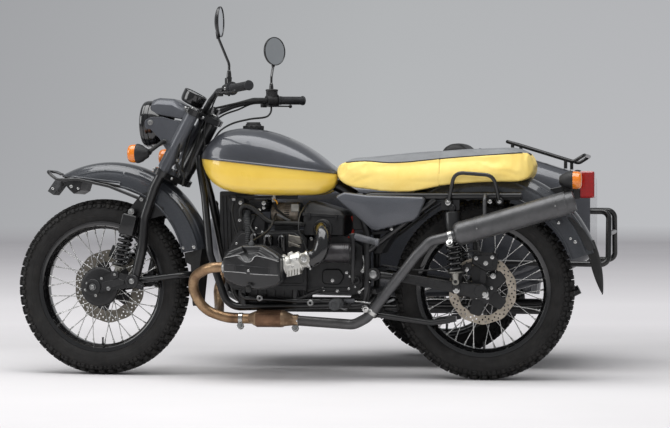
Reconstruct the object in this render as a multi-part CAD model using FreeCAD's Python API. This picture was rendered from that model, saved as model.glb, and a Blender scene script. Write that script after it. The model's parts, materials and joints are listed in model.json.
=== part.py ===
"""Sidecar motorcycle: flat twin, leading-link fork, sidecar on the right.

Sizes are in mm. Geometry is written in the motorcycle's own frame: X forward from the
rear axle, Y left from the wheel plane, Z up from the floor. On export every piece is
turned by the parked steering angle where it belongs to the fork, and then shifted once
so that the origin lies at the bottom centre of the whole machine's box.
"""
import FreeCAD
import Part
import math
import os

Vector = FreeCAD.Vector
AXIS_X = Vector(1, 0, 0)
AXIS_Y = Vector(0, 1, 0)
AXIS_Z = Vector(0, 0, 1)

# ---- Driving dimensions ------------------------------------------------------------
WHEELBASE = 1475
TRACK = 1140                  # from the wheel plane to the sidecar wheel
WHEEL_LEAD = 280              # sidecar wheel ahead of the rear axle
TYRE_RADIUS = 338             # out to the lugs' tips
SEAT_GAP = 0.3                # air left where one piece seats on another
RAKE = 28                     # steering axis, degrees back from upright
STEER_PARK = -3               # parked steering angle, degrees, towards the sidecar

# ---- Wheels ------------------------------------------------------------------------
LUG_COUNT = 36
LUG_HEIGHT = 13
LUG_SHARE = 0.64              # share of a pitch that the lug fills
TREAD_GROOVE = 7              # half width of the groove between the lug rows
LUG_OUTER = 49                # outer edge of a lug row
BEAD_RADIUS = 244
RIM_HALF_WIDTH = 40
RIM_WALL = 4
BEAD_HALF_WIDTH = RIM_HALF_WIDTH - RIM_WALL - 0.5
RIM_INNER_RADIUS = 222
RIM_FLANGE = 9
SPOKE_COUNT = 36
SPOKE_SIDE = 3.2
SPOKE_CROSSING = 46           # degrees between a spoke's two ends
FLANGE_RADIUS = 50
FLANGE_OUTER = 36
FLANGE_INNER = 25
HUB_RADIUS = 34
AXLE_RADIUS = 10
AXLE_CLEARANCE = 0.4
DISC_THICKNESS = 5
DISC_INNER_RADIUS = 92
DISC_LOBES = 5

# ---- Steering head, in fork axes: u forward, v left, w up along the steering axis --
HEAD = Vector(1090, 0, 890)
HEAD_TUBE_RADIUS = 30
HEAD_TUBE_TOP = 84
HEAD_TUBE_BOTTOM = -118
STEM_RADIUS = 15
FORK_OFFSET = 55
FORK_HALF_WIDTH = 100
FORK_TUBE_RADIUS = 19
SHROUD_RADIUS = 29
YOKE_THICKNESS = 22
UPPER_YOKE = 88
LOWER_YOKE = -173

BAR_OFFSET = 22
BAR_RADIUS = 11
BAR_CLAMP = (33, 58)          # inner and outer face of a clamp
GRIP_LENGTH = 122
SWITCH_LENGTH = 44

# ---- Fork bottom -------------------------------------------------------------------
LINK_PIVOT = (WHEELBASE - 155, TYRE_RADIUS + 24)
LINK_BOSS = FORK_TUBE_RADIUS + 1        # half width of the fork's boss at the pivot
LINK_INNER = FORK_HALF_WIDTH + LINK_BOSS + SEAT_GAP
LINK_THICKNESS = 12
FORK_LOOP_RADIUS = 11
FRONT_SHOCK_TOP = (1329, 625)
FRONT_SHOCK_FOOT = (1388, 386)
FRONT_SHOCK_PLANE = 108
SHOCK_RADIUS = 24

# ---- Fenders -----------------------------------------------------------------------
FENDER_WALL = 2.5
FRONT_FENDER_CENTRE = (1448, 410)
FRONT_FENDER_RADIUS = 409
FRONT_FENDER_HALF_WIDTH = 79
SHOCK_BRACKET_OUTER = FRONT_FENDER_HALF_WIDTH + 4
REAR_FENDER_CENTRE = (0, 353)
REAR_FENDER_RADIUS = 440
REAR_FENDER_HALF_WIDTH = 84
SIDE_FENDER_RADIUS = 405

# ---- Frame -------------------------------------------------------------------------
FRAME_TUBE = 14
CRADLE_HALF_WIDTH = 105
SUBFRAME_HALF_WIDTH = 118
SEAT_RAIL_HEIGHT = 688
SWINGARM_PIVOT = (400, 397)
ARM_PLANE = 92
ARM_RADIUS = 15
REAR_SHOCK_TOP = (106, 644)
REAR_SHOCK_FOOT = (92, 372)
REAR_SHOCK_PLANE = SUBFRAME_HALF_WIDTH + 15
SHOCK_PIN_RADIUS = 6
FENDER_STUD_X = -105          # where the rear fender's side wall passes the seat rails
STAND_PIVOT = (402, 246)
STAND_EAR = 98
STAND_PIN_RADIUS = 7
BACKBONE_RADIUS = 22
BACKBONE = [Vector(1075, 0, 872), Vector(950, 0, 800), Vector(560, 0, 730),
            Vector(490, 0, SEAT_RAIL_HEIGHT)]

# ---- Engine ------------------------------------------------------------------------
CYLINDER_X = 808
CRANK_HEIGHT = 428
CASE_FLOOR = 335
CASE_HALF_WIDTH = 122
FIN_COUNT = 9
FIN_PITCH = 15
FIN_THICKNESS = 4.5
BARREL_RADIUS = 52
HEAD_INNER = 272
HEAD_OUTER = 338
COVER_OUTER = 390
FIN_HALF_LENGTH = 78
HEAD_HALF_LENGTH = 97.5
INTAKE_PLANE = 292
INTAKE_HEIGHT = 444
INTAKE_JOINT = 618            # where elbow and throttle body meet

# ---- Exhaust -----------------------------------------------------------------------
PIPE_RADIUS = 19
EXHAUST_PLANE = 150
MUFFLER_RADIUS = 43
MUFFLER_FRONT = Vector(62, 182, 553)
MUFFLER_REAR = Vector(-347, 182, 671)
MUFFLER_RUN = (MUFFLER_REAR - MUFFLER_FRONT).normalize()

# ---- Tank --------------------------------------------------------------------------
TANK_CAP_X = 884
TANK_CAP_SEAT = 938

# ---- Sidecar -----------------------------------------------------------------------
TUB_Y = -690
TUB_WALL = 3
SIDE_FRAME_TUBE = 19
SIDE_FRAME_HEIGHT = 240
SIDE_RAIL_INNER = -455
SIDE_RAIL_OUTER = -925
# Station along X, floor height, top height, half width, corner radius.
TUB_STATIONS = [
    (1235, 470, 590, 75, 55),
    (1120, 365, 665, 200, 90),
    (900, 300, 735, 262, 100),
    (640, 285, 768, 285, 90),
    (450, 284, 759, 289, 82),
    (300, 285, 775, 290, 80),
    (200, 287, 817, 290, 80),
    (110, 290, 857, 290, 80),
    (50, 294, 864, 290, 80),
    (-40, 306, 855, 288, 80),
    (-133, 330, 835, 285, 80),
    (-230, 366, 806, 279, 77),
    (-310, 405, 781, 273, 73),
    (-371, 445, 760, 268, 70),
]
BULKHEAD = 108                # rear face of the wall behind the seat
# Rear edge, front edge, half width and corner of the two openings.
COCKPIT = (BULKHEAD + TUB_WALL, 705, 212, 18)
TRUNK = (-335, 62, 222, 40)
LID_GAP = 5
HINGE_X = 72
HINGE_RISE = 8
HINGE_HALF_SPAN = 150
STRUT_RADIUS = 14
BALL_RADIUS = 16
BUMPER_BAR_RADIUS = 10
SIDE_SHOCK_PLANE = -1034
SIDE_PIVOT_FACE = -1012       # inner face of the arm's pivot boss
SIDE_FENDER_HALF_WIDTH = 78
SIDE_SHOCK_TOP = (300, 640)
SIDE_SHOCK_FOOT = (330, 372)


# ---- Shapes ------------------------------------------------------------------------
def rod(start, end, radius, end_radius=None):
    """Round bar from start to end, or a cone where end_radius differs."""
    run = end - start
    if end_radius is None or abs(end_radius - radius) < 1e-6:
        return Part.makeCylinder(radius, run.Length, start, run)
    return Part.makeCone(radius, end_radius, run.Length, start, run)


def cross_rod(x, z, y_start, y_end, radius):
    """Round bar across the machine at (x, z)."""
    return rod(Vector(x, min(y_start, y_end), z), Vector(x, max(y_start, y_end), z), radius)


def ring(x, z, y_start, y_end, outer, inner):
    """Round collar across the machine."""
    return cross_rod(x, z, y_start, y_end, outer).cut(
        cross_rod(x, z, y_start - 1, y_end + 1, inner))


def box(x_low, x_high, y_low, y_high, z_low, z_high):
    corner = Vector(x_low, y_low, z_low)
    return Part.makeBox(x_high - x_low, y_high - y_low, z_high - z_low, corner)


def side_plate(outline, y_low, y_high):
    """Plate of the (x, z) outline between two planes across the machine."""
    points = [Vector(x, y_low, z) for x, z in outline]
    face = Part.Face(Part.makePolygon(points + points[:1]))
    return face.extrude(Vector(0, y_high - y_low, 0))


def plan_plate(outline, z_low, z_high):
    """Plate of the (x, y) outline between two heights."""
    points = [Vector(x, y, z_low) for x, y in outline]
    face = Part.Face(Part.makePolygon(points + points[:1]))
    return face.extrude(Vector(0, 0, z_high - z_low))


def pipe(points, radius, bend=60):
    """Round tube along straight runs joined by arcs of the bend radius."""
    pieces = []
    start = points[0]
    for before, corner, after in zip(points, points[1:], points[2:]):
        back = (before - corner).normalize()
        ahead = (after - corner).normalize()
        half_angle = back.getAngle(ahead) / 2
        if math.pi / 2 - half_angle < 0.005:
            continue
        room = 0.49 * min((before - corner).Length, (after - corner).Length)
        reach = min(bend / math.tan(half_angle), room)
        arc_start = corner + back * reach
        arc_radius = reach * math.tan(half_angle)
        if arc_radius < 1.1 * radius:
            pieces += [rod(start, corner, radius), Part.makeSphere(radius, corner)]
            start = corner
            continue
        inward = (back + ahead).normalize()
        centre = corner + inward * (arc_radius / math.sin(half_angle))
        disc = Part.Face(Part.Wire(Part.makeCircle(radius, arc_start, back)))
        swing = math.degrees(math.pi - 2 * half_angle)
        pieces.append(rod(start, arc_start, radius))
        pieces.append(disc.revolve(centre, ahead.cross(back), swing))
        start = corner + ahead * reach
    pieces.append(rod(start, points[-1], radius))
    return fuse(pieces)


def fuse(shapes):
    """One solid from several; flush faces are joined where that leaves it sound."""
    body = shapes[0].multiFuse(shapes[1:])
    clean = body.removeSplitter()
    return clean if clean.isValid() else body


def group(shapes):
    """Like pieces that do not touch, kept as one node."""
    return Part.makeCompound(shapes)


def mirrored(shape):
    """The same piece on the other side of the wheel plane."""
    return shape.mirror(Vector(0, 0, 0), AXIS_Y)


def both_sides(shape):
    return group([shape, mirrored(shape)])


def moved(shape, x=0, y=0, z=0):
    copy = shape.copy()
    copy.translate(Vector(x, y, z))
    return copy


def turned(shape, degrees, centre=Vector(0, 0, 0), axis=AXIS_Y):
    copy = shape.copy()
    copy.rotate(centre, axis, degrees)
    return copy


def revolve_y(face, centre_x, centre_z, start, end):
    """Sweep a face that lies ahead of the centre from start to end degrees, upwards."""
    centre = Vector(centre_x, 0, centre_z)
    return turned(face, -start, centre).revolve(centre, Vector(0, -1, 0), end - start)


def beside(start, end, share, reach):
    """Point beside a tube's centre line, out towards the sidecar."""
    run = (end - start).normalize()
    out = Vector(0, -1, 0)
    out = (out - run * out.dot(run)).normalize()
    return start + (end - start) * share + out * reach


def touch(shape, start, end):
    """Point at which a straight line from start to end first meets a shape."""
    inside = Part.makeLine(start, end).common(shape)
    return min((vertex.Point for vertex in inside.Vertexes), key=lambda p: (p - start).Length)


def rest(shape, x, y, reach, z_from, z_to):
    """Height of a flat round end that comes from z_from and seats on a shape."""
    spots = [(0, 0), (reach, 0), (-reach, 0), (0, reach), (0, -reach)]
    heights = [touch(shape, Vector(x + dx, y + dy, z_from), Vector(x + dx, y + dy, z_to)).z
               for dx, dy in spots]
    if z_from > z_to:
        return max(heights) + SEAT_GAP
    return min(heights) - SEAT_GAP


def fork_point(u, v, w):
    """A point given in fork axes."""
    lean = math.radians(RAKE)
    return HEAD + Vector(u * math.cos(lean) - w * math.sin(lean), v,
                         u * math.sin(lean) + w * math.cos(lean))


def in_fork(shape):
    """Set a shape drawn in fork axes into its place."""
    return moved(turned(shape, -RAKE), HEAD.x, HEAD.y, HEAD.z)


# ---- Wheels ------------------------------------------------------------------------
def tyre():
    """Block-tread tyre: the flat faces of one pitch, repeated round the hub and sewn."""
    half_pitch = math.radians(180 / LUG_COUNT)
    half_lug = half_pitch * LUG_SHARE
    carcass = TYRE_RADIUS - LUG_HEIGHT
    flat = math.cos(half_pitch)

    def on_carcass(radius, y, share):
        """Point on the flat chord at a radius, share of the way to the pitch's edge."""
        return Vector(radius * flat, y, radius * math.sin(half_pitch) * share)

    lug_z = TYRE_RADIUS * math.sin(half_lug)
    bead = BEAD_RADIUS / flat
    faces = []
    for side in (1, -1):
        inner, outer = side * TREAD_GROOVE, side * LUG_OUTER
        top = TYRE_RADIUS * math.cos(half_lug)
        share_in = lug_z / (carcass * math.sin(half_pitch))
        share_out = lug_z / ((carcass - 5) * math.sin(half_pitch))
        a = [on_carcass(carcass, inner, k) for k in (-1, -share_in, share_in, 1)]
        b = [on_carcass(carcass - 5, outer, k) for k in (-1, -share_out, share_out, 1)]
        c = [on_carcass(carcass - 37, side * 54, k) for k in (-1, 1)]
        d = [on_carcass(bead + RIM_FLANGE + 2, side * BEAD_HALF_WIDTH, k) for k in (-1, 1)]
        e = [on_carcass(bead, side * BEAD_HALF_WIDTH, k) for k in (-1, 1)]
        high_in = [Vector(top, inner, z) for z in (-lug_z, lug_z)]
        high_out = [Vector(top - 3, side * (LUG_OUTER - 4), z) for z in (-lug_z, lug_z)]
        faces += [[a[0], a[1], b[1], b[0]], [a[2], a[3], b[3], b[2]],
                  [a[1], a[2], high_in[1], high_in[0]],
                  [high_in[0], high_in[1], high_out[1], high_out[0]],
                  [high_out[0], high_out[1], b[2], b[1]],
                  [a[1], high_in[0], high_out[0], b[1]], [a[2], high_in[1], high_out[1], b[2]],
                  b + c[::-1], c + d[::-1], d + e[::-1]]
    y = TREAD_GROOVE
    shares = (-1, -share_in, share_in, 1)
    faces.append([on_carcass(carcass, y, k) for k in shares]
                 + [on_carcass(carcass, -y, -k) for k in shares])
    y = BEAD_HALF_WIDTH
    faces.append([on_carcass(bead, y, -1), on_carcass(bead, y, 1), on_carcass(bead, -y, 1),
                  on_carcass(bead, -y, -1)])
    pitch = [Part.Face(Part.makePolygon(points + points[:1])) for points in faces]
    shell = Part.makeShell([turned(face, i * 360 / LUG_COUNT)
                            for i in range(LUG_COUNT) for face in pitch])
    shell.sewShape()
    body = Part.makeSolid(shell)
    if body.Volume < 0:
        body.reverse()
    return body


def rim():
    """Rim ring with turned-up flanges round the tyre's beads."""
    seat = BEAD_RADIUS - SEAT_GAP
    lip = BEAD_RADIUS + RIM_FLANGE
    half = [(RIM_INNER_RADIUS, 0), (RIM_INNER_RADIUS, 16), (BEAD_RADIUS - 9, 33),
            (BEAD_RADIUS - 7, RIM_HALF_WIDTH), (lip, RIM_HALF_WIDTH),
            (lip, RIM_HALF_WIDTH - RIM_WALL), (seat, RIM_HALF_WIDTH - RIM_WALL)]
    outline = half + [(r, -y) for r, y in reversed(half[1:])]
    points = [Vector(r, y, 0) for r, y in outline]
    face = Part.Face(Part.makePolygon(points + points[:1]))
    return face.revolve(Vector(0, 0, 0), AXIS_Y, 360)


def hub(disc_side, cover_radius):
    """Hub with two spoke flanges, a disc seat on one side and a cover on the other."""
    bore = AXLE_RADIUS + AXLE_CLEARANCE
    pieces = [cross_rod(0, 0, -FLANGE_OUTER, FLANGE_OUTER, HUB_RADIUS)]
    for side in (1, -1):
        pieces.append(cross_rod(0, 0, side * FLANGE_INNER, side * FLANGE_OUTER, FLANGE_RADIUS))
    pieces.append(cross_rod(0, 0, disc_side * 30, disc_side * 60, 46))
    pieces.append(cross_rod(0, 0, -disc_side * FLANGE_OUTER, -disc_side * 64, cover_radius))
    return fuse(pieces).cut(cross_rod(0, 0, -100, 100, bore))


def spokes():
    """Crossed spokes, each a square bar that stops just short of flange and rim."""
    bars = []
    half = SPOKE_SIDE / 2
    # Hub plane, rim plane and sense of crossing of each spoke in a group.
    layout = [(33, 10, 1), (28, 4, -1), (-33, -10, 1), (-28, -4, -1)]
    for i in range(SPOKE_COUNT):
        hub_plane, rim_plane, sense = layout[i % len(layout)]
        angle = math.radians(360 * i / SPOKE_COUNT)
        hub_angle = angle + sense * math.radians(SPOKE_CROSSING)
        at_hub = Vector(math.cos(hub_angle), 0, math.sin(hub_angle))
        at_rim = Vector(math.cos(angle), 0, math.sin(angle))
        foot = at_hub * FLANGE_RADIUS + AXIS_Y * hub_plane
        head = at_rim * RIM_INNER_RADIUS + AXIS_Y * rim_plane
        run = (head - foot).normalize()
        spin = FreeCAD.Rotation(AXIS_Z, run)
        across = [spin.multVec(AXIS_X), spin.multVec(AXIS_Y)]

        def trim(out):
            """Length to leave off an end so that its corners keep the seat's gap."""
            corner = half * sum(abs(axis.dot(out)) for axis in across)
            return (SEAT_GAP + corner) / abs(run.dot(out))

        start = foot + run * trim(at_hub)
        length = (head - start).Length - trim(at_rim)
        bar = Part.makeBox(SPOKE_SIDE, SPOKE_SIDE, length, Vector(-half, -half, 0))
        bar.Placement = FreeCAD.Placement(start, spin).multiply(bar.Placement)
        bars.append(bar)
    return group(bars)


def brake_disc(side, radius):
    """Drilled brake ring on a lobed carrier, bolted to the hub's seat."""
    low = side * (60 + SEAT_GAP)
    high = side * (60 + SEAT_GAP + DISC_THICKNESS)
    band = ring(0, 0, min(low, high), max(low, high), radius, DISC_INNER_RADIUS)
    carrier = [ring(0, 0, min(low, high), max(low, high), 50, AXLE_RADIUS + 12)]
    for i in range(DISC_LOBES):
        arm = box(30, DISC_INNER_RADIUS + 6, min(low, high), max(low, high), -13, 13)
        carrier.append(turned(arm, 360 * i / DISC_LOBES))
    return fuse([band] + carrier)


def wheel(name, x, y, disc_side, disc_radius, cover_radius):
    """The four nodes of one wheel, at its axle."""
    pieces = {
        name + "_tyre": tyre(),
        name + "_rim": group([rim(), hub(disc_side, cover_radius)]),
        name + "_spokes": spokes(),
        name + "_brake_disc": brake_disc(disc_side, disc_radius),
    }
    return {node: moved(shape, x, y, TYRE_RADIUS) for node, shape in pieces.items()}


# ---- Fork and front end ------------------------------------------------------------
def yoke(w_low, thickness):
    """Triple clamp round the stem and both fork tubes, in fork axes."""
    outline = [(-34, -26), (FORK_OFFSET - 30, -FORK_HALF_WIDTH - 8),
               (FORK_OFFSET + 30, -FORK_HALF_WIDTH - 8), (FORK_OFFSET + 22, 0),
               (FORK_OFFSET + 30, FORK_HALF_WIDTH + 8), (FORK_OFFSET - 30, FORK_HALF_WIDTH + 8),
               (-34, 26)]
    pieces = [plan_plate(outline, w_low, w_low + thickness)]
    for side in (1, -1):
        base = Vector(FORK_OFFSET, side * FORK_HALF_WIDTH, w_low)
        pieces.append(rod(base, base + Vector(0, 0, thickness), SHROUD_RADIUS + 2))
    pieces.append(rod(Vector(0, 0, w_low), Vector(0, 0, w_low + thickness), 36))
    return fuse(pieces)


def fork():
    """Yokes, stem, legs, the loop behind the wheel and the shock brackets."""
    stem = rod(Vector(0, 0, LOWER_YOKE), Vector(0, 0, UPPER_YOKE + YOKE_THICKNESS),
               STEM_RADIUS)
    bearing = rod(Vector(0, 0, LOWER_YOKE), Vector(0, 0, HEAD_TUBE_BOTTOM - 1), 28)
    pieces = [in_fork(fuse([yoke(LOWER_YOKE, YOKE_THICKNESS), yoke(UPPER_YOKE, YOKE_THICKNESS),
                            stem, bearing]))]
    pivot_x, pivot_z = LINK_PIVOT
    for side in (1, -1):
        y = side * FORK_HALF_WIDTH
        leg = [fork_point(FORK_OFFSET, y, UPPER_YOKE + YOKE_THICKNESS),
               fork_point(FORK_OFFSET, y, -224), Vector(1284, y, 600), Vector(1290, y, 490),
               Vector(pivot_x, y, pivot_z)]
        pieces.append(pipe(leg, FORK_TUBE_RADIUS, 160))
        pieces.append(cross_rod(pivot_x, pivot_z, y - LINK_BOSS, y + LINK_BOSS, 26))
        bracket = [(1262, 706), (1302, 694), (1346, 640), (1342, 612), (1292, 592),
                   (1212, 612), (1212, 642), (1258, 660)]
        inner = side * (FRONT_FENDER_HALF_WIDTH + SEAT_GAP)
        outer = side * SHOCK_BRACKET_OUTER
        pieces.append(side_plate(bracket, min(inner, outer), max(inner, outer)))
        top_x, top_z = FRONT_SHOCK_TOP
        pieces.append(cross_rod(top_x, top_z, inner, side * (FRONT_SHOCK_PLANE + 12),
                                SHOCK_PIN_RADIUS))
    y = FORK_HALF_WIDTH
    loop = [Vector(pivot_x, y, pivot_z), Vector(1108, y, 390), Vector(1108, -y, 390),
            Vector(pivot_x, -y, pivot_z)]
    pieces.append(pipe(loop, FORK_LOOP_RADIUS, 75))
    return fuse(pieces)


def fork_shrouds():
    """Painted tubes between the yokes with the headlight's ears."""
    low = LOWER_YOKE + YOKE_THICKNESS + SEAT_GAP
    high = UPPER_YOKE - SEAT_GAP
    tube = in_fork(rod(Vector(FORK_OFFSET, FORK_HALF_WIDTH, low),
                       Vector(FORK_OFFSET, FORK_HALF_WIDTH, high), SHROUD_RADIUS))
    bore = in_fork(rod(Vector(FORK_OFFSET, FORK_HALF_WIDTH, low - 1),
                       Vector(FORK_OFFSET, FORK_HALF_WIDTH, high + 1),
                       FORK_TUBE_RADIUS + SEAT_GAP))
    ear = side_plate([(1284, 952), (1284, 980), (1243, 986), (1172, 976), (1120, 950),
                      (1190, 850)], 92, 97)
    return both_sides(tube.fuse(ear).cut(bore).removeSplitter())


def leading_links():
    """Both links with the axle, the shock pins and the brake caliper."""
    pivot = LINK_PIVOT
    axle = (WHEELBASE, TYRE_RADIUS)
    foot = FRONT_SHOCK_FOOT
    outer = LINK_INNER + LINK_THICKNESS
    pieces = []
    for side in (1, -1):
        low, high = sorted((side * LINK_INNER, side * outer))
        bosses = [(pivot, 24), (axle, 25), (foot, 15)]
        pieces += [cross_rod(x, z, low, high, radius) for (x, z), radius in bosses]
        blade = [(pivot[0], pivot[1] - 23), (axle[0], axle[1] - 24), (axle[0], axle[1] + 24),
                 (foot[0] + 14, foot[1] + 6), (foot[0] - 14, foot[1] + 6),
                 (pivot[0], pivot[1] + 23)]
        pieces.append(side_plate(blade, low, high))
        heel = [(pivot[0], pivot[1] + 16), (pivot[0] - 46, pivot[1] - 12),
                (pivot[0] - 40, pivot[1] - 34), (pivot[0], pivot[1] - 23)]
        pieces.append(side_plate(heel, low, high))
        pieces.append(cross_rod(foot[0], foot[1], side * (FRONT_SHOCK_PLANE - 12),
                                side * LINK_INNER, SHOCK_PIN_RADIUS))
    pieces.append(cross_rod(axle[0], axle[1], -outer - 8, outer + 8, AXLE_RADIUS))
    for side in (1, -1):
        pieces.append(cross_rod(axle[0], axle[1], side * 74, side * LINK_INNER, 17))
    pieces.append(brake_caliper(-1, axle, 142, 112, LINK_INNER))
    return fuse(pieces)


def brake_caliper(side, axle, disc_radius, degrees, carrier):
    """Caliper over a disc's edge, with an arm out to what carries it."""
    plane = 60 + SEAT_GAP + DISC_THICKNESS / 2
    angle = math.radians(degrees)
    inner, outer = sorted((side * (plane - 22), side * (plane + 20)))
    body = box(disc_radius - 34, disc_radius + 14, inner, outer, -42, 42)
    slot_low, slot_high = sorted((side * (plane - 6), side * (plane + 6)))
    body = body.cut(box(0, disc_radius + 5, slot_low, slot_high, -50, 50))
    arm_low, arm_high = sorted((side * (plane + 14), side * carrier))
    arm = box(disc_radius - 130, disc_radius - 20, arm_low, arm_high, -11, 11)
    body = turned(body.fuse(arm), -degrees)
    return moved(body, axle[0], 0, axle[1])


def shock(top, foot, plane):
    """Damper with canister, coils and an eye at each end, across the pins."""
    start = Vector(top[0], plane, top[1])
    end = Vector(foot[0], plane, foot[1])
    run = (end - start).normalize()
    length = (end - start).Length
    pieces = [cross_rod(x, z, plane - 8, plane + 8, 12) for x, z in (top, foot)]
    canister = start + run * (length * 0.34)
    pieces.append(rod(start + run * 11, canister, SHOCK_RADIUS))
    pieces.append(rod(canister, end - run * 8, 11))
    coils = 7
    first, last = length * 0.40, length * 0.86
    for i in range(coils):
        place = start + run * (first + (last - first) * i / (coils - 1))
        pieces.append(rod(place - run * 4, place + run * 4, 22))
    pieces.append(rod(start + run * (length * 0.90), start + run * (length * 0.93), 23))
    body = fuse(pieces)
    for x, z in (top, foot):
        body = body.cut(cross_rod(x, z, plane - 20, plane + 20, SHOCK_PIN_RADIUS + SEAT_GAP))
    return body


def front_shocks():
    body = shock(FRONT_SHOCK_TOP, FRONT_SHOCK_FOOT, FRONT_SHOCK_PLANE)
    return both_sides(body)


def fender_section(radius, half_width, skirt):
    """Deep rounded channel, as a face ahead of the centre."""
    shoulder = radius - half_width

    def arch(reach):
        low = Vector(shoulder, -half_width + reach, 0)
        crown = Vector(radius - reach, 0, 0)
        high = Vector(shoulder, half_width - reach, 0)
        return low, crown, high

    outer, inner = arch(0), arch(FENDER_WALL)
    drop = Vector(-skirt, 0, 0)
    edges = [Part.makeLine(outer[0] + drop, outer[0]), Part.Arc(*outer).toShape(),
             Part.makeLine(outer[2], outer[2] + drop),
             Part.makeLine(outer[2] + drop, inner[2] + drop),
             Part.makeLine(inner[2] + drop, inner[2]),
             Part.Arc(inner[2], inner[1], inner[0]).toShape(),
             Part.makeLine(inner[0], inner[0] + drop),
             Part.makeLine(inner[0] + drop, outer[0] + drop)]
    return Part.Face(Part.Wire(edges))


def rib_face(radius, half_width, plane):
    """Raised band on a fender's crown."""
    height = radius - half_width + math.sqrt(half_width ** 2 - (abs(plane) + 4) ** 2)
    points = [Vector(r, y, 0) for r, y in ((height - 1, plane - 4), (height + 5, plane - 4),
                                           (height + 5, plane + 4), (height - 1, plane + 4))]
    return Part.Face(Part.makePolygon(points + points[:1]))


def fender(centre, radius, half_width, skirt, start, end):
    """Fender swept round a centre, with its ribs."""
    x, z = centre
    place = Vector(x, 0, z)
    channel = fender_section(radius, half_width, skirt)
    channel.translate(place)
    pieces = [revolve_y(channel, x, z, start, end)]
    for plane in (-34, 34):
        face = rib_face(radius, half_width, plane)
        face.translate(place)
        pieces.append(revolve_y(face, x, z, start + 2, end - 2))
    return fuse(pieces)


def front_fender():
    """Front fender; its nose is trimmed along a line that rises forwards."""
    body = fender(FRONT_FENDER_CENTRE, FRONT_FENDER_RADIUS, FRONT_FENDER_HALF_WIDTH, 14, 58, 169)
    nose = side_plate([(1383, 735), (1395, 742), (1660, 768), (1800, 700), (1800, 500),
                       (1400, 500)], -120, 120)
    return body.cut(nose)


def front_flap():
    """Rubber flap that carries the fender's tail down behind the wheel."""
    half = 62
    outline = [(1062, 484), (1066, 484), (1086, 268), (1082, 268)]
    back = side_plate(outline, -half, half)
    side = [(1062, 484), (1140, 470), (1128, 436), (1094, 424), (1100, 268), (1082, 268)]
    cheeks = [side_plate(side, half - 3, half), side_plate(side, -half, -half + 3)]
    return fuse([back] + cheeks)


def front_hoop():
    """Guard hoop round the front fender's nose, with its stays."""
    half = FRONT_FENDER_HALF_WIDTH + 14
    left = [Vector(1306, half, 676), Vector(1427, half, 723), Vector(1552, half, 749),
            Vector(1640, half - 8, 748), Vector(1690, half - 24, 782)]
    right = [Vector(p.x, -p.y, p.z) for p in reversed(left)]
    pieces = [pipe(left + right, 6, 40)]
    pieces.append(side_plate([(1654, 772), (1656, 777), (1686, 785), (1686, 779)], -30, 30))
    for side in (1, -1):
        inner, outer = sorted((side * (SHOCK_BRACKET_OUTER + SEAT_GAP), side * half))
        pieces.append(cross_rod(1302, 676, inner, outer, 8))
    return fuse(pieces)


def headlight():
    """Round shell with its ring and side studs."""
    # Place along X and radius down the shell, from the ring to the back.
    profile = [(1308, 0), (1308, 78), (1308, 89), (1278, 89), (1274, 85), (1228, 72), (1200, 40),
               (1200, 0)]
    points = [Vector(x, 0, 964 + r) for x, r in profile]
    face = Part.Face(Part.makePolygon(points + points[:1]))
    shell = face.revolve(Vector(0, 0, 964), AXIS_X, 360)
    bowl = rod(Vector(1290, 0, 964), Vector(1320, 0, 964), 78 + SEAT_GAP)
    pieces = [shell.cut(bowl)]
    for side in (1, -1):
        pieces.append(cross_rod(1262, 967, side * 80, side * (92 - SEAT_GAP), 9))
    return fuse(pieces)


def headlight_lens():
    """Glass in the ring, domed forwards."""
    flat = rod(Vector(1290 + SEAT_GAP, 0, 964), Vector(1308, 0, 964), 78)
    return flat.fuse(rod(Vector(1308, 0, 964), Vector(1324, 0, 964), 78, 40)).removeSplitter()


def headlight_cowl():
    """Painted hood between headlight and gauge."""
    outline = [(1273.5, 1000), (1273.5, 1058), (1190, 1062), (1122, 1020), (1112, 1006), (1146, 975),
               (1205, 980)]
    body = side_plate(outline, -74, 74)
    room = rod(Vector(1100, 0, 964), Vector(1300, 0, 964), 85 + SEAT_GAP)
    top = [edge for edge in body.Edges if abs(abs(edge.CenterOfMass.y) - 74) < 1
           and edge.CenterOfMass.z > 1015]
    return body.makeFillet(26, top).cut(room)


def gauge():
    """Round instrument on top, tilted to the rider."""
    top = UPPER_YOKE + YOKE_THICKNESS + SEAT_GAP
    foot = rod(Vector(88, 0, top), Vector(88, 0, top + 12), 30)
    pod = rod(Vector(88, 0, top + 12), Vector(88, 0, top + 50), 42)
    return in_fork(foot.fuse(pod).removeSplitter())


def bar_line():
    """Centre line of the handlebar's left half, from the clamp outwards."""
    middle = fork_point(BAR_OFFSET, 0, UPPER_YOKE + YOKE_THICKNESS + BAR_RADIUS + 2)
    return [Vector(middle.x, 74, middle.z), Vector(1010, 150, 1040), Vector(950, 255, 1070),
            Vector(791, 414, 1078)]


def handlebar():
    """Swept bar in two clamps on the upper yoke."""
    left = bar_line()
    right = [Vector(p.x, -p.y, p.z) for p in left]
    pieces = [pipe(list(reversed(right)) + left, BAR_RADIUS, 50)]
    low = UPPER_YOKE + YOKE_THICKNESS + SEAT_GAP
    for side in (1, -1):
        inner, outer = sorted((side * BAR_CLAMP[0], side * BAR_CLAMP[1]))
        pieces.append(in_fork(box(BAR_OFFSET - 17, BAR_OFFSET + 17, inner, outer, low, low + 30)))
    return fuse(pieces)


def hand_controls():
    """Grips, switch housings and levers."""
    bend, outer = bar_line()[-2:]
    run = (outer - bend).normalize()
    inner = outer - run * GRIP_LENGTH
    housing = inner - run * SWITCH_LENGTH
    pivot = housing + run * 10 + Vector(24, 16, -16)
    body = fuse([rod(inner, outer + run * 6, 16), rod(housing, inner, 21),
                 rod(housing + run * 10, pivot, 9),
                 pipe([pivot, inner + Vector(44, 44, -18), outer + Vector(52, 0, -22)], 6, 60)])
    return both_sides(body.cut(rod(bend, outer + run, BAR_RADIUS + SEAT_GAP)))


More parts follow.
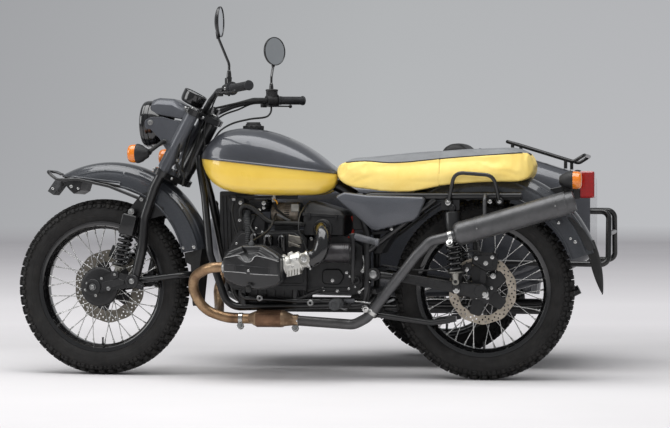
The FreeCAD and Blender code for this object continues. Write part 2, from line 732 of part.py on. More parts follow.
def mirrors():
    """Two round mirrors on bent stems."""
    # Side, height of the head, its offset along X, turn of the face in degrees.
    table = [(1, 1318, 18, 4), (-1, 1270, -16, -32)]
    heads = []
    for side, height, forward, turn in table:
        bend, outer = bar_line()[-2:]
        run = (outer - bend).normalize()
        seat_point = outer - run * (GRIP_LENGTH + SWITCH_LENGTH / 2)
        base = Vector(seat_point.x, side * seat_point.y, seat_point.z + 21 + SEAT_GAP)
        centre = Vector(900 + forward, side * 335, height)
        knee = Vector(base.x, base.y, 1165)
        stem = pipe([base, knee, centre + Vector(10, 0, -52)], 5, 40)
        sleeve = rod(base, base + Vector(0, 0, 44), 9)
        head = rod(centre, centre + Vector(18, 0, 0), 52, 40)
        neck = rod(centre + Vector(8, 0, -60), centre + Vector(8, 0, -40), 7)
        turned_head = turned(head.fuse(neck), turn, centre, AXIS_Z)
        heads.append(fuse([stem, sleeve, turned_head]))
    return group(heads)


def front_indicators():
    """Round lamps on stalks from the headlight's ears."""
    lamp = fuse([rod(Vector(1316, 196, 843), Vector(1280, 196, 843), 30, 36),
                 rod(Vector(1280, 196, 843), Vector(1232, 196, 843), 36, 16),
                 pipe([Vector(1250, 196, 843), Vector(1204, 125, 890),
                       Vector(1204, 97 + SEAT_GAP, 890)], 7, 12)])
    return both_sides(lamp)


# ---- Motorcycle frame --------------------------------------------------------------
def frame_loop(side):
    """Centre line of one side's tube: down, under the engine, up and along the seat."""
    pivot_x = SWINGARM_PIVOT[0]
    cradle, rail = side * CRADLE_HALF_WIDTH, side * SUBFRAME_HALF_WIDTH
    return [Vector(1098, side * 14, 840), Vector(1063, side * 52, 688),
            Vector(1030, cradle, 470), Vector(960, cradle, 268), Vector(436, cradle, 284),
            Vector(pivot_x + 26, rail, 340), Vector(pivot_x + 26, rail, 560),
            Vector(470, rail, SEAT_RAIL_HEIGHT), Vector(-150, rail, SEAT_RAIL_HEIGHT)]


def frame():
    """Head tube, twin cradle, backbone, subframe and the rear brackets."""
    head_tube = in_fork(rod(Vector(0, 0, HEAD_TUBE_BOTTOM), Vector(0, 0, HEAD_TUBE_TOP),
                            HEAD_TUBE_RADIUS))
    head_bore = in_fork(rod(Vector(0, 0, HEAD_TUBE_BOTTOM - 1), Vector(0, 0, HEAD_TUBE_TOP + 1),
                            STEM_RADIUS + SEAT_GAP))
    pieces = [head_tube]
    pivot_x, pivot_z = SWINGARM_PIVOT
    rail = SUBFRAME_HALF_WIDTH
    for side in (1, -1):
        pieces.append(pipe(frame_loop(side), FRAME_TUBE, 70))
        brace = [Vector(pivot_x + 26, side * rail, 480), Vector(170, side * rail, 676)]
        pieces.append(pipe(brace, 11))
        pieces.append(cross_rod(pivot_x, pivot_z, side * (ARM_PLANE + ARM_RADIUS + SEAT_GAP),
                                side * (rail + FRAME_TUBE), 24))
        pieces.append(side_plate([(80, 690), (80, 636), (148, 636), (148, 690)],
                                 side * rail - 3, side * rail + 3))
        for x in (900, 700):
            pieces.append(rod(Vector(x, side * CRADLE_HALF_WIDTH, 272),
                              Vector(x, side * CRADLE_HALF_WIDTH, CASE_FLOOR - SEAT_GAP), 13))
        pieces.append(cross_rod(FENDER_STUD_X, SEAT_RAIL_HEIGHT, side * rail,
                                side * (REAR_FENDER_HALF_WIDTH + SEAT_GAP), 5))
        stand_x, stand_z = STAND_PIVOT
        low, high = sorted((side * STAND_EAR, side * (STAND_EAR + 6)))
        pieces.append(side_plate([(stand_x - 12, stand_z - 10), (stand_x + 12, stand_z - 10),
                                  (450, 280), (424, 296), (stand_x - 12, stand_z + 10)], low, high))
        pieces.append(cross_rod(stand_x, stand_z, side * 62, side * STAND_EAR, STAND_PIN_RADIUS))
        pieces.append(cross_rod(*REAR_SHOCK_TOP, side * rail, side * (REAR_SHOCK_PLANE + 11),
                                SHOCK_PIN_RADIUS))
    pieces.append(pipe(BACKBONE, BACKBONE_RADIUS, 120))
    for x in (486, 380):
        pieces.append(cross_rod(x, SEAT_RAIL_HEIGHT, -rail, rail, 11))
    pieces.append(cross_rod(pivot_x + 26, 330, -rail, rail, 12))
    pieces.append(cross_rod(940, 272, -CRADLE_HALF_WIDTH, CRADLE_HALF_WIDTH, 10))
    return fuse(pieces).cut(head_bore)


def swingarm():
    """Rear arms, axle and brake caliper."""
    pivot_x, pivot_z = SWINGARM_PIVOT
    reach = ARM_PLANE + ARM_RADIUS
    pieces = [cross_rod(pivot_x, pivot_z, 4 - reach, reach - 4, 20)]
    for side in (1, -1):
        y = side * ARM_PLANE
        pieces.append(pipe([Vector(pivot_x - 6, y, pivot_z), Vector(210, y, 372),
                            Vector(-14, y, TYRE_RADIUS)], ARM_RADIUS, 200))
        pieces.append(cross_rod(0, TYRE_RADIUS, side * 76, side * (reach + 1), 26))
        pieces.append(cross_rod(*REAR_SHOCK_FOOT, y, side * (REAR_SHOCK_PLANE + 11),
                                SHOCK_PIN_RADIUS))
        pieces.append(cross_rod(*REAR_SHOCK_FOOT, side * 86, side * 104, 16))
    pieces.append(cross_rod(0, TYRE_RADIUS, -118, 118, AXLE_RADIUS))
    pieces.append(brake_caliper(1, (0, TYRE_RADIUS), 128, 95, 84))
    return fuse(pieces)


def rear_shocks():
    return both_sides(shock(REAR_SHOCK_TOP, REAR_SHOCK_FOOT, REAR_SHOCK_PLANE))


def final_drive():
    """Bevel housing outside the right arm's end."""
    inner = -(ARM_PLANE + ARM_RADIUS + 1 + SEAT_GAP)
    housing = fuse([cross_rod(0, TYRE_RADIUS, inner, inner - 34, 78),
                    rod(Vector(0, inner - 34, TYRE_RADIUS), Vector(0, inner - 52, TYRE_RADIUS),
                        64, 44)])
    return housing.cut(cross_rod(0, TYRE_RADIUS, -119, -100, AXLE_RADIUS + SEAT_GAP))


def centre_stand():
    """Folded stand: two legs with feet, joined by a crosspiece."""
    pivot_x, pivot_z = STAND_PIVOT
    pieces = []
    for side in (1, -1):
        y = side * 84
        pieces.append(cross_rod(pivot_x, pivot_z, side * 66, side * 90, 15))
        pieces.append(pipe([Vector(pivot_x, y, pivot_z), Vector(190, y, 216), Vector(120, y, 226)],
                           11, 60))
        pieces.append(side_plate([(136, 214), (96, 222), (96, 242), (130, 240)], y - 14, y + 14))
    pieces.append(cross_rod(pivot_x - 50, 239, -84, 84, 9))
    bore = cross_rod(pivot_x, pivot_z, -100, 100, STAND_PIN_RADIUS + SEAT_GAP)
    return fuse(pieces).cut(bore)


# ---- Engine ------------------------------------------------------------------------
def engine_block():
    """Crankcase, sump, front cover, gearbox, starter and the generator on top."""
    case = side_plate([(950, 350), (950, 500), (915, 555), (690, 560), (655, 530),
                       (655, CASE_FLOOR), (930, CASE_FLOOR)], -CASE_HALF_WIDTH, CASE_HALF_WIDTH)
    sump = box(670, 925, -82, 82, 274, CASE_FLOOR + 1)
    ribs = [box(680 + i * 34, 690 + i * 34, -88, 88, 278, CASE_FLOOR + 1) for i in range(7)]
    front = rod(Vector(950, 0, CRANK_HEIGHT), Vector(984, 0, CRANK_HEIGHT), 86, 74)
    gearbox = side_plate([(655, 330), (655, 525), (520, 540), (448, 500), (448, 350), (480, 320)],
                         -92, 92)
    generator = rod(Vector(806, 22, 622), Vector(690, 22, 622), 40)
    saddle = box(705, 790, -10, 54, 555, 600)
    starter = rod(Vector(580, 122, 472), Vector(472, 122, 472), 33)
    starter_seat = box(500, 560, 80, 110, 440, 500)
    return fuse([case, sump, front, gearbox, generator, saddle, starter, starter_seat] + ribs)


def cylinders():
    """Finned barrels and heads, one each side."""
    inner = CASE_HALF_WIDTH + SEAT_GAP
    pieces = [cross_rod(CYLINDER_X, CRANK_HEIGHT, inner, HEAD_INNER, BARREL_RADIUS)]
    reach = FIN_HALF_LENGTH
    fin = [(-reach, -52), (-52, -74), (52, -74), (reach, -52), (reach, 52), (52, 74), (-52, 74),
           (-reach, 52)]
    outline = [(CYLINDER_X + x, CRANK_HEIGHT + z) for x, z in fin]
    for i in range(FIN_COUNT):
        y = inner + 8 + FIN_PITCH * i
        pieces.append(side_plate(outline, y, y + FIN_THICKNESS))
    head = [(CYLINDER_X + x * HEAD_HALF_LENGTH / reach, CRANK_HEIGHT + z) for x, z in fin]
    for i in range(4):
        y = HEAD_INNER + FIN_PITCH * i
        pieces.append(side_plate(head, y, y + FIN_THICKNESS))
    core = [(CYLINDER_X + 1.08 * x, CRANK_HEIGHT + 0.86 * z) for x, z in fin]
    pieces.append(side_plate(core, HEAD_INNER - 4, HEAD_OUTER))
    return both_sides(fuse(pieces))


def valve_covers():
    """Six-sided covers that taper outwards, with a nut in the middle."""
    outline = [(-106, 10), (-84, 66), (-40, 80), (40, 80), (84, 66), (106, 10), (88, -58),
               (46, -80), (-46, -80), (-88, -58)]

    def section(y, scale):
        points = [Vector(CYLINDER_X + scale * x, y, CRANK_HEIGHT + scale * z) for x, z in outline]
        return Part.makePolygon(points + points[:1])

    inner = HEAD_OUTER + SEAT_GAP
    body = Part.makeLoft([section(inner, 1), section(inner + 20, 0.97)], True, True)
    crown = Part.makeLoft([section(inner + 20, 0.97), section(COVER_OUTER - 6, 0.70)], True, True)
    ribs = [box(CYLINDER_X - 84, CYLINDER_X + 84, inner + 30, COVER_OUTER,
                CRANK_HEIGHT + z - 4, CRANK_HEIGHT + z + 4) for z in (-46, -23, 0, 23, 46)]
    nut = cross_rod(CYLINDER_X, CRANK_HEIGHT, COVER_OUTER - 10, COVER_OUTER + 4, 14)
    return both_sides(fuse([body, crown, nut] + ribs))


def airbox():
    """Filter box over the gearbox with an intake elbow to each side."""
    low = 540 + SEAT_GAP
    pieces = [side_plate([(640, low), (668, 572), (668, 650), (650, 668), (512, 668),
                          (496, 640), (496, low)], -112, 112)]
    for side in (1, -1):
        elbow = [Vector(INTAKE_JOINT, side * INTAKE_PLANE, INTAKE_HEIGHT),
                 Vector(580, side * INTAKE_PLANE, INTAKE_HEIGHT),
                 Vector(580, side * 230, 592), Vector(580, side * 100, 600)]
        pieces.append(pipe(elbow, 26, 45))
    return fuse(pieces)


def throttle_bodies():
    """Throttle barrels between the elbows and the heads."""
    head_face = CYLINDER_X - HEAD_HALF_LENGTH - SEAT_GAP

    def barrel(x_low, x_high, radius):
        return rod(Vector(x_low, INTAKE_PLANE, INTAKE_HEIGHT),
                   Vector(x_high, INTAKE_PLANE, INTAKE_HEIGHT), radius)

    body = fuse([barrel(INTAKE_JOINT + SEAT_GAP, head_face, 30), barrel(636, 668, 40),
                 barrel(head_face - 10, head_face, 36)])
    return both_sides(body)


# ---- Exhaust -----------------------------------------------------------------------
def exhaust_headers():
    """Both headers and the collector box."""
    port = CYLINDER_X + HEAD_HALF_LENGTH + SEAT_GAP
    left = [Vector(port, 300, 426), Vector(985, 300, 426), Vector(1062, 232, 388),
            Vector(1076, 184, 330), Vector(1036, 160, 258), Vector(950, 152, 230),
            Vector(838, 150, 228)]
    right = [Vector(port, -300, 426), Vector(985, -300, 426), Vector(1056, -232, 388),
             Vector(1062, -170, 320), Vector(1040, -100, 250), Vector(1010, 60, 232),
             Vector(930, 112, 228), Vector(838, 118, 226)]
    collector = side_plate([(842, 212), (842, 240), (822, 250), (730, 250), (708, 238), (708, 210),
                            (730, 198), (822, 198)], 96, 204)
    return fuse([pipe(left, PIPE_RADIUS, 40), pipe(right, PIPE_RADIUS, 40), collector,
                 rod(Vector(712, EXHAUST_PLANE, 225), Vector(680, EXHAUST_PLANE, 223), 22)])


def exhaust_pipe():
    """Pipe from the collector under the engine and up to the muffler."""
    route = [Vector(680 - SEAT_GAP, EXHAUST_PLANE, 223), Vector(470, EXHAUST_PLANE, 209.9),
             Vector(420, 156, 236), Vector(235, 172, 468), Vector(180, 180, 522),
             MUFFLER_FRONT - MUFFLER_RUN * 50, MUFFLER_FRONT - MUFFLER_RUN * 14]
    return pipe(route, PIPE_RADIUS, 60)


def muffler():
    """Silencer with coned ends."""
    run = MUFFLER_RUN
    start = MUFFLER_FRONT - run * (14 - SEAT_GAP)
    pieces = [rod(start, MUFFLER_FRONT, 23), rod(MUFFLER_FRONT, MUFFLER_FRONT + run * 26, 23, 42),
              rod(MUFFLER_FRONT + run * 26, MUFFLER_REAR - run * 34, MUFFLER_RADIUS),
              rod(MUFFLER_REAR - run * 34, MUFFLER_REAR, MUFFLER_RADIUS - 3, 36)]
    outlet = rod(MUFFLER_REAR - run * 40, MUFFLER_REAR + run, 16)
    hanger_x = -20
    axis_point = MUFFLER_FRONT + run * ((MUFFLER_FRONT.x - hanger_x) / -run.x)
    rail_side = SUBFRAME_HALF_WIDTH + FRAME_TUBE + SEAT_GAP
    hanger = pipe([axis_point, Vector(hanger_x, axis_point.y, SEAT_RAIL_HEIGHT - 14),
                   Vector(hanger_x, axis_point.y - 14, SEAT_RAIL_HEIGHT),
                   Vector(hanger_x, rail_side, SEAT_RAIL_HEIGHT)], 7, 10)
    return fuse(pieces + [hanger]).cut(outlet)


# ---- Tank, seat and panels ---------------------------------------------------------
def fuel_tank():
    """Teardrop tank lofted along X, with its seam flange, tunnel and filler."""
    # Station, underside, seam height, top, half width at the seam, half width below.
    table = [(1066, 800, 832, 858, 62, 56), (1030, 752, 829, 908, 108, 100),
             (960, 706, 820, 941, 150, 138), (830, 697, 799, 938, 160, 146),
             (690, 695, 786, 880, 142, 130), (600, 700, 777, 822, 106, 96),
             (560, 716, 772, 784, 70, 62)]

    def section(x, low, seam, top, wide, narrow):
        left = [Vector(x, narrow, low), Vector(x, wide, seam)]
        right = [Vector(x, -wide, seam), Vector(x, -narrow, low)]
        bulge = Vector(x, wide * 1.01, (low + seam) / 2)
        shoulder = Vector(x, wide * 0.74, seam + (top - seam) * 0.76)
        edges = [Part.makeLine(right[1], left[0]),
                 Part.Arc(left[0], bulge, left[1]).toShape(),
                 Part.Arc(left[1], shoulder, Vector(x, 0, top)).toShape(),
                 Part.Arc(Vector(x, 0, top), Vector(x, -shoulder.y, shoulder.z),
                          right[0]).toShape(),
                 Part.Arc(right[0], Vector(x, -bulge.y, bulge.z), right[1]).toShape()]
        return Part.Wire(edges)

    body = Part.makeLoft([section(*row) for row in table], True, False)
    reach = BACKBONE_RADIUS + SEAT_GAP
    roof = pipe(BACKBONE, reach, 120)
    slot = side_plate([(1120, 690), (1120, 898)] + [(p.x, p.z) for p in BACKBONE] + [(480, 680)],
                      -reach, reach)
    head_room = in_fork(rod(Vector(0, 0, -200), Vector(0, 0, 100), HEAD_TUBE_RADIUS + 2))
    return body.cut(roof).cut(slot).cut(head_room).cut(filler(TANK_CAP_SEAT, 39))


def filler(height, radius):
    """Upright cylinder over the filler, from a height."""
    return rod(Vector(TANK_CAP_X, 0, height), Vector(TANK_CAP_X, 0, height + 60), radius)


def fuel_cap():
    """Round filler cap with a grip rim."""
    base = TANK_CAP_SEAT + SEAT_GAP
    return fuse([rod(Vector(TANK_CAP_X, 0, base), Vector(TANK_CAP_X, 0, 962), 38),
                 rod(Vector(TANK_CAP_X, 0, 962), Vector(TANK_CAP_X, 0, 970), 30)])


def backbone_top(x):
    """Height that just clears the backbone's rear run."""
    front, end = BACKBONE[-2:]
    slope = (front.z - end.z) / (front.x - end.x)
    return end.z + (x - end.x) * slope + (BACKBONE_RADIUS + SEAT_GAP) * math.hypot(1, slope)


def seat():
    """Long two-up seat, crowned along its edges, arched over the rear fender."""
    side = [(548, 812), (477, 823), (352, 829), (213, 840), (8, 849), (-128, 854), (-180, 850),
            (-199, 811), (-186, 760), (-160, 743), (-58, 741), (152, 728), (352, 706), (491, backbone_top(491)),
            (514, 737), (538, 772)]
    plan = [(556, -100), (556, 100), (430, 132), (300, 148), (-120, 150), (-170, 132), (-204, 90),
            (-204, -90), (-170, -132), (-120, -150), (300, -148), (430, -132)]
    body = side_plate(side, -160, 160).common(plan_plate(plan, 690, 870))
    channel = Part.makeCylinder(REAR_FENDER_RADIUS + 8, 2 * REAR_FENDER_HALF_WIDTH + 12,
                                Vector(REAR_FENDER_CENTRE[0], -REAR_FENDER_HALF_WIDTH - 6,
                                       REAR_FENDER_CENTRE[1]), AXIS_Y)
    return body.cut(channel)


def side_covers():
    """Tool-box covers below the seat."""
    outline = [(538, 680), (536, 690), (508, 704), (421, 692), (213, 684), (200, 672), (234, 596),
               (387, 558)]
    body = side_plate(outline, SUBFRAME_HALF_WIDTH + FRAME_TUBE + SEAT_GAP, 152)
    edges = [edge for edge in body.Edges if abs(edge.CenterOfMass.y - 152) < 0.1]
    return both_sides(body.makeChamfer(8, edges))


def rear_fender():
    x, z = REAR_FENDER_CENTRE
    return fender((x, z), REAR_FENDER_RADIUS, REAR_FENDER_HALF_WIDTH, 10, 52, 184)


def tail_lamp():
    """Red lamp on a bracket from the fender."""
    lens = box(-413, -353, -52, 52, 680, 781)
    base = box(-353, -338, -56, 56, 676, 785)
    bracket = side_plate([(-338, 700), (-338, 735), (-244, 715), (-262, 690)], -26, 26)
    body = fuse([lens, base, bracket])
    x, z = REAR_FENDER_CENTRE
    return body.cut(cross_rod(x, z, -60, 60, REAR_FENDER_RADIUS + SEAT_GAP))


CARRIER_RADIUS = 8
CARRIER = [Vector(-150 - SEAT_GAP, SUBFRAME_HALF_WIDTH, SEAT_RAIL_HEIGHT),
           Vector(-200, SUBFRAME_HALF_WIDTH, SEAT_RAIL_HEIGHT), Vector(-360, 112, 676),
           Vector(-458, 100, 650)]      # centre line of its left side


def rear_indicators():
    """Round lamps on stalks from the carrier's sides."""
    foot = CARRIER[1] + (CARRIER[2] - CARRIER[1]) * 0.75
    run = (CARRIER[2] - CARRIER[1]).normalize()
    out = Vector(0, 36, 67)
    out = (out - run * out.dot(run)).normalize()
    lamp_centre = foot + out * 76
    stalk = rod(foot + out * (CARRIER_RADIUS + SEAT_GAP), lamp_centre, 7)
    lamp = fuse([rod(lamp_centre - AXIS_X * 59, lamp_centre - AXIS_X * 22, 28, 34),
                 rod(lamp_centre - AXIS_X * 22, lamp_centre + AXIS_X * 28, 34, 16), stalk])
    return both_sides(lamp)


def grab_handles():
    """Side grab rails, and the loop behind the lamp."""
    plate, y = SUBFRAME_HALF_WIDTH + 3 + SEAT_GAP, SUBFRAME_HALF_WIDTH + FRAME_TUBE + SEAT_GAP
    rail = pipe([Vector(126, y + 5, 662), Vector(88, y + 44, 752), Vector(50, y + 48, 764),
                 Vector(-60, y + 44, 752), Vector(-74, y + 30, 730), Vector(-72, y + 5, 678)], 7, 24)
    feet = [cross_rod(126, 662, plate, y + 14, 9), cross_rod(-72, 684, y, y + 14, 9)]
    return both_sides(fuse([rail] + feet))


def rear_carrier():
    """Tube loop from the ends of the seat rails round the tail lamp."""
    right = [Vector(p.x, -p.y, p.z) for p in reversed(CARRIER)]
    return pipe(CARRIER + right, CARRIER_RADIUS, 50)


def foot_controls():
    """Rider's pegs and the kick starter."""
    pieces = []
    for side in (1, -1):
        start = side * (CRADLE_HALF_WIDTH + FRAME_TUBE + SEAT_GAP)
        pieces.append(fuse([cross_rod(500, 283, start, side * 200, 9),
                            cross_rod(500, 283, side * 200, side * 285, 17)]))
    kick = fuse([cross_rod(469, 372, 92 + SEAT_GAP, 206, 11),
                 rod(Vector(469, 200, 362), Vector(466, 200, 545), 8),
                 rod(Vector(470, 204, 542), Vector(365, 204, 515), 10)])
    return group(pieces + [kick])


# ---- Sidecar -----------------------------------------------------------------------
def tub_section(x, low, high, half_width, corner, inset):
    """Rounded box section of the sidecar's body, drawn in by inset."""
    wide = half_width - inset
    low, high = low + inset, high - inset
    r = max(corner - inset, 5)
    k = r * (1 - math.sqrt(0.5))
    y_low, y_high = TUB_Y - wide, TUB_Y + wide

    def p(y, z):
        return Vector(x, y, z)

    edges = [Part.makeLine(p(y_low + r, low), p(y_high - r, low)),
             Part.Arc(p(y_high - r, low), p(y_high - k, low + k), p(y_high, low + r)).toShape(),
             Part.makeLine(p(y_high, low + r), p(y_high, high - r)),
             Part.Arc(p(y_high, high - r), p(y_high - k, high - k), p(y_high - r, high)).toShape(),
             Part.makeLine(p(y_high - r, high), p(y_low + r, high)),
             Part.Arc(p(y_low + r, high), p(y_low + k, high - k), p(y_low, high - r)).toShape(),
             Part.makeLine(p(y_low, high - r), p(y_low, low + r)),
             Part.Arc(p(y_low, low + r), p(y_low + k, low + k), p(y_low + r, low)).toShape()]
    return Part.Wire(edges)


def tub_shell():
    """Sheet body of the sidecar, closed all round."""
    outer = Part.makeLoft([tub_section(*row, 0) for row in TUB_STATIONS], True, False)
    inside = [list(row) for row in TUB_STATIONS]
    inside[0][0] -= TUB_WALL
    inside[-1][0] += TUB_WALL
    inner = Part.makeLoft([tub_section(*row, TUB_WALL) for row in inside], True, False)
    return outer, inner


def hatch(limits, grow):
    """Vertical prism over an opening in the body's top."""
    rear, front, half, cut = limits
    rear, front, half = rear - grow, front + grow, half + grow
    corners = [(rear, -half + cut), (rear, half - cut), (rear + cut, half), (front - cut, half),
               (front, half - cut), (front, -half + cut), (front - cut, -half),
               (rear + cut, -half)]
    return plan_plate([(x, TUB_Y + y) for x, y in corners], 600, 1000)


def hinge_pin(y, radius, half_length):
    """Round piece on the lid's hinge axis."""
    return cross_rod(HINGE_X, hinge_height(), y - half_length, y + half_length, radius)


def hinge_height():
    return deck_height(HINGE_X, TUB_Y) + HINGE_RISE


def deck_height(x, y):
    """Height of the body's top skin."""
    return touch(tub_shell()[0], Vector(x, y, 1000), Vector(x, y, 700)).z


def sidecar_tub():
    """Body with its cockpit and trunk openings, bulkhead and the lid's hinge ears."""
    outer, inner = tub_shell()
    shell = outer.cut(inner)
    wall = box(BULKHEAD, BULKHEAD + TUB_WALL, TUB_Y - 300, TUB_Y + 300, 200, 900)
    body = shell.fuse(inner.common(wall))
    body = body.cut(hatch(COCKPIT, 0)).cut(hatch(TRUNK, LID_GAP))
    z = hinge_height()
    ears = []
    for side in (1, -1):
        y = TUB_Y + side * HINGE_HALF_SPAN
        deck = deck_height(HINGE_X + 14, y)
        for near, far in ((-18, -13), (13, 18)):
            ears.append(cross_rod(HINGE_X, z, y + near, y + far, 7))
            ears.append(side_plate([(HINGE_X - 2, z + 6), (HINGE_X + 2, z - 7),
                                    (HINGE_X + 14, deck - 2), (HINGE_X + 30, deck - 4),
                                    (HINGE_X + 6, z + 5)], y + near, y + far))
        ears.append(hinge_pin(y, 3, 15))
    return fuse([body] + ears)


def trunk_lid():
    """Lid cut from the body's own surface, with its hinge straps."""
    outer, inner = tub_shell()
    skin = outer.cut(inner).common(hatch(TRUNK, 0))
    skin = skin.common(box(-500, 200, -1100, -300, 650, 1000))
    z = hinge_height()
    straps = []
    for side in (1, -1):
        y = TUB_Y + side * HINGE_HALF_SPAN
        lid_top = deck_height(TRUNK[1] - 30, y)
        straps.append(cross_rod(HINGE_X, z, y - 11, y + 11, 6.5))
        straps.append(side_plate([(HINGE_X, z + 6), (HINGE_X, z + 2), (TRUNK[1] - 12, lid_top - 1),
                                  (TRUNK[1] - 34, lid_top - 1), (TRUNK[1] - 30, lid_top + 4)],
                                 y - 9, y + 9))
    body = fuse([skin] + straps)
    for side in (1, -1):
        body = body.cut(hinge_pin(TUB_Y + side * HINGE_HALF_SPAN, 3.3, 20))
    return body


def sidecar_seat():
    """Bench and backrest on a pedestal."""
    back_face = COCKPIT[0] + 0.5
    back = side_plate([(back_face, 560), (240, 452), (310, 468), (300, 500), (236, 868),
                       (222, 890), (196, 906), (150, 906), (back_face, 880)],
                      TUB_Y - 185, TUB_Y + 185)
    bench = side_plate([(250, 400), (640, 400), (660, 440), (640, 472), (300, 470), (250, 450)],
                       TUB_Y - 205, TUB_Y + 205)
    room = tub_shell()[1]
    floor = max(touch(room, Vector(x, TUB_Y + y, 200), Vector(x, TUB_Y + y, 400)).z
                for x in (300, 450, 610) for y in (-190, 190))
    pedestal = box(300, 610, TUB_Y - 190, TUB_Y + 190, floor + SEAT_GAP, 400)
    return fuse([back, bench, pedestal])


def sidecar_frame():
    """Perimeter frame, cross tubes, body pads, fender stays and the four struts."""
    z = SIDE_FRAME_HEIGHT
    inner, outer = SIDE_RAIL_INNER, SIDE_RAIL_OUTER
    rail = [Vector(-300, inner, z + 60), Vector(-180, inner, z), Vector(960, inner, z),
            Vector(1110, inner, z + 70), Vector(1110, outer, z + 70), Vector(960, outer, z),
            Vector(-180, outer, z), Vector(-300, outer, z + 60)]
    pieces = [pipe(rail, SIDE_FRAME_TUBE, 90)]
    for x in (860, 480, 120, -180):
        pieces.append(cross_rod(x, z, inner, outer, 16))
    pieces.append(cross_rod(480, z, outer, SIDE_PIVOT_FACE, 22))
    body = tub_shell()[0]
    for x in (860, 120):
        for y in (TUB_Y - 130, TUB_Y + 130):
            pieces.append(rod(Vector(x, y, z), Vector(x, y, rest(body, x, y, 14, 200, 400)), 14))
    pieces += struts() + fender_stays() + shock_tower()
    return fuse(pieces)


def struts():
    """Four bars from the sidecar's frame, each with a ball seated beside a frame tube."""
    z = SIDE_FRAME_HEIGHT
    loop = frame_loop(-1)
    reach = FRAME_TUBE + SEAT_GAP + BALL_RADIUS
    # Start on the sidecar's frame; run of the motorcycle's loop and the share along it.
    table = [((900, SIDE_RAIL_INNER, z), 3, 0.12), ((600, SIDE_RAIL_INNER, z), 3, 0.70),
             ((1092, SIDE_RAIL_INNER - 20, z + 62), 1, 0.18),
             ((60, SIDE_RAIL_INNER, z), 7, 0.66)]
    pieces = []
    for start, run, share in table:
        ball = beside(loop[run], loop[run + 1], share, reach)
        pieces += [rod(Vector(*start), ball, STRUT_RADIUS), Part.makeSphere(BALL_RADIUS, ball)]
    return pieces


def fender_stays():
    """Two tubes from the outer rail to the side fender's inner edge."""
    edge = -TRACK + SIDE_FENDER_HALF_WIDTH + SEAT_GAP
    shoulder = SIDE_FENDER_RADIUS - SIDE_FENDER_HALF_WIDTH - 5
    pieces = []
    for degrees, foot_x in ((30, 600), (165, -60)):
        angle = math.radians(degrees)
        x = WHEEL_LEAD + shoulder * math.cos(angle)
        z = TYRE_RADIUS + shoulder * math.sin(angle)
        foot = Vector(foot_x, SIDE_RAIL_OUTER, SIDE_FRAME_HEIGHT)
        pieces += [pipe([foot, Vector(foot_x, -1010, SIDE_FRAME_HEIGHT + 8), Vector(x, edge + 14, z)],
                        9, 40), cross_rod(x, z, edge, edge + 22, 4.8)]
    return pieces


def shock_tower():
    """Upright beside the body with the sidecar shock's top pin."""
    x, z = SIDE_SHOCK_TOP
    plane = TUB_Y - 290 - 14
    return [pipe([Vector(x, SIDE_RAIL_OUTER, SIDE_FRAME_HEIGHT),
                  Vector(x, plane, SIDE_FRAME_HEIGHT + 20), Vector(x, plane, z + 12)], 11, 30),
            cross_rod(x, z, plane, SIDE_SHOCK_PLANE - 11, SHOCK_PIN_RADIUS)]


def sidecar_fender():
    """Fender over the sidecar wheel."""
    body = fender((WHEEL_LEAD, TYRE_RADIUS), SIDE_FENDER_RADIUS, SIDE_FENDER_HALF_WIDTH, 10, 15, 190)
    return moved(body, 0, -TRACK, 0)


def sidecar_swingarm():
    """Trailing arm with its pivot boss, stub axle and shock pin."""
    y = SIDE_SHOCK_PLANE - 8
    foot_x, foot_z = SIDE_SHOCK_FOOT
    pieces = [cross_rod(480, SIDE_FRAME_HEIGHT, SIDE_PIVOT_FACE - SEAT_GAP, y - 20, 28),
              pipe([Vector(480, y, SIDE_FRAME_HEIGHT), Vector(400, y, 280),
                    Vector(WHEEL_LEAD, y, TYRE_RADIUS)], 16, 80),
              side_plate([(312, 320), (352, 300), (foot_x + 12, foot_z + 12),
                          (foot_x - 12, foot_z + 12)], y - 10, y - 4),
              cross_rod(foot_x, foot_z, y - 10, SIDE_SHOCK_PLANE + 11, SHOCK_PIN_RADIUS),
              cross_rod(WHEEL_LEAD, TYRE_RADIUS, y - 17, y + 16, 26),
              cross_rod(WHEEL_LEAD, TYRE_RADIUS, -TRACK - 80, y, AXLE_RADIUS)]
    return fuse(pieces)


def sidecar_shock():
    return shock(SIDE_SHOCK_TOP, SIDE_SHOCK_FOOT, SIDE_SHOCK_PLANE)


def luggage_rack():
    """Tube rack over the lid, turned up at the rear."""
    half = 190
    lid = tub_shell()[0]
    loop = [Vector(-40, TUB_Y + half, 903), Vector(-300, TUB_Y + half, 822),
            Vector(-343, TUB_Y + half, 849), Vector(-343, TUB_Y - half, 849),
            Vector(-300, TUB_Y - half, 822), Vector(-40, TUB_Y - half, 903)]
    pieces = [pipe(loop, 7, 26), cross_rod(-40, 903, TUB_Y - half, TUB_Y + half, 7)]
    for x in (-120, -200, -280):
        z = 903 + (x + 40) * 81 / 260
        pieces.append(cross_rod(x, z, TUB_Y - half, TUB_Y + half, 6))
    for x in (-60, -270):
        for y in (TUB_Y - half, TUB_Y + half):
            z = 903 + (x + 40) * 81 / 260
            pieces.append(rod(Vector(x, y, z), Vector(x, y, rest(lid, x, y, 7, 1000, 600)), 7))
    return fuse(pieces)


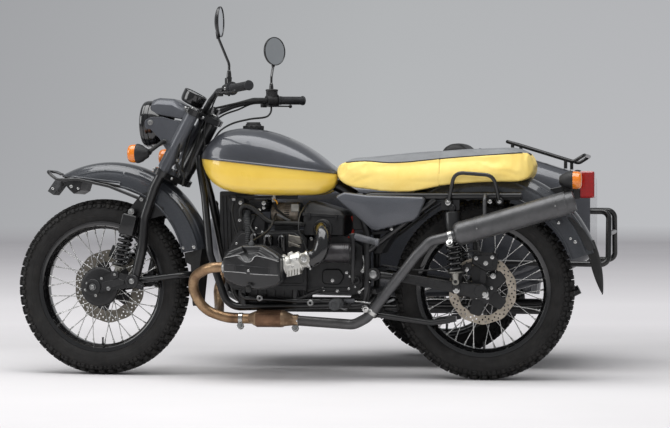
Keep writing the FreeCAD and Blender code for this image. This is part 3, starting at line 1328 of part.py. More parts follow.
def rear_bumper():
    """Side loops with their arms along the body, and the bar behind the trunk."""
    pieces = []
    body = tub_shell()[0]
    rear = TUB_STATIONS[-1][0] - SEAT_GAP
    for side in (1, -1):
        upper, lower = TUB_Y + side * 250, TUB_Y + side * 303
        pieces.append(pipe([Vector(rear, upper, 627), Vector(-443, upper, 627),
                            Vector(-443, lower, 421), Vector(0, lower, 428)], 11, 30))
        wall = touch(body, Vector(-60, lower, 427), Vector(-60, TUB_Y, 427)).y
        pieces.append(cross_rod(-60, 427, lower, wall + side * SEAT_GAP, 9))
    pieces.append(cross_rod(-443, 540, TUB_Y - 272, TUB_Y + 272, BUMPER_BAR_RADIUS))
    return fuse(pieces)


def sidecar_lamps():
    """Marker lamp on a post over the side fender, clear lens ahead and red behind."""
    top = TYRE_RADIUS + SIDE_FENDER_RADIUS
    z = top + 34

    def lamp(x_low, x_high, low_radius, high_radius):
        return rod(Vector(WHEEL_LEAD + x_low, -TRACK, z), Vector(WHEEL_LEAD + x_high, -TRACK, z),
                   low_radius, high_radius)

    post = rod(Vector(WHEEL_LEAD, -TRACK, top + SEAT_GAP), Vector(WHEEL_LEAD, -TRACK, z), 7)
    return fuse([post, lamp(-26, 26, 21, 21), lamp(26, 40, 21, 14), lamp(-40, -26, 14, 21)])


# ---- Assembly ----------------------------------------------------------------------
def build():
    """Every body with its nodes, in the motorcycle's frame."""
    front = {
        "fork": fork(), "fork_shrouds": group([fork_shrouds(), headlight_cowl()]),
        "leading_links": leading_links(),
        "front_shocks": front_shocks(), "front_fender": front_fender(),
        "front_flap": front_flap(), "front_hoop": front_hoop(),
        "headlight": group([headlight(), gauge()]), "headlight_lens": headlight_lens(),
        "handlebar": handlebar(), "hand_controls": hand_controls(),
        "mirrors": mirrors(), "front_indicators": front_indicators(),
    }
    chassis = {
        "frame": frame(), "swingarm": swingarm(), "rear_shocks": rear_shocks(),
        "final_drive": final_drive(), "engine_block": engine_block(), "cylinders": cylinders(),
        "valve_covers": valve_covers(), "airbox": airbox(), "throttle_bodies": throttle_bodies(),
        "exhaust_headers": exhaust_headers(), "exhaust_pipe": exhaust_pipe(),
        "muffler": muffler(), "fuel_tank": fuel_tank(), "fuel_cap": fuel_cap(), "seat": seat(),
        "side_covers": side_covers(), "rear_fender": rear_fender(), "tail_lamp": tail_lamp(),
        "rear_indicators": rear_indicators(),
        "grab_handles": group([grab_handles(), rear_carrier()]),
        "foot_controls": foot_controls(),
        "sidecar_frame": sidecar_frame(), "sidecar_tub": sidecar_tub(),
        "sidecar_seat": sidecar_seat(), "sidecar_fender": sidecar_fender(),
        "sidecar_swingarm": sidecar_swingarm(), "sidecar_shock": sidecar_shock(),
        "rear_bumper": rear_bumper(), "sidecar_lamps": sidecar_lamps(),
    }
    return {
        "chassis": chassis,
        "steering": front,
        "front_wheel": wheel("front", WHEELBASE, 0, -1, 142, 76),
        "rear_wheel": wheel("rear", 0, 0, 1, 128, 56),
        "sidecar_wheel": wheel("sidecar", WHEEL_LEAD, -TRACK, 1, 128, 44),
        "trunk_lid": {"trunk_lid": trunk_lid(), "luggage_rack": luggage_rack()},
        "centre_stand": {"centre_stand": centre_stand()},
    }


def steer_axis():
    return (fork_point(0, 0, 1) - fork_point(0, 0, 0)).normalize()


def export(bodies):
    """Turn the front end, centre the whole machine and write one file a node."""
    for body in ("steering", "front_wheel"):
        bodies[body] = {node: turned(shape, STEER_PARK, HEAD, steer_axis())
                        for node, shape in bodies[body].items()}
    bounds = Part.makeCompound([s for nodes in bodies.values() for s in nodes.values()]).BoundBox
    shift = Vector(-(bounds.XMin + bounds.XMax) / 2, -(bounds.YMin + bounds.YMax) / 2, -bounds.ZMin)
    os.makedirs("parts", exist_ok=True)
    for nodes in bodies.values():
        for node, shape in nodes.items():
            moved(shape, shift.x, shift.y, shift.z).exportStep("parts/" + node + ".step")
    return bounds, shift


def main():
    bodies = build()
    bounds, shift = export(bodies)
    print("SHIFT", shift.x, shift.y, shift.z)
    print("SIZE", bounds.XLength, bounds.YLength, bounds.ZLength)
    print("VALUE HINGE", hinge_height())
    for body, nodes in bodies.items():
        print("BODY", body, " ".join(nodes))


main()
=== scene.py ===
"""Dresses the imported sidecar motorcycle: tyres, wheels, paint, seats, engine detail and lamps.

Shapes are written in millimetres in the motorcycle's own frame: X forward from the rear
axle, Y left from the wheel plane, Z up from the floor. `place` turns what belongs to the
front end by the parked steering angle and carries everything into the scene, in metres.
"""
import sys

import json
import math

import bmesh
import bpy
import numpy as np
from mathutils import Vector
from mathutils.bvhtree import BVHTree
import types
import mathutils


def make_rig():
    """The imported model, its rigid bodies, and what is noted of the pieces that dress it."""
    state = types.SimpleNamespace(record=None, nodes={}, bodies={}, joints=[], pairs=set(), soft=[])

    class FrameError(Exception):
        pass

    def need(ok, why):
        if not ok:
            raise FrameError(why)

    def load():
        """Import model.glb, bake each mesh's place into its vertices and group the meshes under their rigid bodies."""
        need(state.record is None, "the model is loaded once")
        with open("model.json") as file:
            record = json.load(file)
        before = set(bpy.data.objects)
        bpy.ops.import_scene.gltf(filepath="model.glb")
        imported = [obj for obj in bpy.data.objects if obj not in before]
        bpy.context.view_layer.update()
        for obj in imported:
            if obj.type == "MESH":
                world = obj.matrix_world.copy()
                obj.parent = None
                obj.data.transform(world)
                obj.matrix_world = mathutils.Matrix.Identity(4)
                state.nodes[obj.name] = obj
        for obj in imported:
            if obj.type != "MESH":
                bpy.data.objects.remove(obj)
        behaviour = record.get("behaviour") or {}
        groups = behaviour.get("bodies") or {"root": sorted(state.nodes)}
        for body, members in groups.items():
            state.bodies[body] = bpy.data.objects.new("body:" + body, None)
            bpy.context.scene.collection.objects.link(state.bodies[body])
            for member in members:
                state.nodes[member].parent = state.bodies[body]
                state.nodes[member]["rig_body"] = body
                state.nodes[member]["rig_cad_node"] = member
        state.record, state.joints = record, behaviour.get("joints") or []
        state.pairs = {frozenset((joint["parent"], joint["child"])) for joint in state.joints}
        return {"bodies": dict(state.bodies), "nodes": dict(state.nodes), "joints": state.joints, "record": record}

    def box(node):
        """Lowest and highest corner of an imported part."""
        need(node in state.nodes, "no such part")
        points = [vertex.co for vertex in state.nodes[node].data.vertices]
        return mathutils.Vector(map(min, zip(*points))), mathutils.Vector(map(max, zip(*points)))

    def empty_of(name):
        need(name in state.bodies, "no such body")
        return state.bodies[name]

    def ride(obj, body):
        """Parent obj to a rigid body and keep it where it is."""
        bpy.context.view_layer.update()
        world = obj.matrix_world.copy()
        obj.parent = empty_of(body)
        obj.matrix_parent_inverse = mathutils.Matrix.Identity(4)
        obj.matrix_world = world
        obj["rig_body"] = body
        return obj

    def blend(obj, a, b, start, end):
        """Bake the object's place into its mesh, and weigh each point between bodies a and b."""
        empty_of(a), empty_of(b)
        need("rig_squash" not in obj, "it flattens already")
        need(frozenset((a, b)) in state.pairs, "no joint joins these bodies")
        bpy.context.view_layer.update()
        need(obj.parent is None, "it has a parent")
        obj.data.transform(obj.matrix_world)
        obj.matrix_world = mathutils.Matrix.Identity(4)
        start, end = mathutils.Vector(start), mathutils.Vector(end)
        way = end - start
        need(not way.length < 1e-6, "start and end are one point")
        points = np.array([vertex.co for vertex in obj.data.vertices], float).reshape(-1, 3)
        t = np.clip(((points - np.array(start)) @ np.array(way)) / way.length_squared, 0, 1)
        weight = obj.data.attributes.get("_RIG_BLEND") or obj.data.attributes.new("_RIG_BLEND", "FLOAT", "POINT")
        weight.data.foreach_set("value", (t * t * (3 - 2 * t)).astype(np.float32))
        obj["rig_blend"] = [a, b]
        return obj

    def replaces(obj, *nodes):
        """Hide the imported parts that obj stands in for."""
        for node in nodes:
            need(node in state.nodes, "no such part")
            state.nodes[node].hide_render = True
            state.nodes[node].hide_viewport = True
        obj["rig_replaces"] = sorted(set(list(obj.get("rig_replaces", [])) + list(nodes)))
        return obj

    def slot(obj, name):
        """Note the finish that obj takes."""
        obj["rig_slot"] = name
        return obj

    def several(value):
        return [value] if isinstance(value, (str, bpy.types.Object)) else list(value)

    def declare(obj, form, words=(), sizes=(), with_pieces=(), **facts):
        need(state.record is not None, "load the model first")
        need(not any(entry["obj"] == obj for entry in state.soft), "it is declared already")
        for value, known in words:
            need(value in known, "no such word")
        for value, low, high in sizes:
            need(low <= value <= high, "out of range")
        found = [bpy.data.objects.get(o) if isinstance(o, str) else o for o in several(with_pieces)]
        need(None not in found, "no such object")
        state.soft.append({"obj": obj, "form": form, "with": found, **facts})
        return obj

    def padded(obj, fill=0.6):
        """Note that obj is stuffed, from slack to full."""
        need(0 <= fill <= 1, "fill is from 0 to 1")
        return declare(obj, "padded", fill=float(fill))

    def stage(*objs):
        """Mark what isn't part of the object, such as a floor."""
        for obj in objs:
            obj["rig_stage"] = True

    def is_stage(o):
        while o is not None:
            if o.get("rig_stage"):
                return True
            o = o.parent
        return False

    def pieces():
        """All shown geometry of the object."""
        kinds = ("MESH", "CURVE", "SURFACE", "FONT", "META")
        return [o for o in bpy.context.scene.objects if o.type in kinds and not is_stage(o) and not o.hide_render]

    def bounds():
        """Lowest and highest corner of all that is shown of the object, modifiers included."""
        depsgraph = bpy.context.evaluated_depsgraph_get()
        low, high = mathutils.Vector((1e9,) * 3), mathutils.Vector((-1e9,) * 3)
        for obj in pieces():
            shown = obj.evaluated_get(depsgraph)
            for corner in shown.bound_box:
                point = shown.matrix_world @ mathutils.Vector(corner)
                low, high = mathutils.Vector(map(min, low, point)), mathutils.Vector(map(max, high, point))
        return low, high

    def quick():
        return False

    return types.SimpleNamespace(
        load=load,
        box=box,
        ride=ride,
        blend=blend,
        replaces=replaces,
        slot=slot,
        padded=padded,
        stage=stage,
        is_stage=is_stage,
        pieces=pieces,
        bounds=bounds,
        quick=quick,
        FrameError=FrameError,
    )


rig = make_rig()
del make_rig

bl_info = {
    "name": "Sidecar Motorcycle Dressing",
    "version": (1, 0, 0),
    "blender": (4, 5, 0),
    "location": "3D View > Sidebar > Motorcycle",
    "description": "Builds the visible pieces of a sidecar motorcycle over its packed frame",
    "category": "Object",
}

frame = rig.load()
CAD_BOUNDS = [list(corner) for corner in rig.bounds()]

# ---- Where the motorcycle's own frame lies ---------------------------------------------------
WHEEL_RADIUS = 338
WHEELBASE = 1475
TRACK = 1140
LEAD = 280
HEAD = np.array([1090.0, 0.0, 890.0])
RAKE = math.radians(28)
STEER_PARK = math.radians(-3)
STEER_AXIS = np.array([-math.sin(RAKE), 0.0, math.cos(RAKE)])
AXLES = {"front": (WHEELBASE, 0, WHEEL_RADIUS), "rear": (0, 0, WHEEL_RADIUS),
         "sidecar": (LEAD, -TRACK, WHEEL_RADIUS)}
LOW, HIGH = (np.array(corner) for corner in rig.box("rear_tyre"))
ORIGIN = 500 * (LOW + HIGH) - np.array([0, 0, WHEEL_RADIUS])
TURNING = ("steering", "front_wheel")
AHEAD, LEFT, UP, MIDDLE = (1, 0, 0), (0, 1, 0), (0, 0, 1), (0, 0, 0)


def unit(vector):
    vector = np.asarray(vector, float)
    return vector / np.linalg.norm(vector, axis=-1, keepdims=True)


def turned(points, axis, angle, centre=MIDDLE):
    """Rotate points about an axis: p cos a + (k x p) sin a + k (k . p)(1 - cos a)."""
    k = unit(axis)
    p = np.asarray(points, float) - centre
    lengthwise = (p @ k)[..., None] * k
    return (p * math.cos(angle) + np.cross(k, p) * math.sin(angle)
            + lengthwise * (1 - math.cos(angle)) + centre)


def place(points, body):
    """Motorcycle frame in mm to the scene in metres, with the front end turned as parked."""
    points = np.asarray(points, float)
    if body in TURNING:
        points = turned(points, STEER_AXIS, STEER_PARK, HEAD)
    return (points + ORIGIN) / 1000


# ---- Curves ----------------------------------------------------------------------------------
def cubic(t, span, start, start_slope, end, end_slope):
    """Cubic from start to end: (2t^3 - 3t^2 + 1) a + (t^3 - 2t^2 + t) w m and its mirror image."""
    return ((2 * t**3 - 3 * t**2 + 1) * start + (t**3 - 2 * t**2 + t) * span * start_slope
            + (3 * t**2 - 2 * t**3) * end + (t**3 - t**2) * span * end_slope)


def curve(points, count):
    """Smooth line through the points: cubic pieces whose slopes follow the neighbours."""
    points = np.asarray(points, float)
    steps = np.linalg.norm(np.diff(points, axis=0), axis=1) ** 0.5
    knots = np.concatenate([[0], np.cumsum(steps)])
    slopes = np.gradient(points, knots, axis=0)
    at = np.linspace(0, knots[-1], count)
    i = np.clip(np.searchsorted(knots, at, side="right") - 1, 0, len(knots) - 2)
    span = (knots[i + 1] - knots[i])[:, None]
    return cubic((at - knots[i])[:, None] / span, span, points[i], slopes[i], points[i + 1],
                 slopes[i + 1])


def column(table, at, value):
    """One column of a table as a smooth function of its first column."""
    rows = np.array(sorted(table), float)
    x, y = rows[:, 0], rows[:, value]
    slopes = np.gradient(y, x)
    at = np.clip(np.asarray(at, float), x[0], x[-1])
    i = np.clip(np.searchsorted(x, at, side="right") - 1, 0, len(x) - 2)
    span = x[i + 1] - x[i]
    return cubic((at - x[i]) / span, span, y[i], slopes[i], y[i + 1], slopes[i + 1])


def bent(points, bend, steps=7, closed=False):
    """Straight runs whose corners are rounded: (1-t)^2 A + 2t(1-t) C + t^2 B at corner C."""
    points = np.asarray(points, float)
    count = len(points)
    t = np.linspace(0, 1, steps)[:, None]
    line = [] if closed else [points[:1]]
    for i in range(count) if closed else range(1, count - 1):
        before, corner, after = points[i - 1], points[i], points[(i + 1) % count]
        back, ahead = before - corner, after - corner
        lengths = np.linalg.norm(back), np.linalg.norm(ahead)
        back, ahead = back / lengths[0], ahead / lengths[1]
        half = math.acos(float(np.clip(back @ ahead, -1, 1))) / 2
        if math.pi / 2 - half < 0.01:
            line.append(corner[None])
            continue
        reach = min(bend / math.tan(half), 0.49 * min(lengths))
        line.append((1 - t) ** 2 * (corner + back * reach) + 2 * t * (1 - t) * corner
                    + t**2 * (corner + ahead * reach))
    if not closed:
        line.append(points[-1:])
    return np.concatenate(line)


# ---- Surfaces: a shape is its points and its faces -------------------------------------------
def outward(points, faces):
    """Turn a closed shape's faces outwards: the sum of a . (b x c) over them is positive."""
    points = points - points.mean(0)
    total = 0.0
    for size in {len(face) for face in faces}:
        block = np.array([face for face in faces if len(face) == size])
        for k in range(1, size - 1):
            a, b, c = points[block[:, 0]], points[block[:, k]], points[block[:, k + 1]]
            total += float((a * np.cross(b, c)).sum())
    return faces if total >= 0 else [face[::-1] for face in faces]


def surface(points, close_rows=False, close_columns=True, cap=True, turn=True):
    """Skin over a grid of points: each face joins a point to its neighbours in row and column."""
    rows, columns = points.shape[:2]
    i = np.arange(rows if close_rows else rows - 1)[:, None]
    j = np.arange(columns if close_columns else columns - 1)[None, :]
    ahead, beside = (i + 1) % rows * columns, (j + 1) % columns
    grid = np.stack([i * columns + j, i * columns + beside, ahead + beside, ahead + j], -1)
    faces = grid.reshape(-1, 4).tolist()
    if cap and not close_rows:
        last = (rows - 1) * columns
        faces += [list(range(columns))[::-1], list(range(last, last + columns))]
    flat = points.reshape(-1, 3)
    return flat, outward(flat, faces) if turn else faces


def joined(shapes):
    """Several shapes as one."""
    points, faces, start = [], [], 0
    for shape_points, shape_faces in shapes:
        points.append(shape_points)
        faces += [[start + i for i in face] for face in shape_faces]
        start += len(shape_points)
    return np.concatenate(points), faces


def mirrored(shape):
    points, faces = shape
    return points * (1, -1, 1), [face[::-1] for face in faces]


def both(shape):
    return joined([shape, mirrored(shape)])


def spun(shape, axis, angle, centre=MIDDLE):
    return turned(shape[0], axis, angle, centre), shape[1]


def moved(shape, x=0, y=0, z=0):
    return shape[0] + (x, y, z), shape[1]


def tube(path, radius, sides=12, closed=False):
    """Circle carried along a path: centre + radius (n cos a + b sin a)."""
    path = np.asarray(path, float)
    if closed:
        run = unit(np.roll(path, -1, 0) - np.roll(path, 1, 0))
    else:
        run = unit(np.gradient(path, axis=0))
    flat = np.linalg.svd(path - path.mean(0))[2][-1]
    first = unit(np.cross(run, flat))
    second = np.cross(run, first)
    angle = np.linspace(0, 2 * np.pi, sides, endpoint=False)
    radius = np.broadcast_to(np.asarray(radius, float), len(path))[:, None, None]
    ring = (np.cos(angle)[None, :, None] * first[:, None]
            + np.sin(angle)[None, :, None] * second[:, None])
    return surface(path[:, None] + radius * ring, close_rows=closed)


def bead(points, radius, sides=10, count=40):
    """Tube along a smooth line through the points."""
    return tube(curve(points, count), radius, sides)


def lathe(profile, centre, axis, sides=40, closed=False):
    """Profile of (distance along, radius) carried round an axis."""
    along, radius = np.array(profile, float).T
    axis = unit(axis)
    start = np.array(AHEAD if abs(axis[0]) < 0.9 else LEFT, float)
    first = unit(start - axis * (start @ axis))
    second = np.cross(axis, first)
    angle = np.linspace(0, 2 * np.pi, sides, endpoint=False)[None, :, None]
    ring = np.cos(angle) * first + np.sin(angle) * second
    points = (np.asarray(centre, float) + along[:, None, None] * axis
              + radius[:, None, None] * ring)
    return surface(points, close_rows=closed, cap=not closed)


def inset(outline, distance):
    """Closed outline drawn in along the mean of its edges' normals."""
    ahead = np.roll(outline, -1, 0) - outline
    normal = unit(np.stack([-ahead[:, 1], ahead[:, 0]], -1) + 1e-12)
    area = (outline[:, 0] * np.roll(outline[:, 1], -1)
            - np.roll(outline[:, 0], -1) * outline[:, 1]).sum()
    mean = unit(normal + np.roll(normal, 1, 0) + 1e-12)
    return outline + mean * distance * math.copysign(1, area)


def upright(line, plane):
    """A line given along and up, as points on a plane left of the wheels'."""
    return np.column_stack([line[:, 0], np.full(len(line), plane), line[:, 1]])


def plate(outline, low, high, edge=1.0, corner=0.0, steps=4):
    """Outline carried from one plane to another, its rims drawn in by the edge."""
    outline = np.asarray(outline, float)
    if corner:
        outline = bent(outline, corner, steps, closed=True)
    flat = inset(outline, edge)
    rows = [(flat, low), (outline, low + edge), (outline, high - edge), (flat, high)]
    return surface(np.array([upright(*row) for row in rows]))


def block(low, high, edge=2.0, corner=0.0, steps=4):
    """Rounded box between two corners."""
    (x0, y0, z0), (x1, y1, z1) = low, high
    outline = [(x0, z0), (x1, z0), (x1, z1), (x0, z1)]
    return plate(outline, y0, y1, edge, corner, steps)


def bolt(spot, axis, radius=6, height=5, washer=True):
    """Six-sided head with a domed crown on a thin washer."""
    axis = unit(axis)
    shapes = [lathe([(0, radius), (height * 0.8, radius), (height, radius * 0.82),
                     (height, 0)], np.asarray(spot, float) + axis * 1.2, axis, 6)]
    if washer:
        shapes.append(lathe([(0, radius * 1.45), (1.1, radius * 1.45), (1.4, radius * 1.3),
                             (1.4, 0)], spot, axis, 20))
    return joined(shapes)


def cap_screw(spot, axis, radius=5, height=5):
    """Round socket head with its recess."""
    rim, socket, depth = radius - 0.8, radius * 0.5, height * 0.4
    return lathe([(0, radius), (height - 0.8, radius), (height, rim), (height, socket),
                  (depth, socket), (depth, 0)], spot, axis, 14)


# ---- Objects ---------------------------------------------------------------------------------
WELD = 2e-5


def put(name, parts, body, slot, replaces=(), angle=35, span=None):
    """One object from (shape, material) parts, riding on a body or held across the steering."""
    mesh = bpy.data.meshes.new(name)
    shape = joined([part[0] for part in parts])
    mesh.from_pydata(place(shape[0], body).tolist(), [], shape[1])
    names = []
    index = []
    for (_, faces), finish in parts:
        if finish not in names:
            names.append(finish)
            mesh.materials.append(MATERIALS[finish])
        index += [names.index(finish)] * len(faces)
    mesh.polygons.foreach_set("material_index", index)
    mesh.polygons.foreach_set("use_smooth", [True] * len(index))
    mesh.update()
    work = bmesh.new()
    work.from_mesh(mesh)
    bmesh.ops.remove_doubles(work, verts=work.verts, dist=WELD)
    bmesh.ops.dissolve_degenerate(work, edges=work.edges, dist=WELD / 20)
    work.to_mesh(mesh)
    work.free()
    mesh.set_sharp_from_angle(angle=math.radians(angle))
    piece = bpy.data.objects.new(name, mesh)
    bpy.context.scene.collection.objects.link(piece)
    if span:
        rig.blend(piece, body, "chassis", *((np.array(span, float) + ORIGIN) / 1000).tolist())
    else:
        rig.ride(piece, body)
    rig.slot(piece, slot)
    if replaces:
        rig.replaces(piece, *replaces)
    return piece


def read_points(mesh, attribute="co"):
    """Rows of three numbers from a mesh: its vertices' places or normals."""
    flat = np.empty(len(mesh.vertices) * 3)
    mesh.vertices.foreach_get(attribute, flat)
    return flat.reshape(-1, 3)


def flat_curve(data):
    """Points and faces of a filled curve or a text, which is used up."""
    holder = bpy.data.objects.new(data.name, data)
    bpy.context.scene.collection.objects.link(holder)
    bpy.context.view_layer.update()
    mesh = bpy.data.meshes.new_from_object(
        holder.evaluated_get(bpy.context.evaluated_depsgraph_get()))
    points = read_points(mesh)
    faces = [list(face.vertices) for face in mesh.polygons]
    bpy.data.objects.remove(holder)
    bpy.data.meshes.remove(mesh)
    return points, faces




# ---- Finishes --------------------------------------------------------------------------------
MATERIALS = {}


def colour(code):
    """Screen colour written as six hex digits, as linear light; other colours pass through."""
    if not isinstance(code, str):
        return tuple(code)
    value = np.array([int(code[i:i + 2], 16) for i in (0, 2, 4)]) / 255
    linear = np.where(value <= 0.04045, value / 12.92, ((value + 0.055) / 1.055) ** 2.4)
    return tuple(linear.tolist()) + (1.0,)


class Nodes:
    """Short names for the nodes of one material."""

    def __init__(self, name):
        self.material = bpy.data.materials.new(name)
        self.material.use_nodes = True
        self.tree = self.material.node_tree
        self.shader = self.tree.nodes["Principled BSDF"]
        self.spot = self.add("ShaderNodeTexCoord").outputs["Object"]
        MATERIALS[name] = self.material

    def feed(self, socket, source):
        """Gives a socket another node's output, a colour or a number."""
        if hasattr(source, "is_linked"):
            self.tree.links.new(source, socket)
        else:
            socket.default_value = colour(source) if isinstance(source, str) else source

    def add(self, kind, links=(), **settings):
        node = self.tree.nodes.new(kind)
        for key, value in settings.items():
            setattr(node, key, value)
        for socket, source in dict(links).items():
            self.feed(node.inputs[socket], source)
        return node

    def noise(self, scale, detail=4.0, rough=0.55, spot=None, distortion=0.0):
        node = self.add("ShaderNodeTexNoise", {"Vector": spot or self.spot, "Scale": scale,
                                               "Detail": detail, "Roughness": rough,
                                               "Distortion": distortion})
        return node.outputs["Fac"]

    def ramp(self, source, stops):
        node = self.add("ShaderNodeValToRGB", {"Fac": source})
        while len(node.color_ramp.elements) < len(stops):
            node.color_ramp.elements.new(0.5)
        for element, (place_at, value) in zip(node.color_ramp.elements, stops):
            element.position = place_at
            element.color = colour(value)
        return node.outputs["Color"]

    def span(self, source, low, high, to_low, to_high):
        node = self.add("ShaderNodeMapRange", {"Value": source, "From Min": low, "From Max": high,
                                               "To Min": to_low, "To Max": to_high})
        return node.outputs["Result"]

    def mix(self, share, first, second):
        links = {0: share, 6: first, 7: second}
        return self.add("ShaderNodeMix", links, data_type="RGBA").outputs[2]

    def math(self, operation, first, second=0.0):
        return self.add("ShaderNodeMath", {0: first, 1: second}, operation=operation).outputs[0]

    def bump(self, height, distance):
        return self.add("ShaderNodeBump", {"Height": height, "Distance": distance,
                                           "Strength": 1.0}).outputs["Normal"]

    def drift(self, scale, detail, deep, pale):
        """Two near tones in soft patches."""
        return self.ramp(self.noise(scale, detail), [(0.3, deep), (0.7, pale)])

    def gloss(self, scale, detail, low, high):
        """Roughness that wanders between two values."""
        return self.span(self.noise(scale, detail), 0.3, 0.7, low, high)

    def set(self, **values):
        for key, value in values.items():
            self.feed(self.shader.inputs[key.replace("_", " ")], value)


def plain_finish(name, dark, light, patch, rough_low, rough_high, metallic, coat, grain, depth):
    """Two near colours in soft patches, uneven gloss and a fine grain."""
    n = Nodes(name)
    patches = n.noise(patch, 5)
    smudge = n.noise(patch * 0.45, 6, 0.65)
    n.set(Base_Color=n.ramp(patches, [(0.35, dark), (0.65, light)]),
          Roughness=n.span(smudge, 0.3, 0.7, rough_low, rough_high), Metallic=metallic,
          Coat_Weight=coat, Coat_Roughness=0.04, Specular_IOR_Level=0.5,
          Normal=n.bump(n.noise(grain, 3), depth))


# Name: dark, light, patch scale, roughness low and high, metallic, coat, grain scale, depth.
FINISHES = {
    "frame_black": ("09090A", "131314", 26, 0.26, 0.42, 0.0, 0.35, 520, 0.00018),
    "cover_black": ("101011", "19191A", 30, 0.3, 0.42, 0.0, 0.25, 500, 0.00008),
    "throttle_metal": ("C4C3BE", "E4E2DC", 55, 0.34, 0.5, 0.6, 0.0, 420, 0.0003),
    "gloss_black": ("060607", "0C0C0D", 20, 0.12, 0.22, 0.0, 0.8, 700, 0.00004),
    "satin_black": ("0E0E0F", "19191A", 34, 0.38, 0.52, 0.0, 0.0, 600, 0.0002),
    "cast_black": ("0D0D0E", "1B1B1C", 60, 0.34, 0.55, 0.0, 0.15, 380, 0.0005),
    "moulded_black": ("121213", "1B1B1C", 40, 0.48, 0.62, 0.0, 0.0, 900, 0.0003),
    "soft_black": ("101010", "1A1A19", 30, 0.62, 0.78, 0.0, 0.0, 650, 0.0003),
    "grip_rubber": ("17181A", "222326", 30, 0.58, 0.72, 0.0, 0.0, 800, 0.0002),
    "bright_steel": ("B4B4B2", "D6D6D4", 45, 0.16, 0.32, 1.0, 0.0, 900, 0.00005),
    "reflector": ("D2D4D4", "E6E8E8", 30, 0.03, 0.08, 1.0, 0.0, 500, 0.00005),
    "zinc_steel": ("8C8D8D", "B2B2B0", 70, 0.28, 0.42, 1.0, 0.0, 900, 0.0001),
    "cast_aluminium": ("9A9891", "C2BFB7", 55, 0.36, 0.55, 1.0, 0.0, 420, 0.0004),
    "dull_aluminium": ("6E6B66", "8F8B83", 50, 0.42, 0.6, 1.0, 0.0, 420, 0.0004),
    "bare_housing": ("6C6459", "A1968A", 60, 0.4, 0.58, 0.75, 0.0, 420, 0.0004),
    "bright_edge": ("A8A8A8", "C6C6C6", 80, 0.25, 0.4, 1.0, 0.0, 900, 0.0001),
    "worn_edge": ("3A3A3C", "5A5A5C", 80, 0.3, 0.45, 0.6, 0.0, 900, 0.0001),
    "collector_bronze": ("77604B", "A88F74", 30, 0.34, 0.52, 0.8, 0.0, 300, 0.0003),
    "worn_rubber": ("2A2B2C", "404142", 40, 0.6, 0.78, 0.0, 0.0, 500, 0.0006),
    "pedal_rubber": ("3E3F41", "55565A", 40, 0.5, 0.66, 0.0, 0.0, 500, 0.0004),
    "foot_steel": ("86857F", "B0AEA6", 60, 0.3, 0.5, 1.0, 0.0, 500, 0.0003),
    "starter_case": ("2C2A2C", "3A383A", 40, 0.28, 0.4, 0.2, 0.3, 600, 0.0002),
    "mirror_back": ("0D0D0E", "161617", 30, 0.25, 0.4, 0.0, 0.2, 500, 0.0001),
    "switch_red": ("A82A1E", "C23A28", 40, 0.4, 0.5, 0.0, 0.0, 900, 0.0001),
    "dial_face": ("0B0B0C", "111112", 30, 0.45, 0.55, 0.0, 0.0, 900, 0.0001),
    "dial_mark": ("D8D8D2", "E8E8E2", 30, 0.45, 0.55, 0.0, 0.0, 900, 0.0001),
    "carpet_black": ("0C0C0C", "191918", 300, 0.85, 0.95, 0.0, 0.0, 1400, 0.001),
    "hose_black": ("0C0C0C", "161615", 60, 0.4, 0.55, 0.0, 0.0, 900, 0.0002),
    "wire_yellow": ("C98A1C", "E0A02A", 60, 0.4, 0.5, 0.0, 0.0, 900, 0.0001),
    "pale_thread": ("A8904A", "BCA45C", 900, 0.6, 0.7, 0.0, 0.0, 1400, 0.0001),
}


def metallic_paint(name, deep, pale, coat):
    """Lacquered metallic: fine bright flakes in the colour under a clear coat."""
    n = Nodes(name)
    flakes = n.add("ShaderNodeTexVoronoi", {"Vector": n.spot, "Scale": 1500.0}).outputs["Color"]
    sparkle = n.add("ShaderNodeSeparateColor", {"Color": flakes}).outputs[0]
    base = n.drift(7, 3, deep, pale)
    lifted = n.mix(n.span(sparkle, 0.55, 1.0, 0.0, 0.2), base, "85878F")
    dust = n.noise(5, 8, 0.7)
    n.set(Base_Color=lifted, Metallic=0.35, Roughness=n.span(dust, 0.3, 0.75, 0.3, 0.42),
          Coat_Weight=coat, Coat_Roughness=0.035,
          Normal=n.bump(n.noise(240, 2), 0.00004))


def solid_paint(name, deep, pale):
    """Plain enamel: faint drifts of tone, a soft waviness and a clear coat."""
    n = Nodes(name)
    n.set(Base_Color=n.drift(9, 4, deep, pale),
          Roughness=n.gloss(12, 6, 0.26, 0.36), Coat_Weight=1.0,
          Coat_Roughness=0.04, Normal=n.bump(n.noise(160, 2), 0.00005))


def vinyl(name, deep, pale, worn, cell, depth):
    """Grained vinyl: small rounded cells, creases at two scales and a worn bloom."""
    n = Nodes(name)
    cells = n.add("ShaderNodeTexVoronoi", {"Vector": n.spot, "Scale": float(cell)},
                  feature="SMOOTH_F1").outputs["Distance"]
    crease = n.noise(70, 6, 0.62)
    base = n.drift(14, 5, deep, pale)
    tone = n.mix(n.span(crease, 0.55, 0.8, 0.0, 0.35), base, worn)
    height = n.math("ADD", n.math("MULTIPLY", cells, -0.6), n.math("MULTIPLY", crease, 0.8))
    n.set(Base_Color=tone, Roughness=n.gloss(22, 5, 0.42, 0.58),
          Specular_IOR_Level=0.4, Normal=n.bump(height, depth))


def tyre_rubber():
    """Matt rubber, dusty in patches."""
    n = Nodes("tyre_rubber")
    dusty = n.noise(38, 8, 0.7)
    base = n.drift(16, 5, "111010", "1C1B1A")
    n.set(Base_Color=n.mix(n.span(dusty, 0.55, 0.85, 0.0, 0.5), base, "38342E"),
          Roughness=n.gloss(30, 5, 0.62, 0.85), Specular_IOR_Level=0.4,
          Normal=n.bump(n.noise(420, 4), 0.0005))


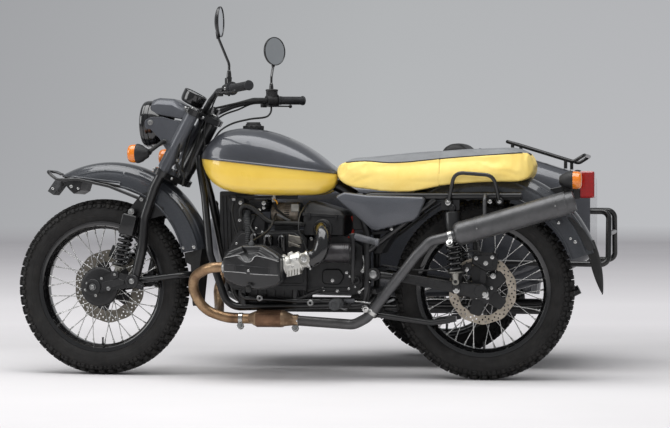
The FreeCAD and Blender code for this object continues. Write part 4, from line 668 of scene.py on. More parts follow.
def heated_pipe():
    """Pipe coloured by heat: straw, copper and brown drifts with a darker scale."""
    n = Nodes("heated_copper")
    base = n.ramp(n.noise(9, 4, 0.5, distortion=0.6),
                  [(0.25, "4E3C30"), (0.42, "86694F"), (0.58, "A98C6C"), (0.75, "6A5242")])
    scale = n.noise(120, 6, 0.7)
    n.set(Base_Color=n.mix(n.span(scale, 0.5, 0.85, 0.0, 0.6), base, "3A2A20"),
          Metallic=0.85, Roughness=n.span(scale, 0.3, 0.8, 0.28, 0.5),
          Normal=n.bump(scale, 0.0002))


def exhaust_paint():
    """Matt heat paint, browned by the engine's end."""
    n = Nodes("exhaust_black")
    x = n.add("ShaderNodeSeparateXYZ", {"Vector": n.spot}).outputs[0]
    near = n.span(x, -0.25, 0.05, 0.0, 0.55)
    base = n.ramp(n.noise(30, 6, 0.6), [(0.3, "535354"), (0.7, "616162")])
    n.set(Base_Color=n.mix(near, base, "4A4440"), Metallic=0.75,
          Roughness=n.gloss(18, 5, 0.34, 0.44),
          Normal=n.bump(n.noise(700, 3), 0.00025))


def brushed_disc(wheel):
    """Ground steel: fine rings round the axle."""
    n = Nodes("disc_steel_" + wheel)
    centre = place([AXLES[wheel]], "front_wheel" if wheel == "front" else "chassis")[0]
    local = n.add("ShaderNodeMapping", {"Vector": n.spot, "Location": tuple(-centre)}).outputs[0]
    radius = n.add("ShaderNodeVectorMath", {0: local}, operation="LENGTH").outputs["Value"]
    rings = n.noise(1.0, 2, spot=n.add("ShaderNodeCombineXYZ", {"X": n.math(
        "MULTIPLY", radius, 1400.0)}).outputs[0])
    pale, deep = ("8A857B", "6E6A62") if wheel == "front" else ("C2B8AA", "A39A8C")
    base = n.drift(45, 5, deep, pale)
    n.set(Base_Color=n.mix(n.span(rings, 0.35, 0.7, 0.0, 0.35), base, "7E776C"),
          Metallic=0.9, Roughness=n.span(rings, 0.3, 0.7, 0.3, 0.46),
          Normal=n.bump(rings, 0.00006))


def lens(name, body, deep):
    """Moulded lamp plastic: clear colour over a ribbed inner face."""
    n = Nodes(name)
    waves = [n.add("ShaderNodeTexWave", {"Vector": n.spot, "Scale": 21.0, "Distortion": 0.4},
                   bands_direction=way).outputs["Fac"] for way in "ZX"]
    facets = n.math("MULTIPLY", *waves)
    glow = n.span(facets, 0.0, 1.0, 0.0, 0.35)
    n.set(Base_Color=n.mix(glow, deep, body), Roughness=0.12, Coat_Weight=1.0,
          Coat_Roughness=0.03, Transmission_Weight=0.08, IOR=1.49,
          Normal=n.bump(facets, 0.00008))


def clear_glass():
    """Lamp glass with upright flutes."""
    n = Nodes("clear_glass")
    flutes = n.add("ShaderNodeTexWave", {"Vector": n.spot, "Scale": 14.0}, bands_direction="Y")
    n.set(Base_Color=n.drift(20, 2, "EEF1F1", "FFFFFF"),
          Roughness=0.02, Transmission_Weight=1.0, IOR=1.45,
          Normal=n.bump(flutes.outputs["Fac"], 0.0006))


def clear_cover():
    """Flat instrument glass."""
    n = Nodes("clear_cover")
    n.set(Base_Color=n.drift(20, 2, "F2F4F4", "FFFFFF"),
          Roughness=0.02, Transmission_Weight=1.0, IOR=1.3)


def mirror_glass():
    """Silvered glass with faint smears."""
    n = Nodes("mirror_glass")
    n.set(Base_Color=n.drift(8, 3, "C9CDD0", "DADDDF"),
          Metallic=1.0, Roughness=n.span(n.noise(30, 5), 0.4, 0.8, 0.01, 0.06))


def perforated_shield():
    """Perforated shield round the collector: rows of small dimples in bronzed steel, with painted shade in each
    dimple.
    """
    n = Nodes("bronze_shield")
    dots = n.add("ShaderNodeTexVoronoi", {"Vector": n.spot, "Scale": 190.0, "Randomness": 0.0})
    pits = n.span(dots.outputs["Distance"], 0.2, 0.42, 0.0, 1.0)
    base = n.drift(28, 5, "5E4636", "8C6B54")
    # The dark colour in the dimples is painted shade; the same mask also sinks them.
    n.set(Base_Color=n.mix(pits, "2C221C", base), Metallic=0.8,
          Roughness=n.gloss(60, 4, 0.36, 0.55), Normal=n.bump(pits, 0.001))


def make_finishes():
    for name, row in FINISHES.items():
        plain_finish(name, *row)
    paint = bpy.context.scene.motorcycle_paint
    metallic_paint("grey_metallic", paint.grey, paint.grey_light, 1.0)
    # A darker copy of the body's metallic grey: painted shade on the front and rear fenders.
    metallic_paint("fender_grey", "26282C", "303338", 1.0)
    metallic_paint("grey_panel", "47494E", "505257", 0.25)
    solid_paint("yellow_enamel", "E6C048", "EDC954")
    vinyl("yellow_vinyl", "EDCE70", "F3D880", "F6E094", 520, 0.00045)
    vinyl("grey_vinyl", "6E7072", "7C7E80", "8A8C8D", 700, 0.0006)
    vinyl("black_vinyl", "121212", "1D1D1D", "2A2A29", 620, 0.0005)
    tyre_rubber()
    heated_pipe()
    exhaust_paint()
    for wheel in AXLES:
        brushed_disc(wheel)
    lens("amber_lens", "F2962A", "E27A14")
    lens("red_lens", "A81414", "8A0E0E")
    clear_glass()
    clear_cover()
    mirror_glass()
    perforated_shield()


# ---- Wheels ----------------------------------------------------------------------------------
LUG_PITCHES = 54
SPOKES = 36
SPOKE_SWING = math.radians(46)          # between a spoke's foot and its head
RIM_INNER = 222
SPOKE_CIRCLE = 47
HUB_FACE = 60.3                         # where a disc's carrier sits on the hub
DISC_PLANE, DISC_BORE = 62.8, 92.4
HOLE_RADIUS = 3.7
# Across, radius of the tyre's section from its crown to its bead, on one side.
TYRE_SECTION = [(0, 325.5), (16, 325.2), (30, 323.5), (41, 319.5), (49.5, 311), (53, 300),
                (54, 288), (53.2, 279), (50, 268), (45.5, 259), (42, 254.5), (38.5, 251.5)]
# Start and end along the section, share of a pitch where it starts and ends, height, sense.
LUGS = [(-8, 8, 0.04, 0.44, 12.3), (-17, -1.5, 0.54, 0.94, 12.3), (1.5, 17, 0.54, 0.94, 12.3),
        (10.5, 27, 0.04, 0.44, 12), (-27, -10.5, 0.04, 0.44, 12),
        (30, 47, 0.10, 0.60, 11.5), (-47, -30, 0.10, 0.60, 11.5),
        (20, 29, 0.56, 0.92, 11.5), (-29, -20, 0.56, 0.92, 11.5),
        (50, 63, 0.14, 0.56, 7.5), (-63, -50, 0.14, 0.56, 7.5),
        (52, 60, 0.68, 0.98, 6), (-60, -52, 0.68, 0.98, 6)]


def tyre_profile():
    """Section of the casing: (distance from the crown, across, radius, normal)."""
    half = curve(TYRE_SECTION, 46)
    line = np.concatenate([(half[1:] * (-1, 1))[::-1], half])
    along = np.concatenate([[0], np.cumsum(np.linalg.norm(np.diff(line, axis=0), axis=1))])
    along -= along[-1] / 2
    slope = unit(np.gradient(line, axis=0))
    return along, line, np.stack([-slope[:, 1], slope[:, 0]], -1)


def on_tyre(s, angle, height):
    """Point s mm from the crown along the casing, at an angle, a height above it."""
    along, line, normal = tyre_profile()
    y, r = (np.interp(s, along, line[:, k]) + height * np.interp(s, along, normal[:, k])
            for k in (0, 1))
    return np.stack([r * np.cos(angle), y + 0 * angle, r * np.sin(angle)], -1)


LUG_CORNERS = np.array([(0.16, 0), (0.84, 0), (1, 0.16), (1, 0.84), (0.84, 1), (0.16, 1),
                        (0, 0.84), (0, 0.16)]) - 0.5
CASING_INSIDE = np.array([(34.5, 246), (35.5, 262), (44, 290), (30, 312), (0, 316), (-30, 312),
                          (-44, 290), (-35.5, 262), (-34.5, 246)])


def tyre():
    """Casing with its side ribs, and rows of chamfered tread blocks laid on it."""
    along, line, normal = tyre_profile()
    for rib, rise in ((78, 0.9), (84, 0.9), (96, 1.4)):
        for side in (-1, 1):
            line = line + normal * (rise * np.exp(-((along - side * rib) / 1.1) ** 2))[:, None]
    dense = np.linspace(0, len(line) - 1, 130)
    line = np.stack([np.interp(dense, np.arange(len(line)), line[:, k]) for k in (0, 1)], -1)
    across, radius = np.concatenate([line, CASING_INSIDE]).T
    angle = np.linspace(0, 2 * np.pi, 144, endpoint=False)[:, None]
    points = np.stack([radius * np.cos(angle), across + 0 * angle, radius * np.sin(angle)], -1)
    shapes = [surface(points, close_rows=True)]
    pitch = 2 * np.pi / LUG_PITCHES
    start = np.arange(LUG_PITCHES)[:, None, None] * pitch
    for s0, s1, a0, a1, height in LUGS:
        level = np.array([-2.5, height - 1.4, height])[:, None]
        spot = LUG_CORNERS * np.array([1.12, 0.96, 0.84])[:, None, None] + 0.5
        angle = (a0 + spot[..., 1] * (a1 - a0)) * pitch + start
        shapes += [surface(lug) for lug in on_tyre(s0 + spot[..., 0] * (s1 - s0), angle, level)]
    return joined(shapes)


def spoke_ends():
    """Foot at the hub's flange and head at the rim for each crossed spoke."""
    layout = np.array([(33, 10, 1), (28, 4, -1), (-33, -10, 1), (-28, -4, -1)])
    i = np.arange(SPOKES)
    hub_plane, rim_plane, sense = layout[i % 4].T
    angle = 2 * np.pi * i / SPOKES
    swung = angle + sense * SPOKE_SWING
    foot = np.stack([SPOKE_CIRCLE * np.cos(swung), hub_plane, SPOKE_CIRCLE * np.sin(swung)], -1)
    head = np.stack([RIM_INNER * np.cos(angle), rim_plane, RIM_INNER * np.sin(angle)], -1)
    return foot, head


def round_spokes(radius):
    """Thin bars from flange to rim, thicker at the nipple, with a bent head at the flange."""
    shapes = []
    for foot, head in zip(*spoke_ends()):
        run = unit(head - foot)
        length = np.linalg.norm(head - foot)
        side = math.copysign(1, foot[1])
        nipple = [(length - 18, radius), (length - 17.5, 3.1), (length - 6, 3.1),
                  (length - 5, 4.2), (length + 1.5, 4.6), (length + 1.5, 0)]
        shapes += [tube([foot - run * 1 - (0, side * 5, 0), foot + run * 2,
                         foot + run * length * 0.5, head - run * 14], radius, 8),
                   lathe(nipple, foot, run, 8),
                   lathe([(0, 3.6), (1.6, 3.2), (2.4, 0)], foot - (0, side * 6, 0),
                         (0, -side, 0), 8)]
    return joined(shapes)


def rim_ring():
    """Drop-centre rim: flange lips, bead seats and the well, as a closed section."""
    half = [(0, 222.5), (12, 222.5), (18, 223.5), (24, 229), (31, 233.8), (35.5, 235),
            (38.4, 236.2), (40, 239), (40.2, 247), (40.6, 251.5), (39.6, 253.2), (37.2, 253),
            (36, 251), (35.8, 245), (33, 243.4), (26, 240), (20, 232), (0, 230)]
    outline = half + [(-y, r) for y, r in reversed(half[1:-1])]
    return lathe(outline, MIDDLE, LEFT, 128, closed=True)


def hub_body(disc_side, cover):
    """Hub barrel with its flanges, a disc seat, a tyre valve and a round cover."""
    half = [(0, 33), (12, 33.5), (23, 37), (25, 47), (26.5, 50), (34.5, 50), (36, 47), (36, 20)]
    barrel = [(-y, r) for y, r in half[:0:-1]] + half
    seat = [(30, 20), (30, 45), (58.5, 46), (60, 44.5), (60, 14)]
    valve = [(0, 3), (0, 5), (4, 5), (5, 3.4), (22, 3.4), (24, 4), (27, 4), (28, 0)]
    lid = [(34, 20), (36, cover - 6), (40, cover - 1), (44, cover), (55, cover), (60, cover - 3),
           (62.5, cover - 8), (63.4, cover - 16), (63.4, 24), (61.5, 22), (61.5, 12.5)]
    return joined([lathe(barrel, MIDDLE, LEFT, 48),
                   lathe(seat, MIDDLE, (0, disc_side, 0), 48),
                   lathe(valve, (0, 14, -223), UP, 14),
                   lathe(lid, MIDDLE, (0, -disc_side, 0), 64)])


def wheel_bolts(wheel):
    """Rings of bolts on the cover and the disc carrier; the front wheel has the second alone."""
    side, _, cover = WHEEL_TABLE[wheel]
    rings = [(6, cover - 16, 63.4, -side), (5, 34, 65.4, side)]
    shapes = []
    for count, circle, face, way in rings[wheel == "front":]:
        for i in range(count):
            angle = 2 * math.pi * (i + 0.3) / count
            spot = (circle * math.cos(angle), way * face, circle * math.sin(angle))
            shapes.append(bolt(spot, (0, way, 0), 4.4, 4.2))
    return joined(shapes)


def drilled_disc(side, outer):
    """Flat ring with staggered rows of small holes, cut in a filled curve.

    Both rims wave: radius - 1.8 (1 + cos 10 a) outside, and out by as much at the bore.
    """
    data = bpy.data.curves.new("disc_outline", "CURVE")
    data.dimensions = "2D"
    data.fill_mode = "BOTH"
    data.extrude = 0.0021
    data.bevel_depth = 0.0004
    data.bevel_resolution = 0
    rings = [(0, 0, outer - 0.4, 200, -1.8), (0, 0, DISC_BORE, 160, 1.8)]
    for row, (inward, count) in enumerate(((9.5, 30), (18.5, 30), (27.5, 15))):
        for i in range(count):
            angle = 2 * math.pi * (i + 0.5 * row) / count
            reach = outer - inward
            rings.append((reach * math.cos(angle), reach * math.sin(angle), HOLE_RADIUS, 12, 0))
    for x, z, radius, sides, wave in rings:
        around = np.linspace(0, 2 * np.pi, sides, endpoint=False)
        radius = radius + wave * (1 + np.cos(10 * around))
        spline = data.splines.new("POLY")
        spline.points.add(sides - 1)
        dots = np.stack([x + radius * np.cos(around), z + radius * np.sin(around),
                         np.zeros(sides), np.full(sides, 1000.0)], -1) / 1000
        spline.points.foreach_set("co", dots.ravel())
        spline.use_cyclic_u = True
    flat, faces = flat_curve(data)
    flat = flat * 1000
    points = np.stack([flat[:, 0], side * (DISC_PLANE + flat[:, 2]), flat[:, 1]], -1)
    return points, [face[::-1] for face in faces] if side > 0 else faces


def disc_carrier(side):
    """Five rounded lobes round the hub's seat."""
    shapes = [lathe([(0, 14), (0, 52), (5, 52), (5.6, 51), (5.6, 14)], (0, side * HUB_FACE, 0),
                    (0, side, 0), 48)]
    low, high = sorted((side * 60, side * 66.6))
    for i in range(5):
        lobe = plate([(38, -25), (97, -23), (97, 23), (38, 25)], low, high, 1.2, 13, 6)
        shapes.append(spun(lobe, LEFT, 2 * math.pi * i / 5))
    return joined(shapes)


# Side of the disc, the disc's radius and the radius of the hub's cover.
WHEEL_TABLE = {"front": (-1, 142, 76), "rear": (1, 128, 56), "sidecar": (1, 128, 44)}


def put_on_wheel(wheel, name, parts, slot, node, angle=35):
    """Puts parts made round the origin on one of the wheels, for its CAD node."""
    put(wheel + "_" + name, [(moved(shape, *AXLES[wheel]), finish) for shape, finish in parts],
        wheel + "_wheel", slot, [wheel + "_" + node], angle)


class MOTORCYCLE_OT_tyres(bpy.types.Operator):
    """Builds the three block-tread tyres on their casings"""

    bl_idname = "motorcycle.tyres"
    bl_label = "Tyres"

    def execute(self, context):
        casing = tyre()
        for wheel in AXLES:
            put_on_wheel(wheel, "tread_tyre", [(casing, "tyre_rubber")], "tyre_rubber", "tyre",
                         40)
        return {"FINISHED"}


class MOTORCYCLE_OT_rims(bpy.types.Operator):
    """Builds the rims, hubs and their bolts"""

    bl_idname = "motorcycle.rims"
    bl_label = "Rims and hubs"

    def execute(self, context):
        for wheel, (side, _, cover) in WHEEL_TABLE.items():
            parts = [(rim_ring(), "gloss_black"), (hub_body(side, cover), "satin_black"),
                     (wheel_bolts(wheel), "bright_steel")]
            put_on_wheel(wheel, "laced_rim", parts, "rim_black", "rim")
        return {"FINISHED"}


class MOTORCYCLE_OT_spokes(bpy.types.Operator):
    """Builds the crossed spokes with their nipples"""

    bl_idname = "motorcycle.spokes"
    bl_label = "Spokes"

    def execute(self, context):
        laced = round_spokes(context.scene.motorcycle_wheels.spoke * 500)
        for wheel in AXLES:
            put_on_wheel(wheel, "steel_spokes", [(laced, "bright_steel")], "spoke_steel",
                         "spokes", 50)
        return {"FINISHED"}


class MOTORCYCLE_OT_discs(bpy.types.Operator):
    """Builds the drilled brake discs on their lobed carriers"""

    bl_idname = "motorcycle.discs"
    bl_label = "Brake discs"

    def execute(self, context):
        for wheel, (side, outer, _) in WHEEL_TABLE.items():
            parts = [(drilled_disc(side, outer), "disc_steel_" + wheel),
                     (disc_carrier(side), "satin_black")]
            put_on_wheel(wheel, "drilled_disc", parts, "disc_steel", "brake_disc")
        return {"FINISHED"}


# ---- Dampers ---------------------------------------------------------------------------------
def helix(start, end, radius, turns):
    """Coil round the line from start to end: radius (n cos a + b sin a) moving along."""
    start, end = np.asarray(start, float), np.asarray(end, float)
    run = unit(end - start)
    first = unit(np.cross(run, LEFT))
    second = np.cross(run, first)
    t = np.linspace(0, 1, 220)[:, None]
    angle = 2 * np.pi * turns * t
    return start + (end - start) * t + radius * (first * np.cos(angle) + second * np.sin(angle))


def coil(start, end, radius, turns, wire):
    """Round wire along a helix, carried in the helix's own axes."""
    start, end = np.asarray(start, float), np.asarray(end, float)
    path = helix(start, end, radius, turns)
    run = unit(np.gradient(path, axis=0))
    axis = unit(end - start)
    out = path - start - ((path - start) @ axis)[:, None] * axis
    out = unit(out - (out * run).sum(1)[:, None] * run)
    second = np.cross(run, out)
    angle = np.linspace(0, 2 * np.pi, 10, endpoint=False)[None, :, None]
    return surface(path[:, None] + wire * (np.cos(angle) * out[:, None]
                                           + np.sin(angle) * second[:, None]))


SPRING = (24, 6.2, 5.8)                 # radius of the coil, its turns and the wire's radius


def damper(top, foot, plane, kind):
    """Parts of one damper: canister, rod, spring seats, coils and the clevis at its foot."""
    start = np.array([top[0], plane, top[1]], float)
    end = np.array([foot[0], plane, foot[1]], float)
    run = unit(end - start)
    length = np.linalg.norm(end - start)
    eye = [(-9, 7), (-9, 12), (-8, 13), (8, 13), (9, 12), (9, 7)]
    can, foot_at = length * 0.36, length * 0.88
    if kind == "boxed":
        across_run = np.cross(run, LEFT)
        square = bent([(-29, -23), (29, -23), (29, 23), (-29, 23)], 6, 6, closed=True)
        body = surface(np.array([
            start + run * at + square[:, :1] * size * across_run
            + square[:, 1:] * size * np.array([0, 1, 0])
            for at, size in ((12, 0.86), (15, 0.97), (20, 1.0), (can - 3, 1.0), (can, 0.95))]))
    elif kind == "stepped":
        body = lathe([(12, 24), (14, 29), (18, 31), (can - 20, 31), (can - 19, 29.5),
                      (can - 3, 29.5), (can, 26)], start, run, 44)
    else:
        body = lathe([(12, 17), (14, 21), (20, 23), (can - 4, 23), (can - 1, 22), (can, 18)],
                     start, run, 40)
    upper_seat = [(can, 12), (can, 24), (can + 3, 27.5), (can + 8, 27.5), (can + 9, 12)]
    lower_seat = [(foot_at - 6, 12), (foot_at - 6, 26), (foot_at - 4, 29), (foot_at, 29),
                  (foot_at + 2, 20), (foot_at + 2, 10)]
    clevis = [(foot_at + 2, 9), (foot_at + 2, 15), (length - 12, 12), (length - 6, 10)]
    dark = [lathe(eye, start, LEFT, 28, closed=True), body, lathe(upper_seat, start, run, 36)]
    steel = [lathe(eye, end, LEFT, 28, closed=True), lathe(lower_seat, start, run, 36),
             lathe(clevis, start, run, 28)]
    rod = lathe([(can, 6), (foot_at, 6)], start, run, 20)
    spring = coil(start + run * (can + 9), start + run * (foot_at - 6), *SPRING)
    return [(joined(dark), "satin_black" if kind == "slim" else "frame_black"),
            (rod, "satin_black"), (spring, "gloss_black"), (joined(steel), "foot_steel")]


class MOTORCYCLE_OT_dampers(bpy.types.Operator):
    """Builds the spring dampers at the fork, the rear arm and the sidecar's arm"""

    bl_idname = "motorcycle.dampers"
    bl_label = "Dampers"

    def execute(self, context):
        front = damper((1329, 625), (1388, 386), 108, "boxed")
        rear = damper((106, 644), (92, 372), 133, "stepped")
        side = damper((300, 640), (330, 372), -1034, "slim")
        put("front_spring_dampers", [(both(shape), finish) for shape, finish in front],
            "steering", "shock_black", ["front_shocks"])
        put("rear_spring_dampers", [(both(shape), finish) for shape, finish in rear],
            "chassis", "shock_black", ["rear_shocks"])
        put("sidecar_spring_damper", side, "chassis", "shock_black", ["sidecar_shock"])
        return {"FINISHED"}


# ---- Fuel tank -------------------------------------------------------------------------------
# Along, underside, top, half width at the seam, half width below.
TANK = [(546, 768, 778, 52, 46), (552, 742, 785, 66, 58), (566, 716, 797, 78, 70),
        (585, 703, 812, 94, 86), (610, 694, 833, 111, 101), (650, 691, 862, 129, 119),
        (720, 690, 901, 146, 136), (800, 691, 931, 157, 147), (880, 695, 945, 160, 150),
        (950, 706, 944, 154, 144), (1000, 724, 929, 138, 128), (1036, 752, 903, 114, 104),
        (1058, 784, 877, 88, 80), (1072, 812, 855, 60, 54), (1078, 828, 843, 40, 36)]
SEAM = (546, 773.5, 1078, 834)          # the seam's rear end, then its front end
SEAM_LIP = np.array([(1.2, 4.4), (4.2, 3.6), (6.4, 1.6), (6.6, -1), (5, -3.2), (0, -3.4)])
BACKBONE = [(490, 688), (560, 730), (950, 800), (1075, 872)]
CROWN_STEPS, TUNNEL_STEPS = 61, 6
FILLER = np.array([884.0, 0, 940])


def tank_ring(x):
    """Closed section at x: superellipse crown, seam lip, bulging side and a tunnel below."""
    low, top, wide, narrow = (column(TANK, x, k)[:, None] for k in range(1, 5))
    seam = np.interp(x, SEAM[::2], SEAM[1::2])[:, None]
    low, top = np.minimum(low, seam - 4), np.maximum(top, seam + 5)
    a = np.linspace(0, np.pi, CROWN_STEPS)[None]
    power = 2 / 2.45
    crown_y = wide * np.sign(np.cos(a)) * np.abs(np.cos(a)) ** power
    crown_z = seam + 5.5 + np.maximum(top - seam - 5.5, 1) * np.sin(a) ** power
    lip_y = wide + SEAM_LIP[None, :, 0] - 0.6
    lip_z = seam + SEAM_LIP[None, :, 1]
    t = np.linspace(0, 1, 26)[None]
    height = np.maximum(seam - 3.4 - low, 1)
    corner = np.minimum(34, 0.45 * height)
    side_share = 1 - corner / height
    down = np.clip(t / 0.55, 0, 1)
    round_at = np.clip((t - 0.55) / 0.45, 0, 1) * np.pi / 2
    bulge = wide - 1.2 + 2.5 * np.sin(np.pi * down * 0.9) - (wide - narrow) * 0.35 * down
    side_y = bulge - corner * (1 - np.cos(round_at))
    side_z = (seam - 3.4) - height * side_share * down - corner * np.sin(round_at)
    backbone = np.interp(x, *zip(*BACKBONE))[:, None]
    roof = np.clip(backbone + 26, low + 2, np.maximum(low + 2.5, top - 9))
    tunnel_y = np.array([[30.0, 27.0, 26.0, 26.0, 22.0, 12.0]]) * np.minimum(1, narrow / 60)
    tunnel_z = low + (roof - low) * np.array([[0.0, 0.02, 0.06, 0.9, 0.98, 1.0]])
    right_y = np.concatenate([lip_y, side_y, tunnel_y], 1)
    right_z = np.concatenate([lip_z, side_z, tunnel_z], 1)
    y = np.concatenate([crown_y[:, ::-1], right_y, -right_y[:, ::-1]], 1)
    z = np.concatenate([crown_z[:, ::-1], right_z, right_z[:, ::-1]], 1)
    return np.stack([np.broadcast_to(x[:, None], y.shape), y, z], -1)


def tank_parts():
    """Upper shell with its lip in grey, lower shell in yellow, from one ring of columns."""
    share = (1 - np.cos(np.linspace(0, np.pi, 84))) / 2
    points = tank_ring(TANK[0][0] + (TANK[-1][0] - TANK[0][0]) * share)
    flat, faces = surface(points)
    columns = points.shape[1]
    upper = CROWN_STEPS + len(SEAM_LIP) - 1
    shells = ([], [])
    for face in faces:
        below = len(face) == 4 and upper <= face[0] % columns < columns - TUNNEL_STEPS
        shells[below].append(face)
    return [((flat, shells[0]), "grey_metallic"), ((flat, shells[1]), "yellow_enamel")]


class MOTORCYCLE_OT_fuel_tank(bpy.types.Operator):
    """Builds the two-tone tank with its seam lip, the filler cap and the tap below"""

    bl_idname = "motorcycle.fuel_tank"
    bl_label = "Fuel tank"

    def execute(self, context):
        put("teardrop_tank", tank_parts(), "chassis", "grey_paint", ["fuel_tank"], 50)
        cap = [(936, 30), (938, 36), (942, 38.5), (952, 38.5), (955, 37), (956, 33), (957, 30),
               (962, 29), (963.5, 27), (963.5, 12), (961, 10), (961, 0)]
        base = lathe([(z - FILLER[2], r) for z, r in cap], FILLER, UP, 48)
        points, faces = block((30, -3.6, 941), (40.5, 3.6, 955), 1.2)
        grips = [spun((points + FILLER * (1, 1, 0), faces), UP, 2 * math.pi * i / 12, FILLER)
                 for i in range(12)]
        bar = block((858, -5, 959), (910, 5, 969.5), 2)
        put("filler_cap", [(joined([base] + grips + [bar]), "moulded_black")], "chassis",
            "black_plastic", ["fuel_cap"])
        tap = lathe([(0, 11), (4, 11), (4, 7), (16, 7), (16, 10), (34, 10), (36, 8), (36, 0)],
                    (788, 74, 699), (0, 0, -1), 24)
        lever = tube(curve([(788, 84, 676), (782, 96, 674), (774, 100, 668), (770, 101, 658)], 16),
                     2.6, 8)
        hose = tube(curve([(788, 74, 664), (780, 70, 640), (748, 64, 612), (700, 60, 560)], 40),
                    4.2, 10)
        put("fuel_tap", [(tap, "cast_aluminium"), (lever, "wire_yellow"),
                         (hose, "hose_black")], "chassis", "bare_aluminium")
        return {"FINISHED"}


# ---- Fenders ---------------------------------------------------------------------------------
FENDER_RIBS = (0.62, 1.0)               # turn of each rib from the crown
FENDER_LIP = np.array([(1.6, -0.6), (3.2, 0.4), (3.4, 2.0), (2.2, 3.2)])


def fender_skin(centre, radius, half, skirt, start, end, y_mid=0.0, trim=None, rows=90):
    """Channel swept round a centre: crown arc, straight skirts with a rolled rim, two ribs.

    The distance s across the crown gives y = h sin(s/h) and r = R - h + h cos(s/h); past a
    quarter turn the skirt runs straight in. Trim is a line that ends the skirts higher up.
    """
    angle = np.radians(np.linspace(start, end, rows))
    shoulder, quarter = radius - half, half * np.pi / 2
    reach = np.full(rows, float(quarter + skirt))
    if trim is not None:
        (x0, z0), (x1, z1) = trim
        nx, nz = z0 - z1, x1 - x0
        distance = nx * (x0 - centre[0]) + nz * (z0 - centre[1])
        slant = nx * np.cos(angle) + nz * np.sin(angle)
        cut = np.where(slant > 1e-6, distance / np.where(slant > 1e-6, slant, 1), 0)
        past = angle > math.atan2(z0 - centre[1], x0 - centre[0])
        cut = np.clip(np.where(past, 0, cut), shoulder - skirt, radius - 0.4)
        over = np.clip((cut - shoulder) / half, -1, 1)
        reach = np.where(cut > shoulder, half * np.arccos(over), quarter + shoulder - cut)
    s = reach[:, None] * np.linspace(-1, 1, 99)[None]
    turn = np.clip(np.abs(s) / half, 0, np.pi / 2)
    extra = np.clip(np.abs(s) - quarter, 0, None)
    ridge = sum(3.0 * np.exp(-(((turn - rib) * half / 3.4) ** 2)) for rib in FENDER_RIBS)
    y = np.sign(s) * half * np.sin(turn) + np.sign(s) * ridge * np.sin(turn)
    r = shoulder + half * np.cos(turn) - extra + ridge * np.cos(turn)
    left = np.stack([y[:, -1:], r[:, -1:]], -1) + FENDER_LIP
    right = np.stack([y[:, :1], r[:, :1]], -1) + FENDER_LIP[::-1] * (-1, 1)
    line = np.concatenate([right, np.stack([y, r], -1), left], 1)
    return open_skin(np.stack([centre[0] + line[..., 1] * np.cos(angle)[:, None],
                               y_mid + line[..., 0],
                               centre[1] + line[..., 1] * np.sin(angle)[:, None]], -1))


def open_skin(points):
    """Skin over a grid that is open on all its sides."""
    return surface(points, close_columns=False, cap=False, turn=False)


def thick(shape, wall):
    """Closes an open grid by a copy of itself drawn in along its normals."""
    points, faces = shape
    quad = np.array(faces)
    a, b, c = (points[quad[:, k]] for k in (0, 1, 3))
    face_normal = np.cross(b - a, c - a)
    normal = np.zeros_like(points)
    for k in range(4):
        np.add.at(normal, quad[:, k], face_normal)
    normal = unit(normal + 1e-9)
    inner = points - normal * wall
    count = len(points)
    back = (quad[:, ::-1] + count).tolist()
    pairs = np.concatenate([quad[:, [k, (k + 1) % 4]] for k in range(4)])
    _, first, counts = np.unique(np.sort(pairs, 1), axis=0, return_index=True,
                                 return_counts=True)
    edge = pairs[first[counts == 1]]
    rim = np.stack([edge[:, 1], edge[:, 0], edge[:, 0] + count, edge[:, 1] + count], -1).tolist()
    everything = np.concatenate([points, inner])
    return everything, outward(everything, faces + back + rim)


class MOTORCYCLE_OT_fenders(bpy.types.Operator):
    """Builds the three fenders with their ribs, the front flap and the rear tail"""

    bl_idname = "motorcycle.fenders"
    bl_label = "Fenders"

    def execute(self, context):
        # The front and rear fenders take the darker copy of the body grey, which is painted shade.
        front = thick(fender_skin((1448, 410), 409, 79, 14, 60.5, 169, rows=120,
                                  trim=((1383, 735), (1660, 768))), 2.4)
        put("front_ribbed_fender", [(front, "fender_grey")], "steering", "grey_paint",
            ["front_fender"], 50)
        rear = thick(fender_skin((0, 353), 440, 84, 10, 52, 163, rows=110), 2.4)
        put("rear_ribbed_fender", [(rear, "fender_grey"), (rear_tail(), "soft_black"),
                                   (rear_panel(), "satin_black")],
            "chassis", "grey_paint", ["rear_fender"], 50)
        side = thick(fender_skin((LEAD, 338), 405, 78, 10, 15, 190, -TRACK, rows=120), 2.4)
        put("sidecar_ribbed_fender", [(side, "grey_metallic")], "chassis", "grey_paint",
            ["sidecar_fender"], 50)
        put("front_rubber_flap", [(front_flap(), "soft_black")], "steering", "flap_rubber",
            ["front_flap"], 50)
        return {"FINISHED"}


def front_flap():
    """Flap below the fender: a flat back that turns forward into its two cheeks."""
    t = np.linspace(0, 1, 40)[:, None]
    top = 484
    half = 62 - 6 * t
    depth = np.interp(t, [0, 0.18, 0.22, 1], [70, 62, 40, 16])
    across_back = np.linspace(-1, 1, 21)[None]
    back = 1062 + 22 * t
    z = top - 216 * t
    cheek = np.linspace(0.08, 1, 8)[None]
    left = np.stack([back + 3 + depth * cheek, half + 0 * cheek, z - 14 * cheek * (1 - t)], -1)
    right = left[:, ::-1] * (1, -1, 1)
    middle = np.stack([back + 4 * np.sin(np.pi * t) + 3.0 * across_back**2, half * across_back,
                       z + 0 * across_back], -1)
    points = np.concatenate([right, middle, left], 1)
    lower = np.clip((t - 0.93) / 0.07, 0, 1)
    points[..., 1] *= 1 - 0.10 * lower**2
    return thick(open_skin(points), 3.0)


